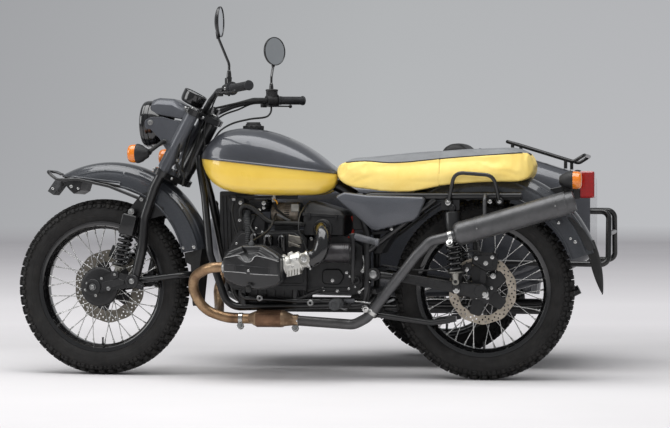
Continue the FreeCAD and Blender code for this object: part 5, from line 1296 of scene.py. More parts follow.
def rear_tail():
    """Rubber tail below the fender: a channel that narrows to a rounded point."""
    share = np.linspace(0, 1, 46)
    angle = np.radians(157 + 27 * share)
    half = 64 * np.sqrt(np.clip(1 - np.clip((share - 0.35) / 0.65, 0, 1) ** 2.2, 0.0004, 1))
    across_tail = np.linspace(-1, 1, 25)[None]
    y = half[:, None] * across_tail
    r = 440.5 + 3 - 34 * (y / 64) ** 2 - 2.5 * np.exp(-((y / 5) ** 2))
    points = np.stack([r * np.cos(angle)[:, None], y, 353 + r * np.sin(angle)[:, None]], -1)
    return thick(open_skin(points), 3.0)


def rear_panel():
    """Flat plate holder behind the fender, with folded sides."""
    lines = [(-292, 619, 66), (-330, 603, 70), (-372, 560, 70), (-404, 508, 68), (-410, 492, 62)]
    rows = []
    for x, z, half in lines:
        rows.append([(x + 26, -half, z - 10), (x, -half, z), (x - 4, -half + 6, z + 2),
                     (x - 5, 0, z + 3), (x - 4, half - 6, z + 2), (x, half, z),
                     (x + 26, half, z - 10)])
    return thick(open_skin(np.array(rows, float)), 2.0)


# ---- Seats -----------------------------------------------------------------------------------
# Along, underside, side's top edge, crown, half width.
SEAT = [(547, 768, 800, 808, 84), (538, 752, 806, 815, 100), (520, 736, 811, 820, 112),
        (490, 722, 815, 824, 122), (430, 713, 818, 828, 132), (350, 704, 812, 836, 138),
        (280, 702, 814, 843, 141), (213, 712, 820, 848, 144), (150, 725, 826, 851, 145),
        (60, 734, 833, 857, 146), (0, 738, 837, 859, 146), (-60, 739, 841, 861, 146),
        (-120, 740, 845, 862, 144), (-158, 746, 846, 859, 136), (-178, 758, 842, 853, 122),
        (-190, 776, 832, 840, 100)]


def seat_section(x, drawn_in):
    """Rings of the cushion: flat below, upright sides that pull in, a low crown on top."""
    low, edge, crown, half = (column(SEAT, x, k)[:, None] for k in range(1, 5))
    half = half - drawn_in
    low, crown, edge = low + drawn_in * 0.3, crown - drawn_in, edge - drawn_in
    t = np.linspace(0, 1, 9)[None]
    side_y = half * (0.93 + 0.07 * np.sin(np.pi * (0.15 + 0.6 * t)))
    side_z = low + (edge - low) * t
    a = np.linspace(0, np.pi / 2, 13)[None, 1:]
    top_y = half * np.cos(a) ** 0.55
    top_z = edge + (crown - edge) * np.sin(a) ** 0.9
    half_y = np.concatenate([half * np.array([[0.0, 0.45, 0.85]]), side_y, top_y], 1)
    half_z = np.concatenate([low, low, low, side_z, top_z], 1)
    y = np.concatenate([half_y, -half_y[:, -2:0:-1]], 1)
    z = np.concatenate([half_z, half_z[:, -2:0:-1]], 1)
    return np.stack([np.broadcast_to(x[:, None], y.shape), y, z], -1)


def add_modifier(piece, kind, **settings):
    modifier = piece.modifiers.new(kind.lower(), kind)
    for key, value in settings.items():
        setattr(modifier, key, value)
    return modifier


def swell(piece, pressure, cap):
    """Lets a cushion fill out as cloth, caps how far each point moves, and refines it."""
    scene = bpy.context.scene
    rest_points = read_points(piece.data)
    cloth = add_modifier(piece, "CLOTH")
    for key, value in CUSHION_CLOTH.items():
        setattr(cloth.settings, key, value)
    cloth.settings.uniform_pressure_force = pressure
    cloth.settings.effector_weights.gravity = 0
    cloth.collision_settings.use_collision = False
    pinned = piece.vertex_groups.new(name="pinned")
    hold = PINNED[piece.name](rest_points * 1000 - ORIGIN)
    pinned.add(np.nonzero(hold)[0].tolist(), 1.0, "ADD")
    cloth.settings.vertex_group_mass = "pinned"
    for number in range(1, 21):
        scene.frame_set(number)
    grown = piece.evaluated_get(bpy.context.evaluated_depsgraph_get())
    step = read_points(grown.data) - rest_points
    length = np.linalg.norm(step, axis=1, keepdims=True)
    step *= np.minimum(1, cap / np.maximum(length, 1e-9))
    piece.modifiers.clear()
    piece.vertex_groups.clear()
    piece.data.vertices.foreach_set("co", (rest_points + step).ravel())
    piece.data.update()
    scene.frame_set(1)
    add_modifier(piece, "SMOOTH", factor=0.5, iterations=3)
    bake(piece)
    add_modifier(piece, "SUBSURF", levels=1, render_levels=1)
    bake(piece)


CUSHION_CLOTH = {"use_pressure": True, "quality": 5, "mass": 0.35, "tension_stiffness": 28,
                 "compression_stiffness": 28, "shear_stiffness": 14, "bending_stiffness": 1.2}


def bake(piece):
    """Applies the piece's modifiers to its mesh."""
    graph = bpy.context.evaluated_depsgraph_get()
    mesh = bpy.data.meshes.new_from_object(piece.evaluated_get(graph))
    old = piece.data
    piece.modifiers.clear()
    piece.data = mesh
    mesh.name = piece.name
    bpy.data.meshes.remove(old)


PINNED = {
    "rider_seat": lambda p: p[:, 2] < column(SEAT, p[:, 0], 1) + 14,
    "sidecar_bench": lambda p: p[:, 2] < 415,
    "sidecar_backrest": lambda p: p[:, 0] < 128,
}


def cushion(name, shape, finish, replaces, cap):
    """A padded piece: remeshed, filled out and given its cover."""
    sizes = bpy.context.scene.motorcycle_seats
    piece = put(name, [(shape, finish)], "chassis", "seat_cover", replaces, 180)
    bpy.context.view_layer.objects.active = piece
    add_modifier(piece, "REMESH", mode="VOXEL", voxel_size=sizes.voxel)
    bake(piece)
    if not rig.quick():
        swell(piece, sizes.pressure, cap)
    return piece


def press(piece, dents):
    """Sews channels: each dent lowers points along the normal by depth exp(-(d / width)^2)."""
    mesh = piece.data
    points = read_points(mesh)
    depth = dents(points * 1000 - ORIGIN)[:, None]
    mesh.vertices.foreach_set("co", (points - read_points(mesh, "normal") * depth / 1000).ravel())
    mesh.update()


def skin_line(piece, start_points, towards):
    """Points where rays from the given spots meet the cushion's skin."""
    tree = BVHTree.FromObject(piece, bpy.context.evaluated_depsgraph_get())
    found = []
    for spot, way in zip(place(start_points, "chassis"), towards):
        hit = tree.ray_cast(Vector(spot), Vector(way))
        if hit[0] is not None:
            found.append(np.array(hit[0]) * 1000 - ORIGIN)
    return np.array(found)


CROSS_SEAM = 153                        # where the sewn seam crosses the seat


def edge_height(x):
    return column(SEAT, x, 2)


class MOTORCYCLE_OT_rider_seat(bpy.types.Operator):
    """Builds the long seat: yellow sides, grey top, black piping and the cross seams"""

    bl_idname = "motorcycle.rider_seat"
    bl_label = "Rider's seat"

    def execute(self, context):
        x = SEAT[-1][0] + (SEAT[0][0] - SEAT[-1][0]) * (1 - np.cos(np.linspace(0, np.pi, 70))) / 2
        piece = cushion("rider_seat", surface(seat_section(x, 5.0)), "yellow_vinyl", ["seat"],
                        0.011)

        def cross_seam(p):
            on_side = 1 / (1 + np.exp(-(np.abs(p[:, 1]) - 95) / 6))
            return (np.exp(-(((p[:, 0] - CROSS_SEAM) / 3.2) ** 2)) * 3.0
                    * np.maximum(on_side, 0.8))

        press(piece, cross_seam)
        mesh = piece.data
        centres = np.empty(len(mesh.polygons) * 3)
        mesh.polygons.foreach_get("center", centres)
        local = centres.reshape(-1, 3) * 1000 - ORIGIN
        above = local[:, 2] > edge_height(local[:, 0]) + 1.0
        mesh.materials.append(MATERIALS["grey_vinyl"])
        mesh.polygons.foreach_set("material_index", above.astype(np.int32))
        mesh.polygons.foreach_set("use_smooth", [True] * len(mesh.polygons))
        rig.padded(piece, 0.8)
        middle, reach = 178, 372
        angle = np.linspace(0, 2 * np.pi, 220, endpoint=False)
        cosine, sine, level = np.cos(angle), np.sin(angle), 0 * angle
        ring_x = middle + reach * cosine
        start = np.stack([np.clip(ring_x, -175, 525), level,
                          edge_height(np.clip(ring_x, -180, 535))], -1)
        out = np.stack([cosine * 0.9, sine, level], -1)
        way = unit(np.stack([reach * cosine - (start[:, 0] - middle), 220 * sine, level], -1)
                   + out * 1e-3)
        piping = tube(skin_line(piece, start, way), 2.3, 8, closed=True)
        fan = np.radians(86 + 12 * np.linspace(-1, 1, 60))
        inside = np.zeros((60, 3)) + (CROSS_SEAM, 0, 790)
        up = np.stack([0 * fan, np.sin(fan), np.cos(fan)], -1)
        cross = joined([tube(skin_line(piece, inside, up * (1, side, 1)), 1.0, 8)
                        for side in (1, -1)])
        put("seat_piping", [(piping, "soft_black"), (cross, "pale_thread")], "chassis",
            "seat_cover")
        return {"FINISHED"}


def pad(outline, low, high, edge, corner, crown):
    """Cushion drawn from a side outline: rims drawn in over several steps, a crowned face."""
    outline = bent(outline, corner, 6, closed=True)
    depth = np.array([0.0, 0.12, 0.35, 0.65, 1.0])
    rims = [inset(outline, edge * (1 - math.sqrt(1 - (1 - share) ** 2))) for share in depth]
    rows = [upright(rim, low + edge * share) for rim, share in zip(rims, depth)]
    for share in np.linspace(0.08, 0.92, 9):
        rows.append(upright(inset(outline, -crown * math.sin(math.pi * share)),
                            low + edge + (high - low - 2 * edge) * share))
    rows += [upright(rim, high - edge * share) for rim, share in zip(rims[::-1], depth[::-1])]
    return surface(np.array(rows))


SIDECAR_MIDDLE = -690


def channels(spacing, on_face):
    """Four sewn channels side by side, 4 mm deep, where on_face tells."""
    def dents(p):
        return 4.0 * sum(np.exp(-(((p[:, 1] - SIDECAR_MIDDLE - spacing * k) / 3.5) ** 2))
                         for k in (-1.5, -0.5, 0.5, 1.5)) * on_face(p)
    return dents


class MOTORCYCLE_OT_sidecar_seat(bpy.types.Operator):
    """Builds the sidecar's bench, backrest and plinth"""

    bl_idname = "motorcycle.sidecar_seat"
    bl_label = "Sidecar seat"

    def execute(self, context):
        mid = SIDECAR_MIDDLE
        bench = pad([(262, 405), (640, 405), (654, 440), (634, 462), (300, 464), (258, 448)],
                    mid - 200, mid + 200, 24, 16, 2)
        back = pad([(118, 470), (238, 470), (292, 500), (232, 858), (214, 886), (190, 899),
                    (152, 899), (118, 872)], mid - 180, mid + 180, 26, 14, 2)
        for name, shape, replaced, dents in (
                ("sidecar_bench", bench, ["sidecar_seat"], channels(80, lambda p: p[:, 2] > 450)),
                ("sidecar_backrest", back, [], channels(72, lambda p: p[:, 0] > 205))):
            piece = cushion(name, shape, "black_vinyl", replaced, 0.008)
            press(piece, dents)
            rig.padded(piece, 0.85)
        plinth = block((300, mid - 190, 289), (610, mid + 190, 402), 3, 8)
        put("sidecar_plinth", [(plinth, "carpet_black")], "chassis", "seat_cover")
        return {"FINISHED"}


# ---- Engine ----------------------------------------------------------------------------------
CYLINDER = (808, 428)
COVER_OUTLINE = [(914, 394), (915, 460), (900, 486), (850, 507), (772, 508), (722, 480),
                 (703, 464), (702, 380), (722, 364), (776, 350), (820, 348.5), (862, 362),
                 (905, 383)]
UPPER_STEP = [(918, 462), (880, 469), (856, 473), (849, 471), (843, 464), (836, 455),
              (828, 450), (819, 448.5), (810, 451), (803, 458), (797, 467), (790, 471),
              (780, 470), (750, 463), (700, 449)]
LOWER_STEP = [(916, 415), (841, 410), (800, 405), (700, 401)]


def step_height(step, x):
    """Height of a step line at a place along the cover."""
    line = curve(step, 200)[::-1]
    return np.interp(x, line[:, 0], line[:, 1])


def cover_face(x, z):
    """Depth of the cover's face: a flat band between two steps, slopes above and below it, a
    scoop round each plug, and ribs along the upper slope."""
    above = z - step_height(UPPER_STEP, x)
    below = step_height(LOWER_STEP, x) - z
    scoop = np.exp(-(((x - 820) / 24) ** 4))
    y = 389 + 1.4 * np.clip((437 - 0.07 * (816 - x) - z) / 2, 0, 1)
    y = y - np.clip(above / 2, 0, 1) * 3 - np.maximum(above, 0) * (0.5 + 0.7 * scoop)
    y = y + np.clip(above / 3 - 1, 0, 1) * 0.45 * np.sin(above * 0.8) * (1 - scoop)
    y = y - np.maximum(below, 0) * 0.4 - np.clip(below / 2, 0, 1) * 1.2
    lower_plug = np.hypot(x - 820, z - 346)
    return y - 0.7 * np.maximum(0, 28 - lower_plug)


def valve_cover():
    """Rim outline carried out and over: each ring is the outline shrunk towards the middle."""
    outline = bent(COVER_OUTLINE, 14, 16, closed=True)
    share = np.concatenate([[1, 1, 1.012, 1.012, 1, 1], 1 - np.linspace(0.0, 0.985, 60) ** 1.1])
    middle = np.array(CYLINDER, float)
    flat = middle + share[:, None, None] * (outline - middle)
    edge = np.linalg.norm(flat - outline, axis=-1)
    round_off = 9 * (1 - np.sqrt(np.clip(1 - (1 - np.clip(edge / 9, 0, 1)) ** 2, 0, 1)))
    y = cover_face(flat[..., 0], flat[..., 1]) - round_off
    y[:5] = np.array([338.6, 344, 344.5, 349, 349.5])[:, None]
    y[5] = np.maximum(y[5] - 6, 351)
    return surface(np.stack([flat[..., 0], y, flat[..., 1]], -1))


def step_line(step, lift, radius):
    """Machined edge: a thin tube along a step of the face."""
    flat = curve(step, 60)
    flat = flat[(flat[:, 0] > 706) & (flat[:, 0] < 911)]
    y = cover_face(flat[:, 0], flat[:, 1] - 0.8) + lift
    return tube(np.column_stack([flat[:, 0], y, flat[:, 1]]), radius, 8)


def rounded_tray(rows, half, corner=14):
    """Rounded rectangles stacked up, each lying on its own slope from front to rear.

    A row is rear end, front end, how far it is drawn in, rear height and front height.
    """
    points = []
    for rear, ahead, drawn, low, high in rows:
        side = half - drawn
        flat = bent([(rear, -side), (ahead, -side), (ahead, side), (rear, side)], corner, 6,
                    closed=True)
        z = low + (high - low) * (flat[:, 0] - rear) / (ahead - rear)
        points.append(np.column_stack([flat, z]))
    return surface(np.array(points))


def band(spot, axis, radius, width, lug):
    """Clamp: a strap round a pipe with a lug and a screw."""
    axis, lug = unit(axis), unit(lug)
    end, low, high = width / 2, radius + 0.6, radius + 1.6
    ring = lathe([(-end, radius - 2), (-end, low), (1 - end, high), (end - 1, high), (end, low),
                  (end, radius - 2)], spot, axis, 36, closed=True)
    foot = np.asarray(spot, float) + lug * (radius + 9)
    across = np.cross(axis, lug)
    ears = [lathe([(a, 0), (a, 12), (a + 1, 13), (a + 3, 13), (a + 4, 12), (a + 4, 0)], foot,
                  across, 8) for a in (-9, 5)]
    screw = lathe([(-16, 0), (-16, 6), (-11, 6.6), (-11, 3.4), (11, 3.4), (11, 6.6), (16, 6),
                   (16, 0)], foot, across, 12)
    return joined([ring, screw] + ears)


class MOTORCYCLE_OT_valve_covers(bpy.types.Operator):
    """Makes the stepped covers of both cylinder heads"""

    bl_idname = "motorcycle.valve_covers"
    bl_label = "Valve covers"

    def execute(self, context):
        middle = [(912, 441), (860, 437), (800, 432), (728, 427)]
        nut = lathe([(0, 0), (0, 13.5), (2, 13.5), (3, 11), (3, 9), (1.5, 8.5), (1.5, 0)],
                    (818, 388.5, 417), LEFT, 28)
        cap = bolt((818, 389.5, 417), LEFT, 5.6, 5, washer=False)
        flange = plate(inset(bent(COVER_OUTLINE, 14, 9, closed=True), -2), 333, 338.5, 0.8)
        parts = [(both(valve_cover()), "cover_black"), (both(nut), "cover_black"),
                 (both(flange), "cast_black"),
                 (both(joined([step_line(step, 0.2, 1.5) for step in (UPPER_STEP, LOWER_STEP)])),
                  "bright_edge"),
                 (both(step_line(middle, 0.1, 0.9)), "worn_edge"), (both(cap), "bright_steel")]
        put("valve_covers_stepped", parts, "chassis", "engine_metal", ["valve_covers"], 38)
        return {"FINISHED"}


THROTTLE_REAR = np.array([606.0, 292, 459])
THROTTLE_RUN = unit(np.array([102.0, 0, -24]))


def throttle_body():
    """Barrel along its sloping axis with bosses, a cable wheel and a ribbed motor below."""
    at, run = THROTTLE_REAR, THROTTLE_RUN
    up = np.cross(run, LEFT)

    def spot(along, left, high):
        return at + run * along + up * high + np.array([0, left, 0])

    barrel = lathe([(4, 0), (4, 27), (8, 29), (20, 29), (22, 26), (34, 27), (36, 33), (40, 34.5),
                    (70, 34.5), (73, 32), (78, 30), (88, 31), (92, 38), (100, 38), (101, 0)],
                   at, run, 48)
    strap = lathe([(4, 28), (4, 33.5), (5, 35), (12, 35), (13, 33.5), (13, 28)], at, run, 48,
                  closed=True)
    shapes = [barrel]
    for along, side, high, radius, length in ((50, -2, 24, 15, 22), (66, 8, 22, 11, 30),
                                              (30, 6, 18, 9, 20)):
        shapes.append(lathe([(-12, 0), (-12, radius), (length - 14, radius),
                             (length - 12, radius - 2), (length - 12, 0)],
                            spot(along, side, high), up + run * 0.25, 20))
    shapes.append(plate([(640, 446), (697, 436), (694, 412), (641, 424)], 276, 327, 2))
    axle = at + run * 19 + np.array([0, 27, 2])
    wheel = lathe([(0, 0), (0, 20), (1.5, 21), (3, 18), (6, 18), (7.5, 21), (9, 20), (9, 8),
                   (10, 0)], axle, LEFT, 32)
    hub = lathe([(9, 0), (9, 11), (11, 11), (12, 9), (12, 6), (10, 5), (10, 0)], axle,
                LEFT, 24)
    ribs = [plate([(x, 427 - 2.4 * k), (x + 7, 425.4 - 2.4 * k), (x + 7, 401 - 2.2 * k),
                   (x, 403 - 2.2 * k)], 280, 328, 1.2)
            for k, x in enumerate(641 + 10.4 * np.arange(5))]
    core = plate([(640, 428), (694, 416), (690, 394), (639, 406)], 283, 322, 2)
    screws = [cap_screw(spot(*row), LEFT, 4.5, 5)
              for row in ((44, 31, 12), (66, 31, 12), (66, 31, -14), (92, 24, 26))]
    tail = bolt(spot(8, 4, -36), LEFT, 5, 10, washer=False)
    return (joined(shapes), joined([strap, hub, tail] + screws), joined([wheel, core]),
            joined(ribs))


class MOTORCYCLE_OT_intake(bpy.types.Operator):
    """Makes the filter box, the elbows and the throttle bodies"""

    bl_idname = "motorcycle.intake"
    bl_label = "Intake"

    def execute(self, context):
        body, bright, dark, ribs = throttle_body()
        put("throttle_bodies_machined",
            [(both(body), "throttle_metal"), (both(bright), "bright_steel"),
             (both(dark), "cast_aluminium"), (both(ribs), "throttle_metal")],
            "chassis", "bare_aluminium", ["throttle_bodies"], 32)
        lower = rounded_tray([(518, 668, 4, 541, 541), (516, 670, 2, 543, 543),
                              (514, 671, 1, 604, 612), (514, 671, 1, 606, 614)], 113)
        rim = rounded_tray([(512, 673, 0, 605, 613), (510, 675, -2, 607, 615),
                            (510, 675, -2, 616, 625), (512, 673, 0, 618, 627)], 113)
        lid = rounded_tray([(514, 671, 2, 617, 626), (518, 667, 5, 624, 636),
                            (524, 658, 10, 632, 659), (532, 652, 15, 636, 667),
                            (542, 646, 22, 639, 670)], 113, 16)
        clips = []
        for x, z in ((645, 614), (543, 608)):
            clips.append(block((x - 5, 113, z - 14), (x + 5, 119, z + 12), 1.5, 3))
            clips.append(block((x - 3, 119, z - 9), (x + 3, 121, z + 4), 0.8, 1.5))
        put("intake_filter_box",
            [(joined([lower, rim, lid]), "moulded_black"), (both(joined(clips)), "satin_black")],
            "chassis", "black_plastic", ["airbox"], 30)
        pipe_line = curve([(609, 292, 458), (594, 292, 463), (576, 291, 478), (566, 286, 508),
                           (567, 268, 540), (578, 235, 559), (588, 190, 566), (594, 110, 567)],
                          40)
        radius = np.interp(np.linspace(0, 1, 40), [0, 0.12, 0.5, 0.8, 1], [31, 30, 29, 29, 29])
        elbow = tube(pipe_line, radius, 32)
        collar = lathe([(0, 26), (0, 35), (2, 36.5), (5, 36.5), (8, 34), (9, 26)],
                       (594, 112, 566), LEFT, 40, closed=True)
        cuff = lathe([(-12, 27), (-12, 31), (-10, 32), (2, 32), (3, 31), (3, 27)],
                     THROTTLE_REAR, THROTTLE_RUN, 40, closed=True)
        put("intake_elbows", [(both(joined([elbow, cuff])), "gloss_black"),
                              (both(collar), "satin_black")],
            "chassis", "black_plastic", angle=45)
        return {"FINISHED"}


def alternator():
    """Turned housing with a row of cooling slots, a pulley end and a plain end cap."""
    at, back = (807, 22, 622), (-1, 0, 0)
    front_end = lathe([(0, 0), (0, 30), (2, 38), (6, 41), (22, 41.6), (24, 40.6), (27, 42.5),
                       (50, 42.5), (55, 41), (55, 30)], at, back, 60)
    core = lathe([(50, 33), (80, 33)], at, back, 48)
    bars = []
    for k in range(30):
        bar = block((731, 59, 619.6), (754, 63.4, 624.4), 0.8)
        bars.append(spun(bar, AHEAD, math.radians(12 * k), (0, 22, 622)))
    rear_end = lathe([(75, 30), (75, 41), (79, 42.5), (104, 42), (112, 38), (116, 30), (117, 0)],
                     at, back, 60)
    boxes = block((692, 44, 627), (726, 68, 660), 3, 3)
    strip = joined([plate([(780, 616), (774, 622), (726, 598), (728, 588)], 62, 68, 1),
                    plate([(812, 588), (812, 596), (700, 592), (700, 584)], 60, 72, 1)])
    return joined([front_end, rear_end] + bars), core, boxes, strip


SMALL_BOLTS = {
    # Plane left of the middle: bright heads at (along, up, radius) on the engine and frame.
    112: [(910, 663, 5), (820, 661, 5.5), (820, 643, 4), (837, 636, 4), (913, 597, 4)],
    124: [(922, 509, 5), (847, 567, 3), (823, 552, 3)],
    101: [(668, 368, 2.6), (560, 372, 4.6), (595, 339, 5), (541, 333, 4), (506, 402, 4),
          (494, 387, 3.2), (498, 341, 3.2), (473, 348, 2.8), (696, 531, 4), (641, 528, 4.4),
          (673, 581, 4)],
    130: [(453, 331, 4)]}


class MOTORCYCLE_OT_generator(bpy.types.Operator):
    """Makes the generator on top of the engine and the starter beside it"""

    bl_idname = "motorcycle.generator"
    bl_label = "Generator and starter"

    def execute(self, context):
        housing, core, boxes, strip = alternator()
        put("generator_housing", [(housing, "bare_housing"), (core, "soft_black"),
                                  (boxes, "cast_aluminium"), (strip, "zinc_steel")],
            "chassis", "bare_aluminium", angle=32)
        starter = lathe([(0, 0), (0, 26), (2, 32), (6, 36), (10, 37), (14, 37), (15, 36),
                         (22, 36), (23, 36.8), (27, 36.8), (28, 36), (118, 36), (119, 37),
                         (126, 37), (130, 34), (142, 30), (144, 0)], (484, 122, 475), AHEAD,
                        56)
        lever_arm = bead([(484, 132, 424), (482, 134, 455), (478, 132, 490)], 4.5)
        put("starter_motor", [(starter, "starter_case"), (lever_arm, "bright_steel")],
            "chassis", "engine_metal", angle=32)
        return {"FINISHED"}


class MOTORCYCLE_OT_crankcase_covers(bpy.types.Operator):
    """Makes the covers of the gearbox and crankcase with their bright bolts"""

    bl_idname = "motorcycle.crankcase_covers"
    bl_label = "Crankcase covers"

    def execute(self, context):
        cover = plate([(600, 414), (532, 415), (514, 388), (532, 355), (600, 357)], 90, 101, 4, 20,
                      8)
        sump_rail = plate([(655, 352), (655, 340), (940, 340), (940, 352)], 121, 126, 1)
        front_cover = plate([(945, 360), (945, 500), (905, 548), (700, 552), (664, 524),
                             (664, 360)], 121, 127, 3, 14, 5)
        step = plate([(498, 330), (640, 330), (646, 346), (498, 346)], 90, 98, 2, 4)
        cups = []
        for x, z, radius, tall in ((850, 536, 17, 34), (797, 531, 20, 36), (745, 530, 17, 60)):
            cups.append(lathe([(-tall, 0), (-tall, radius), (-3, radius), (0, radius - 2),
                               (2, radius * 0.8), (2, radius * 0.5), (5, radius * 0.4), (6, 0)],
                              (x, 150, z + 10), (0, 0.12, 1), 36))
            cups.append(lathe([(-13, radius - 2), (-13, radius + 1.6), (-8, radius + 1.6),
                               (-8, radius - 2)], (x, 150, z + 10), (0, 0.12, 1), 36,
                              closed=True))
        wedge = joined([plate([(706, 545), (662, 537), (654, 512), (706, 498)], 196, 214, 2, 3),
                        plate([(704, 520), (660, 505), (658, 496), (704, 508)], 212, 226, 2)])
        pack = [(joined([cover, step]), "satin_black"),
                (both(joined([sump_rail, front_cover])), "cast_black"),
                (both(joined(cups)), "gloss_black"), (both(wedge), "dull_aluminium")]
        heads = []
        for plane, rows in SMALL_BOLTS.items():
            heads += [bolt((x, plane, z), LEFT, radius, radius * 0.7)
                      for x, z, radius in rows]
        pack.append((joined(heads), "bright_steel"))
        put("crankcase_covers", pack, "chassis", "engine_metal", angle=32)
        return {"FINISHED"}


class MOTORCYCLE_OT_ignition_coils(bpy.types.Operator):
    """Makes the coils and their tray in front of the generator"""

    bl_idname = "motorcycle.ignition_coils"
    bl_label = "Ignition coils"

    def execute(self, context):
        tray = plate([(972, 660), (938, 578), (952, 512), (908, 506), (900, 600), (905, 682),
                      (960, 684)], -70, 68, 2, 8)
        coils = [block((818, y - 22, 628), (884, y + 22, 676), 4, 6) for y in (64, -40)]
        fins = [block((812, y - 25, z), (890, y + 25, z + 3.5), 1.2)
                for y in (64, -40) for z in (634, 643, 652, 661)]
        under = plate([(905, 612), (905, 560), (880, 540), (820, 546), (815, 600), (860, 622)],
                      40, 104, 3, 8)
        hanger = [plate([(948, 690), (930, 690), (926, 668), (940, 664)], 98, 104, 1),
                  plate([(700, 690), (960, 690), (960, 678), (700, 676)], 60, 66, 1)]
        square = block((930, 104, 670), (944, 108, 680), 1)
        put("ignition_coils", [(joined([tray] + coils), "moulded_black"),
                               (joined(fins + hanger), "satin_black"),
                               (under, "cast_black"), (square, "bright_steel")],
            "chassis", "black_plastic", angle=32)
        return {"FINISHED"}


class MOTORCYCLE_OT_breather(bpy.types.Operator):
    """Makes the crankcase's breather tube and hose"""

    bl_idname = "motorcycle.breather"
    bl_label = "Breather"

    def execute(self, context):
        post_line = curve([(880, 116, 505), (878, 118, 560), (884, 114, 600), (886, 104, 630)],
                          60)
        ribs = 13 + 1.6 * np.cos(np.linspace(0, 40 * np.pi, 60))
        post = tube(post_line, ribs, 24)
        put("breather_tube", [(post, "worn_rubber")], "chassis", "black_plastic", angle=60)
        hose_piece = bead([(908, 112, 612), (908, 118, 634), (893, 120, 650), (868, 120, 646),
                           (836, 120, 622), (808, 120, 598), (780, 120, 587), (730, 122, 586),
                           (684, 122, 584), (668, 112, 580)], 9.5, 16, 80)
        put("breather_hose", [(hose_piece, "hose_black")], "chassis", "black_plastic", angle=60)
        return {"FINISHED"}


class MOTORCYCLE_OT_leads(bpy.types.Operator):
    """Makes the plug leads with their boots and the battery lead"""

    bl_idname = "motorcycle.leads"
    bl_label = "Leads"

    def execute(self, context):
        leads = [bead([(776, 100, 620), (774, 150, 600), (777, 196, 572), (786, 240, 552),
                       (802, 300, 535), (812, 344, 524)], 4.2, 10, 50),
                 bead([(656, 60, 664), (656, 180, 640), (655, 270, 600), (650, 292, 558),
                       (637, 292, 532), (622, 292, 492)], 2.8, 8, 60),
                 bead([(835, 70, 632), (858, 110, 604), (868, 124, 575), (850, 140, 548)], 4, 10,
                      40),
                 bead([(930, 92, 690), (944, 100, 640), (936, 108, 590), (920, 112, 540),
                       (912, 118, 500)], 4, 10, 50)]
        boot = lathe([(-30, 0), (-30, 7), (-26, 9.5), (6, 11), (10, 11), (12, 8), (18, 6), (18, 0)],
                     (818, 345, 508), unit((-0.1, -0.25, 0.9)), 20)
        low_boot = lathe([(0, 0), (0, 11), (14, 11), (20, 9), (22, 0)], (820, 376, 342),
                         (0, 0.4, 1), 20)
        put("spark_leads", [(both(leads[0]), "hose_black"), (both(boot), "worn_rubber"),
                            (joined(leads[1:]), "hose_black"), (both(low_boot), "hose_black")],
            "chassis", "black_plastic", angle=50)
        red = bead([(492, 62, 612), (484, 62, 580), (492, 62, 545), (522, 70, 516)], 5, 12, 40)
        put("red_battery_lead", [(red, "switch_red")], "chassis", "lamp_red", angle=50)
        return {"FINISHED"}


# ---- Exhaust ---------------------------------------------------------------------------------
LEFT_HEADER = [(906, 300, 426), (985, 300, 426), (1062, 232, 388), (1076, 184, 330),
               (1036, 160, 258), (950, 152, 230), (838, 150, 228)]
RIGHT_HEADER = [(906, -300, 426), (985, -300, 426), (1056, -232, 388), (1062, -170, 320),
                (1040, -100, 250), (1010, 60, 232), (930, 112, 228), (838, 118, 226)]
def collector_box(rows, grow=0.0):
    """Flattened rounds stacked along the pipe: |y|^n + |z|^n = 1 with n = 3.2."""
    angle = np.linspace(0, 2 * np.pi, 56, endpoint=False)
    cosine, sine = np.cos(angle), np.sin(angle)
    reach = (np.abs(cosine) ** 3.2 + np.abs(sine) ** 3.2) ** (-1 / 3.2)
    x, middle_y, half_y, middle_z, half_z = np.array(rows, float).T[:, :, None]
    return surface(np.stack([x + 0 * angle, middle_y + (half_y + grow) * reach * cosine,
                             middle_z + (half_z + grow) * reach * sine], -1))


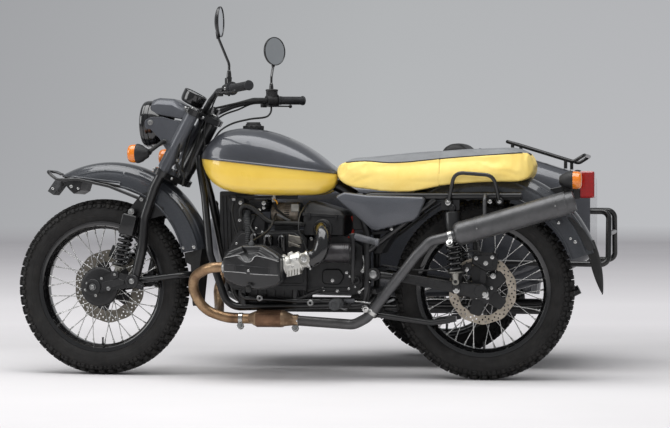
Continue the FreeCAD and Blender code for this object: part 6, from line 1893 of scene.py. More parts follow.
class MOTORCYCLE_OT_exhaust(bpy.types.Operator):
    """Makes the headers, the collector, the clamps and the silencer's fittings"""

    bl_idname = "motorcycle.exhaust"
    bl_label = "Exhaust"

    def execute(self, context):
        headers = [tube(bent(line, 150, 14), 19, 36) for line in (LEFT_HEADER, RIGHT_HEADER)]
        box = collector_box([(868, 136, 36, 231, 14), (864, 137, 40, 231, 18),
                             (846, 145, 50, 230, 26), (836, 150, 54, 230, 29.5),
                             (738, 150, 54, 230, 29.5), (728, 150, 50, 229, 27),
                             (708, 150, 34, 226, 22), (700, 150, 24, 225, 20),
                             (680, 150, 22, 223.5, 20)])
        shield = collector_box([(832, 150, 50, 230, 26), (833, 150, 54, 230, 29.5),
                                (831, 150, 54, 230, 29.5), (741, 150, 54, 230, 29.5),
                                (739, 150, 54, 230, 29.5), (740, 150, 50, 230, 26)], 2.4)
        put("header_pipes", [(joined(headers), "heated_copper"), (box, "collector_bronze"),
                             (shield, "bronze_shield")],
            "chassis", "copper_steel", ["exhaust_headers"], 40)
        flange = [lathe([(0, 20), (0, 34), (1.5, 35), (9, 35), (10, 30), (12, 28), (26, 24),
                         (30, 20)], (906, 300, 426), AHEAD, 40, closed=True),
                  bolt((914, 316, 460), AHEAD, 6, 10), bolt((914, 316, 394), AHEAD, 6, 10)]
        clamps = [band((899, 150.5, 229), AHEAD, 20, 16, (0, 0.35, -1)),
                  band((690, 150, 223.5), (1, 0, -0.06), 21, 20, (0, 0.35, -1)),
                  band((402, 157.5, 258), (-0.62, 0.05, 0.78), 19.5, 16, (0.7, 0.4, 0.4)),
                  band((106, 182, 540.5), (-0.96, 0, 0.277), 19.5, 16, (0, 0.6, -1))]
        put("exhaust_clamps", [(joined(clamps), "bright_steel"),
                               (both(joined(flange)), "zinc_steel")],
            "chassis", "bare_aluminium", angle=32)
        start = np.array([62.0, 182, 553])
        run = unit(np.array([-409.0, 0, 118]))
        rings = [lathe([(a, 30), (a, r - 0.6), (a + 0.8, r), (a + w - 0.8, r), (a + w, r - 0.6),
                        (a + w, 30)], start, run, 56, closed=True)
                 for a, w, r in ((56, 8, 43.6), (352, 10, 43.8), (392, 6, 43.6))]
        cone = lathe([(-30, 19), (-30, 26), (-27, 34), (-18, 41), (-8, 43.4), (34, 43.4),
                      (34, 30)],
                     start, run, 56, closed=True)
        mouth = lathe([(412, 12), (412, 22), (426, 22), (428, 20), (428, 16.5), (400, 16.5)],
                      start, run, 40, closed=True)
        rivets = [bolt(start + run * a + np.array([0, 43.4, 0]), LEFT, 3.2, 2, washer=False)
                  for a in (60, 357)]
        put("silencer_fittings", [(joined(rings + [cone, mouth]), "exhaust_black"),
                                  (joined(rivets), "zinc_steel")],
            "chassis", "exhaust_black", angle=32)
        return {"FINISHED"}


# ---- Foot controls ---------------------------------------------------------------------------
class MOTORCYCLE_OT_foot_controls(bpy.types.Operator):
    """Makes the ribbed pegs, the kick pedal and the shift linkage"""

    bl_idname = "motorcycle.foot_controls"
    bl_label = "Foot controls"

    def execute(self, context):
        ribbed = [(0, 0), (0, 15)]
        for k in range(9):
            ribbed += [(2 + 9.4 * k, 20.5), (7.2 + 9.4 * k, 20.5), (8 + 9.4 * k, 18.6),
                       (10.6 + 9.4 * k, 18.6)]
        ribbed += [(87, 20.5), (89, 17), (89, 12), (87, 11), (87, 0)]
        rubber = lathe(ribbed, (521, 198, 290), LEFT, 36)
        bar = lathe([(0, 0), (0, 9), (95, 9), (95, 0)], (504, 107, 284), (0.17, 1, 0.06), 20)
        knuckle = block((488, 110, 270), (516, 124, 300), 3, 6)
        shaft = tube(bent([(469, 92.5, 372), (469, 196, 372), (466, 204, 384), (464, 205, 540)],
                          12, 7), 8.5, 20)
        boss = joined([lathe([(0, 0), (0, 15), (22, 15), (24, 12), (24, 0)], (469, 92.4, 372),
                             LEFT, 24),
                       lathe([(-14, 0), (-14, 12), (-12, 14), (12, 14), (14, 12), (14, 0)],
                             (464, 205, 536), (0.2, 0, 1), 20)])
        sleeve = [(0, 0), (0, 11)]
        for k in range(11):
            sleeve += [(2 + 7.2 * k, 13.4), (6 + 7.2 * k, 13.4), (6.6 + 7.2 * k, 12.2),
                       (8.6 + 7.2 * k, 12.2)]
        sleeve += [(83, 14.6), (92, 14.6), (94, 12), (94, 0)]
        tread = lathe(sleeve, (459, 205, 539), (-90, 0, -23), 28)
        parts = [(both(rubber), "worn_rubber"), (both(bar), "satin_black"),
                 (both(knuckle), "satin_black"), (boss, "satin_black"), (shaft, "frame_black"),
                 (tread, "pedal_rubber")]
        put("pegs_and_kick_pedal", parts, "chassis", "black_plastic", ["foot_controls"], 34)
        rod = [bead([(500, 121, 295), (460, 121, 295), (412, 123, 288)], 3.2, 12, 30),
               bead([(590, 100, 341), (640, 118, 320), (690, 122, 302)], 5.5, 12, 30),
               bead([(636, 126, 289), (610, 124, 294), (584, 118, 301)], 5, 12, 30)]
        grip = lathe([(0, 0), (0, 7), (2, 8.5), (38, 8.5), (40, 7), (40, 0)], (512, 121, 295.5),
                     (-1, 0, 0.03), 20)
        rail = tube(bent([(905, 118, 318), (890, 120, 304), (690, 120, 294), (560, 116, 296)],
                         10), 8.5, 20)
        washers = [lathe([(0, 5.2), (0, 11), (1.5, 12), (5, 12), (6.5, 10), (6.5, 5.2)],
                         (x, 127, z), LEFT, 30, closed=True)
                   for x, z in ((832, 304), (639, 288))]
        pivot = lathe([(0, 0), (0, 15), (2, 15.6), (8, 15.6), (11, 13), (12.5, 0)],
                      (400, 132.5, 396), LEFT, 32)
        ball = joined([lathe([(0, 0), (0, 8), (4, 9), (8, 6), (8, 0)], (441, 128, 409),
                             LEFT, 20),
                       bead([(441, 124, 466), (434, 124, 432), (442, 124, 411)], 4.5),
                       bead([(415, 124, 370), (430, 124, 352), (456, 126, 330)], 4)])
        put("shift_linkage", [(joined([rod[0], ball]), "bright_steel"), (grip, "pedal_rubber"),
                              (joined(rod[1:]), "satin_black"),
                              (rail, "frame_black"),
                              (joined(washers + [pivot]), "zinc_steel")],
            "chassis", "bare_aluminium", angle=34)
        return {"FINISHED"}


# ---- Front end -------------------------------------------------------------------------------
LAMP_HEIGHT = 964
GAUGE_AHEAD = 107
GRIP_LENGTH = 122
SWITCH_LENGTH = 44
BAR_SEAT = 22
YOKE_TOP, YOKE_FOOT, TUBE_LEFT, TUBE_AHEAD = 99, -162, 100, 55


def in_fork(shape):
    """Carries a shape given forward, left and up in the fork's axes into the motorcycle's."""
    lean = np.array([[math.cos(RAKE), 0, math.sin(RAKE)], [0, 1, 0],
                     [-math.sin(RAKE), 0, math.cos(RAKE)]])
    return HEAD + shape[0] @ lean, shape[1]


def hose(points, radius, bend=40, sides=12):
    """Round hose along straight runs with rounded corners."""
    return tube(bent(points, bend, 10), radius, sides)


def numeral(text, size):
    """Flat outline letters of a dial as points (across, up) and faces."""
    data = bpy.data.curves.new("numeral", "FONT")
    data.body = text
    data.size = size
    data.align_x = "CENTER"
    data.align_y = "CENTER"
    return flat_curve(data)


def headlight_shell():
    """Bowl of the lamp with its stepped ring, as profiles turned round the lamp's axis."""
    centre = (0, 0, LAMP_HEIGHT)
    back = curve([(1279, 87), (1262, 86), (1238, 78), (1214, 58), (1202, 30), (1200, 0)], 28)
    ring = [(1300, 77.6), (1309, 78.6), (1312, 81), (1311, 85), (1307, 88.5), (1300, 90),
            (1296, 90.3), (1294.5, 89), (1293, 90.6), (1282, 91), (1279, 90), (1277.5, 87.4),
            (1277, 80)]
    mirror = [(1216 + r * r / 74.0, r) for r in np.linspace(9, 77.2, 16)]
    mirror += [(x - 1.2, r + 0.4) for x, r in mirror[::-1]]
    bulb = [(1222, 0), (1222, 9), (1236, 9), (1240, 6.5), (1262, 6.5), (1266, 4), (1267, 0)]
    axis = AHEAD
    return [(lathe(back, centre, axis, 72), "gloss_black"),
            (lathe(ring, centre, axis, 96, closed=True), "gloss_black"),
            (lathe(mirror, centre, axis, 72, closed=True), "reflector"),
            (lathe(bulb, centre, axis, 20), "bright_steel")]


def gauge():
    """Round instrument: pod, rolled rim, dial with marks and numerals, needle and glass."""
    centre, up = (GAUGE_AHEAD, 0, 0), UP
    pod = curve([(111, 24), (112, 36), (117, 43), (130, 46.5), (157, 47.5)], 20).tolist()
    pod += [(160, 46.5), (161.5, 44.5), (160.5, 42), (157, 41), (152, 40.8), (152, 0)]
    foot = lathe([(110.3, 22), (124, 22), (124, 0)], (88, 0, 0), up, 40)
    arm = block((66, -22, 112), (108, 22, 122), 2)
    shapes = [(in_fork(lathe([(111, 0)] + pod, centre, up, 72)), "gloss_black"),
              (in_fork(joined([foot, arm])), "satin_black")]
    dial = in_fork(lathe([(151.8, 0), (151.8, 40.6), (152.6, 40.6), (152.6, 0)], centre, up, 64))
    shapes.append((dial, "dial_face"))
    marks = []
    for i in range(29):
        angle = math.radians(225 - i * 270 / 28) + math.pi / 2
        inner, half = (36, 0.45) if i % 4 else (33, 0.8)
        mark = block((inner, -half, 152.6), (39, half, 153.0), 0.1)
        marks.append(moved(spun(mark, up, angle), GAUGE_AHEAD))
        if i % 4 == 0:
            points, faces = numeral(str(5 * i), 7.5)
            spot = turned([(27, 0, 0)], up, angle)[0] + (GAUGE_AHEAD, 0, 153.0)
            marks.append((points[:, [1, 0, 2]] * (1, -1, 1) + spot, faces))
    needle = block((-8, -0.9, 154.0), (31, 0.9, 155.0), 0.3)
    marks.append(moved(spun(needle, up, math.radians(225 + 90)), GAUGE_AHEAD))
    hub = lathe([(153, 4), (156, 4), (156.6, 3.2), (156.6, 0)], centre, up, 20)
    shapes += [(in_fork(joined(marks)), "dial_mark"), (in_fork(hub), "satin_black")]
    glass = lathe([(157.4, 0), (157.4, 41.2), (158.6, 41.2), (160.2, 20), (160.6, 0)], centre, up,
                  56)
    shapes.append((in_fork(glass), "clear_cover"))
    return shapes


def lamp_ear(side):
    """Painted bracket from the shroud to the lamp's pivot, with a rolled edge."""
    outline = bent([(1284, 946), (1283, 974), (1258, 985), (1214, 985), (1150, 966), (1112, 950),
                    (1142, 886), (1180, 842), (1204, 868), (1228, 906), (1262, 940)], 16, 8,
                   closed=True)
    low, high = (92, 96) if side > 0 else (-96, -92)
    ear = plate(outline, low, high, 1.2)
    rim = upright(outline, side * 96.0)
    return joined([ear, tube(rim[:int(len(rim) * 0.62)], 1.6, 8)])


def shroud(side):
    """Painted cover over an upper fork tube: flattened outside, folded ridge, cut lower end."""
    w = np.linspace(-150, 87, 26)
    angle = np.linspace(0, 2 * np.pi, 56, endpoint=False)
    reach = 25.5 * (1 - 0.05 * np.abs(np.sin(angle * 2)) ** 2)
    ridge = 1 + 0.06 * np.exp(-(((angle - np.pi * 0.62) / 0.16) ** 2))
    grow = np.interp(w, [-150, -147, 84, 87], [0.97, 1.0, 1.0, 0.97])[:, None]
    middle = np.array([TUBE_AHEAD, side * TUBE_LEFT])
    u = middle[0] + grow * (reach * ridge * np.cos(angle))[None]
    v = middle[1] + side * grow * (reach * ridge * np.sin(angle))[None]
    level = w[:, None] + 0 * angle[None]
    level = level + np.where(level < -120, (level + 120) / 30 * -0.35 * (u - middle[0]), 0)
    points = np.stack([u, v, level], -1)
    inner = points.copy()
    inner[..., :2] = middle + (points[..., :2] - middle) * 0.9
    return in_fork(surface(np.concatenate([points, inner[::-1]], 0), close_rows=True))


def cowl():
    """Hood over the lamp: flat sides, folded shoulders and a flat top that slopes to the rear."""
    # Along, top, lower edge, half width of the sides, half width of the top.
    rows = [(1272, 1047, 1000, 66, 40), (1266, 1055, 998, 72, 46), (1240, 1062, 996, 74, 50),
            (1184, 1058, 986, 74, 48), (1150, 1037, 979, 73, 46), (1126, 1020, 986, 71, 44),
            (1111, 1008, 999, 68, 42)]
    points = []
    for x, top, low, wide, narrow in rows:
        fold = top - min(26, 0.42 * (top - low))
        side = [(wide - 3, low), (wide, low + 3), (wide, fold - 3), (wide - 1.2, fold + 2),
                (narrow + 2, top - 1.6), (narrow - 3, top)]
        ring = side + [(-y, z) for y, z in reversed(side)]
        roof = [(y, min(top - 4, max(low, LAMP_HEIGHT + math.sqrt(92.0**2 - y * y))))
                for y in np.linspace(3 - wide, wide - 3, 15)[1:-1]]
        points.append([(x, y, z) for y, z in ring + roof])
    return surface(np.array(points))


def yoke_screws():
    """Pinch screws on both yokes, the stem nut, the tube caps and the bar clamp's screws."""
    up = UP
    cap = [(110, 17), (116, 17), (118, 14), (118, 8), (114, 8), (114, 0)]
    shapes = [lathe([(110, 19), (120, 19), (122, 16), (122, 8), (118, 8), (118, 0)], MIDDLE,
                    up, 6)]
    for side in (1, -1):
        shapes.append(lathe(cap, (TUBE_AHEAD, side * TUBE_LEFT, 0), up, 28))
        shapes += [cap_screw((u, side * 101, w), (way, 0, 0), 6, 7)
                   for w in (YOKE_TOP, YOKE_FOOT) for u, way in ((12, -1), (86, 1))]
        shapes += [cap_screw((70, side * 130, w), (0, side, 0), 4.6, 5) for w in (96, 104)]
        shapes += [cap_screw((u, side * v, 140.4), up, 4, 4.5)
                   for u in (BAR_SEAT - 12, BAR_SEAT + 12) for v in (39, 52)]
    return in_fork(joined(shapes))


class MOTORCYCLE_OT_headlight(bpy.types.Operator):
    """Builds the headlight, its ears and hood, the fork's shrouds and the instrument"""

    bl_idname = "motorcycle.headlight"
    bl_label = "Headlight and instrument"

    def execute(self, context):
        shell = headlight_shell() + gauge()
        stud = lathe([(78, 9), (92, 9), (92, 0)], (1262, 0, 967), LEFT, 24)
        shell.append((both(stud), "satin_black"))
        put("round_headlight", shell, "steering", "black_plastic", ["headlight"])
        outer = curve([(1303, 77.4), (1311, 74), (1318, 56), (1321, 28), (1322, 0)], 20).tolist()
        glass = lathe([(1300, 77.4)] + outer, (0, 0, LAMP_HEIGHT), AHEAD, 80)
        put("fluted_glass", [(glass, "clear_glass")], "steering", "lamp_glass",
            ["headlight_lens"])
        painted = [shroud(1), shroud(-1), lamp_ear(1), lamp_ear(-1), cowl()]
        screw = bolt((1262, 96.4, 966), LEFT, 7.5, 5)
        put("fork_covers", [(joined(painted), "grey_panel"), (both(screw), "zinc_steel")],
            "steering", "grey_paint", ["fork_shrouds"], 32)
        put("yoke_screws", [(yoke_screws(), "zinc_steel")], "steering", "spoke_steel")
        return {"FINISHED"}


# ---- Handlebar -------------------------------------------------------------------------------
BAR_BEND, BAR_END = np.array([950.0, 255, 1070]), np.array([791.0, 414, 1078])
BAR_RUN = unit(BAR_END - BAR_BEND)
GRIP_START = BAR_END - BAR_RUN * GRIP_LENGTH
SWITCH_START = GRIP_START - BAR_RUN * SWITCH_LENGTH
LEVER_PIVOT = SWITCH_START + BAR_RUN * 10 + np.array([24.0, 16.0, -16.0])


def grip():
    """Rubber grip: flanges and rings of ribs, as a radius that ripples along it."""
    along = np.linspace(-GRIP_LENGTH, 6, 150)
    ribs = 1.0 * (np.sin(along * 2 * np.pi / 5.2) > 0.2) * (along > -104) * (along < -8)
    radius = 15.2 + ribs + np.interp(along, [-GRIP_LENGTH, -GRIP_LENGTH + 30], [4, 0])
    radius = np.where(along < -GRIP_LENGTH + 5, 25.0, radius)
    radius = np.where(along > -3, 19.0 - 0.3 * np.abs(along - 1.5), radius)
    profile = [(-GRIP_LENGTH, 11.3)] + list(zip(along, radius)) + [(6.6, 12), (6.6, 0)]
    return lathe(profile, BAR_END, BAR_RUN, 40)


def switch_block():
    """Switch housing in two halves with its buttons, a rocker and a mirror boss."""
    start, run = SWITCH_START, BAR_RUN
    left = unit(np.cross(UP, run))
    profile = [(0, 12), (0, 18), (1.5, 20.5), (12, 21.5), (20.8, 21.5), (21.4, 20.6), (22, 21.5),
               (36, 22.5), (42, 21), (44, 19), (44, 12)]
    perch = start + run * 10
    black = [lathe(profile, start, run, 44),
             lathe([(0, 9.5), (26, 9.5), (28, 8), (28, 0)], perch + (0, 0, 14), UP, 24),
             hose([perch, perch + (LEVER_PIVOT - perch) * 0.6, LEVER_PIVOT], 9, 8, 20),
             lathe([(-10, 0), (-10, 12), (-8, 13), (8, 13), (10, 12), (10, 0)], LEVER_PIVOT,
                   UP, 28),
             lathe([(0, 5), (5, 5), (6, 4), (6, 0)], start + run * 14 - left * 19, -left, 20),
             lathe([(0, 4.6), (6, 4.6), (7, 3.4), (7, 0)], start + run * 22 + (0, 0, -19),
                   (0, 0, -1), 18)]
    button = lathe([(0, 6.4), (5, 6.4), (6.5, 5), (6.5, 0)], start + run * 30 - left * 18, -left,
                   20)
    crimson = lathe([(0, 8), (6, 8), (9, 6.5), (9.5, 0)], start + run * 30 + (0, 0, 17.0),
                    UP, 24)
    return joined(black), button, crimson


def lever():
    """Blade lever: an oval carried along a bent line, thinner at the tip, with its ball end."""
    run = BAR_RUN
    path = curve([LEVER_PIVOT, LEVER_PIVOT + run * 22 + (8, 8, -2), GRIP_START + (44, 44, -19),
                  GRIP_START + run * 70 + (46, 14, -21), BAR_END + (50, 4, -22)], 60)
    width = np.interp(np.linspace(0, 1, 60), [0, 0.1, 0.25, 0.9, 1], [9, 8, 6.8, 5.6, 5.2])
    blade = tube(path, width, 16)
    drop = blade[0].reshape(60, 16, 3)
    drop[..., 2] = path[:, None, 2] + (drop[..., 2] - path[:, None, 2]) * 0.55
    ball = lathe([(-7.5, 0), (-6, 4.6), (-3, 6.8), (0, 7.5), (3, 6.8), (6, 4.6), (7.5, 0)],
                 path[-1], run, 20)
    return joined([(drop.reshape(-1, 3), blade[1]), ball])


def mirror(side, height, forward, turn):
    """Round mirror: dished back, rolled rim, glass, ball neck and a bent stem."""
    base = (GRIP_START - BAR_RUN * SWITCH_LENGTH / 2 + (0, 0, 21.3)) * (1, side, 1)
    centre = np.array([900.0 + forward, side * 335, height])
    back = [(4, 53), (4, 56.5), (7, 56), (10, 53), (14, 45), (18, 33), (20, 18), (20.5, 0)]
    rim = [(4.4, 54), (4.4, 56.4), (2, 57), (-0.8, 56.4), (-1.6, 55), (-1.6, 53.6), (1.4, 53),
           (4.4, 53)]
    angle = math.radians(turn)
    body = joined([lathe(back, centre, AHEAD, 56),
                   lathe(rim, centre, AHEAD, 56, closed=True),
                   lathe([(0, 7), (16, 6), (20, 0)], centre + (10, 0, -56), UP, 20),
                   tube([centre + (10, 0, -62), centre + (12, 0, -36)], [6.5, 8.5], 18)])
    glass = lathe([(1.0, 0), (1.0, 53.4), (3.0, 53.4), (3.0, 0)], centre, AHEAD, 56)
    body, glass = spun(body, UP, angle, centre), spun(glass, UP, angle, centre)
    foot = turned([centre + (10, 0, -58)], UP, angle, centre)[0]
    knee = np.array([base[0], base[1], 1165.0])
    stem = hose([base, knee, foot], 5, 36, 16)
    sleeve = lathe([(0, 9.5), (8, 9.5), (8.4, 10.5), (16, 10.5), (16.4, 9.5), (34, 8.5),
                    (44, 7), (48, 5)], base, UP, 24)
    ring = lathe([(16, 11), (22, 11), (22, 0)], base, UP, 6)
    return body, glass, joined([stem, sleeve, ring])


MIRRORS = [(1, 1318, 18, 4), (-1, 1270, -16, -32)]      # side, height, forward, turn

# Radius, and the points that the line passes.
CONTROL_LINES = [
    (3.8, [(893, -312, 1058), (893, -311, 1030), (903, -296, 1010), (955, -218, 994),
           (1010, -150, 972), (1046, -106, 940), (1068, -76, 890), (1078, -60, 850)]),
    (3.0, [(908, 302, 1062), (952, 252, 1056), (984, 194, 1032), (1014, 130, 1006),
           (1046, 84, 968), (1058, 66, 920), (1056, 58, 860)]),
    (3.6, [(908, -302, 1062), (952, -246, 1056), (990, -180, 1030), (1040, -110, 1000),
           (1082, -66, 950), (1104, -52, 890), (1110, -48, 830)]),
    (5.5, [(1120, 60, 1008), (1112, 66, 960), (1120, 68, 900), (1140, 66, 830), (1150, 58, 770)]),
    (4.2, [(1090, 52, 1010), (1076, 60, 960), (1084, 64, 890), (1112, 62, 820), (1122, 54, 770)]),
    (3.6, [(1140, 56, 1010), (1134, 72, 960), (1146, 76, 900), (1164, 74, 840),
           (1166, 60, 790)])]
BRAKE_HOSE = [(905, -300, 1070), (960, -200, 1062), (1040, -60, 1030), (1104, 60, 1000),
              (1128, 108, 930), (1146, 118, 858), (1148, 116, 806), (1126, 108, 766),
              (1130, 104, 722)]


class MOTORCYCLE_OT_handlebar_controls(bpy.types.Operator):
    """Builds the grips, switches, levers, mirrors and the lines that leave them"""

    bl_idname = "motorcycle.handlebar_controls"
    bl_label = "Handlebar controls"

    def execute(self, context):
        black, bright, crimson = switch_block()
        parts = [(both(grip()), "grip_rubber"), (both(black), "moulded_black"),
                 (both(bright), "bright_steel"), (mirrored(crimson), "switch_red"),
                 (both(lever()), "satin_black")]
        put("grips_and_levers", parts, "steering", "black_plastic", ["hand_controls"])
        kinds = zip(*(mirror(*row) for row in MIRRORS))
        finishes = ("mirror_back", "mirror_glass", "gloss_black")
        put("round_mirrors", [(joined(kind), finish) for kind, finish in zip(kinds, finishes)],
            "steering", "black_plastic", ["mirrors"])
        reservoir = lathe([(0, 14), (0, 21), (2, 23), (26, 23), (27, 25), (31, 25), (33, 23),
                           (33, 0)], (892, -318, 1084), UP, 32)
        put("brake_reservoir", [(reservoir, "moulded_black")], "steering", "black_plastic")
        lines = [bead(points, radius, 8, 70) for radius, points in CONTROL_LINES]
        hydraulic = bead(BRAKE_HOSE, 4.2, 8, 110)
        clips = [lathe([(-5, 5.6), (5, 5.6), (5, 0)], spot, axis, 14)
                 for spot, axis in (((1138, 113, 892), (0.3, 0, -1)),
                                    ((1148, 117, 820), (0, 0, -1)))]
        put("brake_hose", [(hydraulic, "hose_black"), (joined(clips), "zinc_steel")],
            "steering", "black_plastic")
        put("control_cables", [(joined(lines), "hose_black")], "steering", "black_plastic",
            span=[(1100, 0, 985), (1100, 0, 860)])
        return {"FINISHED"}


# ---- Indicators and lamps --------------------------------------------------------------------
def round_lamp(centre, facing, depth, radius):
    """Round lamp: domed coloured lens with a bezel, a bell-shaped body behind it."""
    face = curve([(depth, radius - 1), (depth + 20, radius - 2), (depth + 29, radius - 5),
                  (depth + 33, radius - 12), (depth + 35, radius - 24), (depth + 35.4, 0)],
                 22).tolist()
    glass = lathe([(depth, 0)] + face, centre, facing, 44)
    bell = [(-28, 0), (-28, 13), (-25, 17), (-14, 23), (-4, radius - 5), (depth - 8, radius),
            (depth - 1, radius + 1), (depth + 1.5, radius), (depth + 1.5, radius - 2.5)]
    return glass, lathe(bell, centre, facing, 44)


class MOTORCYCLE_OT_lamps(bpy.types.Operator):
    """Builds the indicators, the tail lamp and the sidecar's lamps"""

    bl_idname = "motorcycle.lamps"
    bl_label = "Lamps"

    def execute(self, context):
        glass, bell = round_lamp((1264, 196, 843), AHEAD, 17, 36)
        stalk = hose([(1246, 190, 843), (1204, 125, 890), (1204, 97.3, 890)], 7.5, 12, 18)
        nut = lathe([(0, 11), (8, 11), (8, 0)], (1204, 97, 890), LEFT, 6)
        collar = lathe([(0, 12), (10, 10), (10, 0)], (1240, 184, 848), (-0.35, -0.6, 0.5), 24)
        put("front_amber_lamps", [(both(glass), "amber_lens"), (both(bell), "moulded_black"),
                                  (both(joined([stalk, collar])), "soft_black"),
                                  (both(nut), "zinc_steel")], "steering", "lamp_amber",
            ["front_indicators"])
        glass, bell = round_lamp(REAR_LAMP + (2, 0, 0), (-1, 0, 0), 20, 34)
        foot = np.array([REAR_LAMP[0] + 10, 118.0, REAR_LAMP[2] - 62])
        stalk = hose([REAR_LAMP + (16, 0, 0), REAR_LAMP + (18, -6, -14), foot], 7, 8, 18)
        collar = lathe([(-5, 11), (5, 11), (5, 0)], foot, (0, 0.4, 0.9), 24)
        put("rear_amber_lamps", [(both(glass), "amber_lens"), (both(bell), "moulded_black"),
                                 (both(joined([stalk, collar])), "soft_black")], "chassis",
            "lamp_amber", ["rear_indicators"])
        tail = block((-412, -52, 681), (-356, 52, 780), 5, 9, 6)
        rim = block((-360, -55, 677), (-338, 55, 785), 3, 9, 6)
        strip = block((-413, -50, 727), (-400, 50, 731), 1)
        bracket = plate([(-338, 700), (-338, 735), (-246, 715), (-262, 692)], -24, 24, 1.5, 4)
        put("tail_lamp_block", [(tail, "red_lens"), (rim, "moulded_black"), (strip, "red_lens"),
                                (bracket, "frame_black")], "chassis", "lamp_red", ["tail_lamp"])
        spot = np.array([280.0, -1140.0, 777.0])
        body = joined([lathe([(-26, 18), (-22, 21), (22, 21), (26, 18)], spot, AHEAD, 36),
                       tube([spot - (0, 0, 36), spot - (0, 0, 14)], 7, 18)])
        dome = [(25, 0), (25, 17), (30, 16), (36, 12), (40, 5), (40.5, 0)]
        put("sidecar_marker_lamp", [(body, "gloss_black"),
                                    (lathe(dome, spot, AHEAD, 32), "clear_cover"),
                                    (lathe(dome, spot, (-1, 0, 0), 32), "red_lens")],
            "chassis", "black_plastic", ["sidecar_lamps"])
        return {"FINISHED"}


REAR_LAMP = np.array([-320.0, 149.0, 746.0])


# ---- Arms, calipers and rails ----------------------------------------------------------------
LINK_FACE = 0.5 * (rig.box("leading_links")[1][1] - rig.box("leading_links")[0][1]) * 1000 - 8
GRAB_RAIL = [(119, 142, 660), (92, 178, 775), (-52, 182, 764), (-72, 143, 660)]


def bolts(rows, plane):
    """Hexagon heads at (along, up, radius) on one plane."""
    return joined([bolt((x, plane, z), LEFT, radius, radius * 0.75) for x, z, radius in rows])


class MOTORCYCLE_OT_link_covers(bpy.types.Operator):
    """Makes the covers and bolts of the leading links"""

    bl_idname = "motorcycle.link_covers"
    bl_label = "Link covers"

    def execute(self, context):
        face = LINK_FACE
        dark, bright = [], []
        for x, z, radius in ((1475, 338, 30), (1320, 362, 25), (1388, 386, 15)):
            dark.append(lathe([(0, radius - 4), (0, radius - 1), (1, radius), (4, radius),
                               (5.5, radius - 2), (5.5, radius - 9), (3, radius - 10), (3, 0)],
                              (x, face, z), LEFT, 40))
        dark.append(plate([(1440, 326), (1350, 350), (1348, 362), (1372, 372), (1440, 356)],
                          face, face + 3.2, 1.4, 5))
        dark.append(plate([(1296, 352), (1274, 344), (1280, 334), (1302, 336)], face, face + 3, 1,
                          3))
        bright.append(bolts([(1320, 362, 7.5), (1388, 386, 5.5), (1475, 338, 8.5),
                             (1504, 327, 3.6), (1499, 352, 3.2), (1440, 371, 3.6),
                             (1412, 333, 5.5), (1463, 306, 3.6)], face + 3.4))
        bright.append(bolts([(1329, 625, 8.5), (1288, 672, 5)], 121))
        put("front_link_covers", [(both(joined(dark)), "cast_black"),
                                  (both(joined(bright)), "zinc_steel")],
            "steering", "frame_black", angle=32)
        return {"FINISHED"}


class MOTORCYCLE_OT_rear_arm(bpy.types.Operator):
    """Makes the rear arm's castings, the caliper and its brake line"""

    bl_idname = "motorcycle.rear_arm"
    bl_label = "Rear arm"

    def execute(self, context):
        arm = [(330, 404), (262, 396), (60, 366), (0, 364), (-26, 346), (-26, 320), (-8, 308),
               (12, 308), (126, 334), (330, 374)]
        casting = [plate(arm, 107, 118, 3.5, 10, 6),
                   plate([(280, 392), (90, 362), (86, 350), (120, 345), (290, 380)], 118, 120.5,
                         1, 4)]
        for x, z, radius in ((0, 338, 24), (92, 352, 15)):
            casting.append(lathe([(0, radius), (6, radius), (8, radius - 2), (8, 0)],
                                 (x, 117, z), LEFT, 36))
        cover = [(-62, 458), (-54, 414), (-14, 408), (38, 438), (34, 468), (14, 478), (-44, 480)]
        caliper = [plate(cover, 83, 97, 4, 6),
                   plate([(-44, 470), (-40, 424), (-14, 420), (22, 442), (18, 468)], 97, 102, 2,
                         5),
                   plate([(40, 446), (70, 432), (76, 404), (62, 400), (34, 424)], 84, 93, 2, 6),
                   plate([(58, 424), (98, 430), (122, 400), (108, 372), (76, 376)], 100, 108, 2,
                         6)]
        heads = [bolts([(-16, 440, 6), (20, 458, 5), (-40, 462, 5)], 102),
                 bolts([(56, 416, 5.5)], 93), bolts([(91, 340, 8.5), (-14, 326, 10)], 121),
                 bolts([(-43, 392, 7)], 96)]
        line = bead([(-2, 98, 470), (20, 104, 486), (70, 108, 470), (120, 110, 430),
                     (200, 108, 412), (300, 106, 420), (368, 106, 430)], 3.4, 10, 60)
        put("rear_arm_castings", [(both(joined(casting)), "cast_black"),
                                  (joined(caliper), "satin_black"),
                                  (joined(heads), "bright_steel"), (line, "hose_black")],
            "chassis", "frame_black", angle=32)
        return {"FINISHED"}


class MOTORCYCLE_OT_grab_rails(bpy.types.Operator):
    """Makes the passenger's bent grab rails"""

    bl_idname = "motorcycle.grab_rails"
    bl_label = "Grab rails"

    def execute(self, context):
        rail = tube(bent(GRAB_RAIL, 42, 14), 7, 20)
        ears = [lathe([(-8, 0), (-8, 12), (-6, 14), (4, 14), (6, 12), (6, 0)], (x, 144, z),
                      LEFT, 28) for x, z in ((119, 664), (-71, 668))]
        fixed = joined([bolts([(119, 664, 7), (-71, 668, 5)], 150.5),
                        bolts([(-34, 668, 5.5)], 133)])
        put("grab_rails_bent", [(both(joined([rail] + ears)), "frame_black"),
                                (both(fixed), "bright_steel")],
            "chassis", "frame_black", ["grab_handles"], 36)
        return {"FINISHED"}


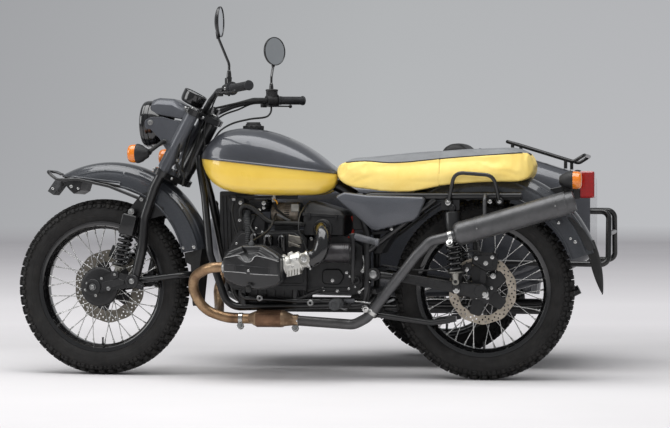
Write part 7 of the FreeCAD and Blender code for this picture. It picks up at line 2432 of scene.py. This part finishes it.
class MOTORCYCLE_OT_fender_fittings(bpy.types.Operator):
    """Makes the front fender's brackets and both fenders' bolts"""

    bl_idname = "motorcycle.fender_fittings"
    bl_label = "Fender fittings"

    def execute(self, context):
        nose = [plate([(1699, 706), (1668, 750), (1640, 748), (1644, 726), (1673, 690)], -32, 32,
                      2, 4),
                plate([(1632, 748), (1543, 750), (1556, 708), (1580, 694), (1600, 712)], -62, 62,
                      1.5, 5)]
        heads = bolts([(1676, 716, 4)], 32.2)
        more = bolts([(1590, 724, 4.5), (1562, 716, 3.5)], 62.2)
        put("front_fender_brackets", [(nose[0], "worn_rubber"), (nose[1], "satin_black"),
                                      (both(joined([heads, more])), "bright_steel")],
            "steering", "frame_black", angle=32)
        rows = bolts([(1136, 488, 4.5), (1092, 492, 4.5)], 79.6)
        put("front_fender_bolts", [(both(rows), "bright_steel")], "steering", "spoke_steel")
        tail = bolts([(-283, 590, 4), (-344, 520, 4.5), (-327, 532, 3.5)], 84.4)
        side = bolts([(332, 566, 4)], 134)
        put("rear_fender_bolts", [(both(joined([tail, side])), "bright_steel")], "chassis",
            "spoke_steel")
        return {"FINISHED"}


class MOTORCYCLE_OT_engine_bay(bpy.types.Operator):
    """Makes the battery case with its tray and a black slatted panel in the frame"""

    bl_idname = "motorcycle.engine_bay"
    bl_label = "Battery and dark panel"

    def execute(self, context):
        # A plain black panel with slats, across the frame in front of the engine.
        guide = plate([(1004, 706), (1004, 560), (985, 452), (926, 430), (900, 470), (900, 706)],
                      -96, 52, 2, 8)
        slats = [plate([(996 - 14 * k, 690), (992 - 14 * k, 690), (984 - 14 * k, 470),
                        (988 - 14 * k, 470)], 52, 57, 0.8) for k in range(4)]
        put("front_air_guide", [(joined([guide] + slats), "satin_black")], "chassis",
            "black_plastic", angle=32)
        battery = block((352, -92, 560), (486, 92, 676), 4, 10)
        mount = plate([(604, 342), (396, 342), (396, 320), (604, 320)], -100, 86, 2, 5)
        tray = plate([(340, 560), (500, 548), (500, 538), (340, 548)], -96, 96, 1.5)
        strap = plate([(424, 676), (436, 676), (436, 552), (424, 552)], 92, 95, 0.8)
        air = plate([(380, 470), (330, 552), (356, 560), (414, 470)], -70, 70, 3, 8)
        put("battery_case", [(battery, "moulded_black"), (joined([tray, mount]), "frame_black"),
                             (both(strap), "worn_rubber"), (air, "satin_black")],
            "chassis", "black_plastic", angle=32)
        return {"FINISHED"}


COVER_OUTLINE_SIDE = [(541, 678), (537, 690), (508, 703), (421, 692), (213, 686), (203, 674),
                      (230, 612), (246, 596), (387, 559), (404, 562)]


class MOTORCYCLE_OT_side_covers(bpy.types.Operator):
    """Makes the pressed tool-box covers with their rolled edges"""

    bl_idname = "motorcycle.side_covers"
    bl_label = "Side covers"

    def execute(self, context):
        outline = bent(COVER_OUTLINE_SIDE, 12, 8, closed=True)
        rows = [(0.0, 132.4), (0.0, 139), (1.0, 143), (2.8, 146.2), (5, 148.2), (7, 149.2),
                (8, 149.9)]
        middle = outline.mean(0)
        rings = [upright(inset(outline, inward), y) for inward, y in rows]
        rings.append(upright(middle + 0.25 * (outline - middle), 151.0))
        skin = surface(np.array(rings))
        put("tool_box_covers", [(both(skin), "grey_panel")], "chassis", "grey_paint",
            ["side_covers"], 40)
        return {"FINISHED"}


# ---- Finishes of the frame's own pieces ------------------------------------------------------
FINISH_NODES = {
    "frame_black": ("frame", "swingarm", "grab_handles", "sidecar_frame", "sidecar_swingarm",
                    "rear_bumper", "fork", "leading_links", "front_hoop", "handlebar",
                    "luggage_rack", "centre_stand"),
    "cast_black": ("final_drive", "engine_block", "cylinders"),
    "gloss_black": ("valve_covers", "headlight"),
    "moulded_black": ("airbox", "fuel_cap", "hand_controls"),
    "satin_black": ("foot_controls", "sidecar_shock", "sidecar_lamps", "front_shocks",
                    "rear_shocks", "front_indicators"),
    "soft_black": ("front_flap",),
    "exhaust_black": ("exhaust_pipe", "muffler"),
    "heated_copper": ("exhaust_headers",),
    "cast_aluminium": ("throttle_bodies",),
    "grey_metallic": ("fuel_tank", "side_covers", "rear_fender", "sidecar_tub", "sidecar_fender",
                      "front_fender", "trunk_lid"),
    "grey_panel": ("fork_shrouds",),
    "yellow_vinyl": ("seat",),
    "black_vinyl": ("sidecar_seat",),
    "red_lens": ("tail_lamp",),
    "amber_lens": ("rear_indicators",),
    "clear_glass": ("headlight_lens",),
    "mirror_back": ("mirrors",),
    "tyre_rubber": ("front_tyre", "rear_tyre", "sidecar_tyre"),
    "bright_steel": ("front_spokes", "rear_spokes", "sidecar_spokes"),
}
CAD_FINISH = {node: finish for finish, nodes in FINISH_NODES.items() for node in nodes}
for wheel_name in AXLES:
    CAD_FINISH[wheel_name + "_rim"] = "gloss_black"
    CAD_FINISH[wheel_name + "_brake_disc"] = "disc_steel_" + wheel_name


class MOTORCYCLE_OT_finishes(bpy.types.Operator):
    """Makes every finish and gives the frame's own pieces theirs"""

    bl_idname = "motorcycle.finishes"
    bl_label = "Finishes"

    def execute(self, context):
        make_finishes()
        for node, piece in frame["nodes"].items():
            finish = MATERIALS[CAD_FINISH[node]]
            if not piece.material_slots:
                piece.data.materials.append(finish)
            for slot in piece.material_slots:
                slot.material = finish
        return {"FINISHED"}


# ---- Stage -----------------------------------------------------------------------------------
CAMERA = (-821.2, 7878.5, 700.0)
CAMERA_TILT = 0.575654                  # degrees below level
CAMERA_YAW = 10.0
CAMERA_LENS = 113.373134


def area_lamp(name, spot, aim, size, power, in_gloss=True):
    """Rectangular softbox that faces a place; in_gloss says whether shiny pieces show it."""
    data = bpy.data.lights.new(name, "AREA")
    data.shape = "RECTANGLE"
    data.size, data.size_y = size
    data.energy = power
    lamp = bpy.data.objects.new(name, data)
    lamp.location = spot
    lamp.rotation_euler = (Vector(aim) - Vector(spot)).to_track_quat("-Z", "Y").to_euler()
    lamp.visible_glossy = in_gloss
    bpy.context.scene.collection.objects.link(lamp)


def backdrop():
    """Floor that runs back and curls up into a wall: a rounded corner carried sideways."""
    profile = bent([(-30.0, 0.0), (24.0, 0.0), (24.2, 16.0)], 3.0, 16)[:, None]
    yaw = math.radians(CAMERA_YAW)
    ahead = np.array([math.sin(yaw), -math.cos(yaw), 0])
    side = np.array([math.cos(yaw), math.sin(yaw), 0])
    across = np.array([-40.0, 40.0])[None, :, None]
    points, faces = open_skin(profile[..., :1] * ahead
                              + profile[..., 1:] * np.array([0, 0, 1]) + across * side)
    mesh = bpy.data.meshes.new("studio_sweep")
    mesh.from_pydata(points.tolist(), [], faces)
    mesh.polygons.foreach_set("use_smooth", [True] * len(faces))
    sweep = bpy.data.objects.new("studio_sweep", mesh)
    bpy.context.scene.collection.objects.link(sweep)
    mesh.materials.append(studio_paper(ahead))
    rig.stage(sweep)


def studio_paper(ahead):
    """Lit paper underfoot; further back the camera sees painted light that fades with the distance, and on the wall
    painted light that is lighter to one side and fades higher up.
    """
    n = Nodes("studio_paper")
    x, y, z = n.add("ShaderNodeSeparateXYZ", {"Vector": n.spot}).outputs
    paper = n.drift(0.8, 5, "DCDADB", "E2E0E1")
    back = n.math("SUBTRACT", n.math("MULTIPLY", x, float(ahead[0])),
                  n.math("MULTIPLY", y, float(-ahead[1])))
    # Painted light on the floor, by the distance behind the object; none close to the object, so the lit floor and its
    # shadow show there.
    haze = n.ramp(n.span(back, 0.0, 24.0, 0.0, 1.0),
                  [(0.05, "000000"), (0.12, "918F91"), (0.2, "A8A6A8"), (0.6, "828083"),
                   (1.0, "78777A")])
    # Painted light on the wall: lighter to one side, and darker higher up.
    beside = n.ramp(n.span(x, -1.0, 10.0, 1.0, 0.0),
                    [(0.0, "A5A6A9"), (0.6, "B9BBBD"), (1.0, "BCBDC0")])
    wall = n.mix(n.span(z, 0.0, 3.6, 0.0, 0.16), beside, "808284")
    rise = n.span(z, 0.0, 0.22, 0.0, 1.0)
    seen = n.add("ShaderNodeLightPath").outputs
    direct = n.math("MAXIMUM", seen["Is Camera Ray"],
                    n.math("MAXIMUM", seen["Is Glossy Ray"], seen["Is Transmission Ray"]))
    n.set(Base_Color=n.mix(rise, paper, "000000"), Roughness=0.7, Specular_IOR_Level=0.0,
          Emission_Color=n.mix(rise, haze, wall), Emission_Strength=direct)
    return n.material


class MOTORCYCLE_OT_stage(bpy.types.Operator):
    """Sets the floor, backdrop, lamps and camera"""

    bl_idname = "motorcycle.stage"
    bl_label = "Stage"

    def execute(self, context):
        scene = context.scene
        stage = scene.motorcycle_stage
        backdrop()
        area_lamp("overhead_softbox", (0.2, 1.2, 4.2), (0.0, 0.0, 0.5), (5.5, 3.2), stage.overhead)
        area_lamp("front_softbox", (-1.5, 7.0, 3.2), (0.0, 0.3, 0.5), (5.0, 3.0), stage.front,
                  False)
        area_lamp("left_softbox", (5.5, 3.0, 2.6), (0.3, 0.3, 0.6), (2.6, 3.0), stage.front * 0.5)
        world = bpy.data.worlds.new("studio_air")
        world.use_nodes = True
        tree = world.node_tree
        tree.nodes["Background"].inputs["Color"].default_value = colour("D5D7DA")
        tree.nodes["Background"].inputs["Strength"].default_value = stage.ambient
        scene.world = world
        data = bpy.data.cameras.new("front_camera")
        data.lens = CAMERA_LENS
        data.clip_end = 200
        camera = bpy.data.objects.new("front_camera", data)
        camera.location = (np.array(CAMERA) + ORIGIN) / 1000
        camera.rotation_euler = (math.radians(90 - CAMERA_TILT), 0,
                                 math.radians(180 + CAMERA_YAW))
        scene.collection.objects.link(camera)
        scene.camera = camera
        scene.view_settings.view_transform = "Standard"
        return {"FINISHED"}


# ---- Settings --------------------------------------------------------------------------------
class MotorcycleWheels(bpy.types.PropertyGroup):
    """Sizes of the wheels' visible pieces"""

    spoke: bpy.props.FloatProperty(
        name="Spoke diameter", description="Thickness of a wheel spoke", default=0.0036,
        min=0.001, unit="LENGTH")


class MotorcycleSeats(bpy.types.PropertyGroup):
    """How the padded pieces are filled"""

    voxel: bpy.props.FloatProperty(
        name="Cloth cell", description="Size of a cell of the cushion's cover", default=0.006,
        min=0.003, unit="LENGTH")
    pressure: bpy.props.FloatProperty(
        name="Filling", description="How hard the filling presses out", default=4.0, min=0.0)


class MotorcyclePaint(bpy.types.PropertyGroup):
    """Colours of the painted pieces"""

    grey: bpy.props.FloatVectorProperty(
        name="Body grey", description="Deep tone of the metallic body paint",
        subtype="COLOR", size=4, default=colour("36383D"), min=0.0, max=1.0)
    grey_light: bpy.props.FloatVectorProperty(
        name="Body grey, light", description="Light tone of the metallic body paint",
        subtype="COLOR", size=4, default=colour("404248"), min=0.0, max=1.0)


class MotorcycleStage(bpy.types.PropertyGroup):
    """Brightness of the studio"""

    overhead: bpy.props.FloatProperty(
        name="Overhead lamp", description="Power of the softbox above", default=192.0, min=0.0,
        unit="POWER")
    front: bpy.props.FloatProperty(
        name="Front lamp", description="Power of the softbox beside the camera", default=178.0,
        min=0.0, unit="POWER")
    ambient: bpy.props.FloatProperty(
        name="Ambient", description="Strength of the even light", default=0.45, min=0.0)


class MOTORCYCLE_PT_panel(bpy.types.Panel):
    """Lists the pieces and the stage"""

    bl_label = "Sidecar motorcycle"
    bl_space_type = "VIEW_3D"
    bl_region_type = "UI"
    bl_category = "Motorcycle"

    def draw(self, context):
        scene = context.scene
        for operator in OPERATORS:
            self.layout.operator(operator.bl_idname)
        for group in (getattr(scene, name) for name, _ in GROUPS):
            box = self.layout.box()
            for name in group.bl_rna.properties.keys():
                if name not in ("rna_type", "name"):
                    box.prop(group, name)


GROUPS = (("motorcycle_wheels", MotorcycleWheels), ("motorcycle_seats", MotorcycleSeats),
          ("motorcycle_paint", MotorcyclePaint),
          ("motorcycle_stage", MotorcycleStage))
OPERATORS = [item for item in list(globals().values())
             if isinstance(item, type) and issubclass(item, bpy.types.Operator)]


def register():
    for name, group in GROUPS:
        bpy.utils.register_class(group)
        setattr(bpy.types.Scene, name, bpy.props.PointerProperty(type=group))
    for item in OPERATORS + [MOTORCYCLE_PT_panel]:
        bpy.utils.register_class(item)


def unregister():
    for item in [MOTORCYCLE_PT_panel] + OPERATORS[::-1]:
        bpy.utils.unregister_class(item)
    for name, group in GROUPS[::-1]:
        delattr(bpy.types.Scene, name)
        bpy.utils.unregister_class(group)


def main():
    register()
    order = sorted(OPERATORS, key=lambda item: item.bl_idname != "motorcycle.finishes")
    for operator in order:
        group, name = operator.bl_idname.split(".")
        getattr(getattr(bpy.ops, group), name)()
    bounds = [list(corner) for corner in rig.bounds()]
    with open("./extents.json", "w") as out:
        json.dump({"cad": CAD_BOUNDS, "visual": bounds}, out)


if __name__ == "__main__":
    main()
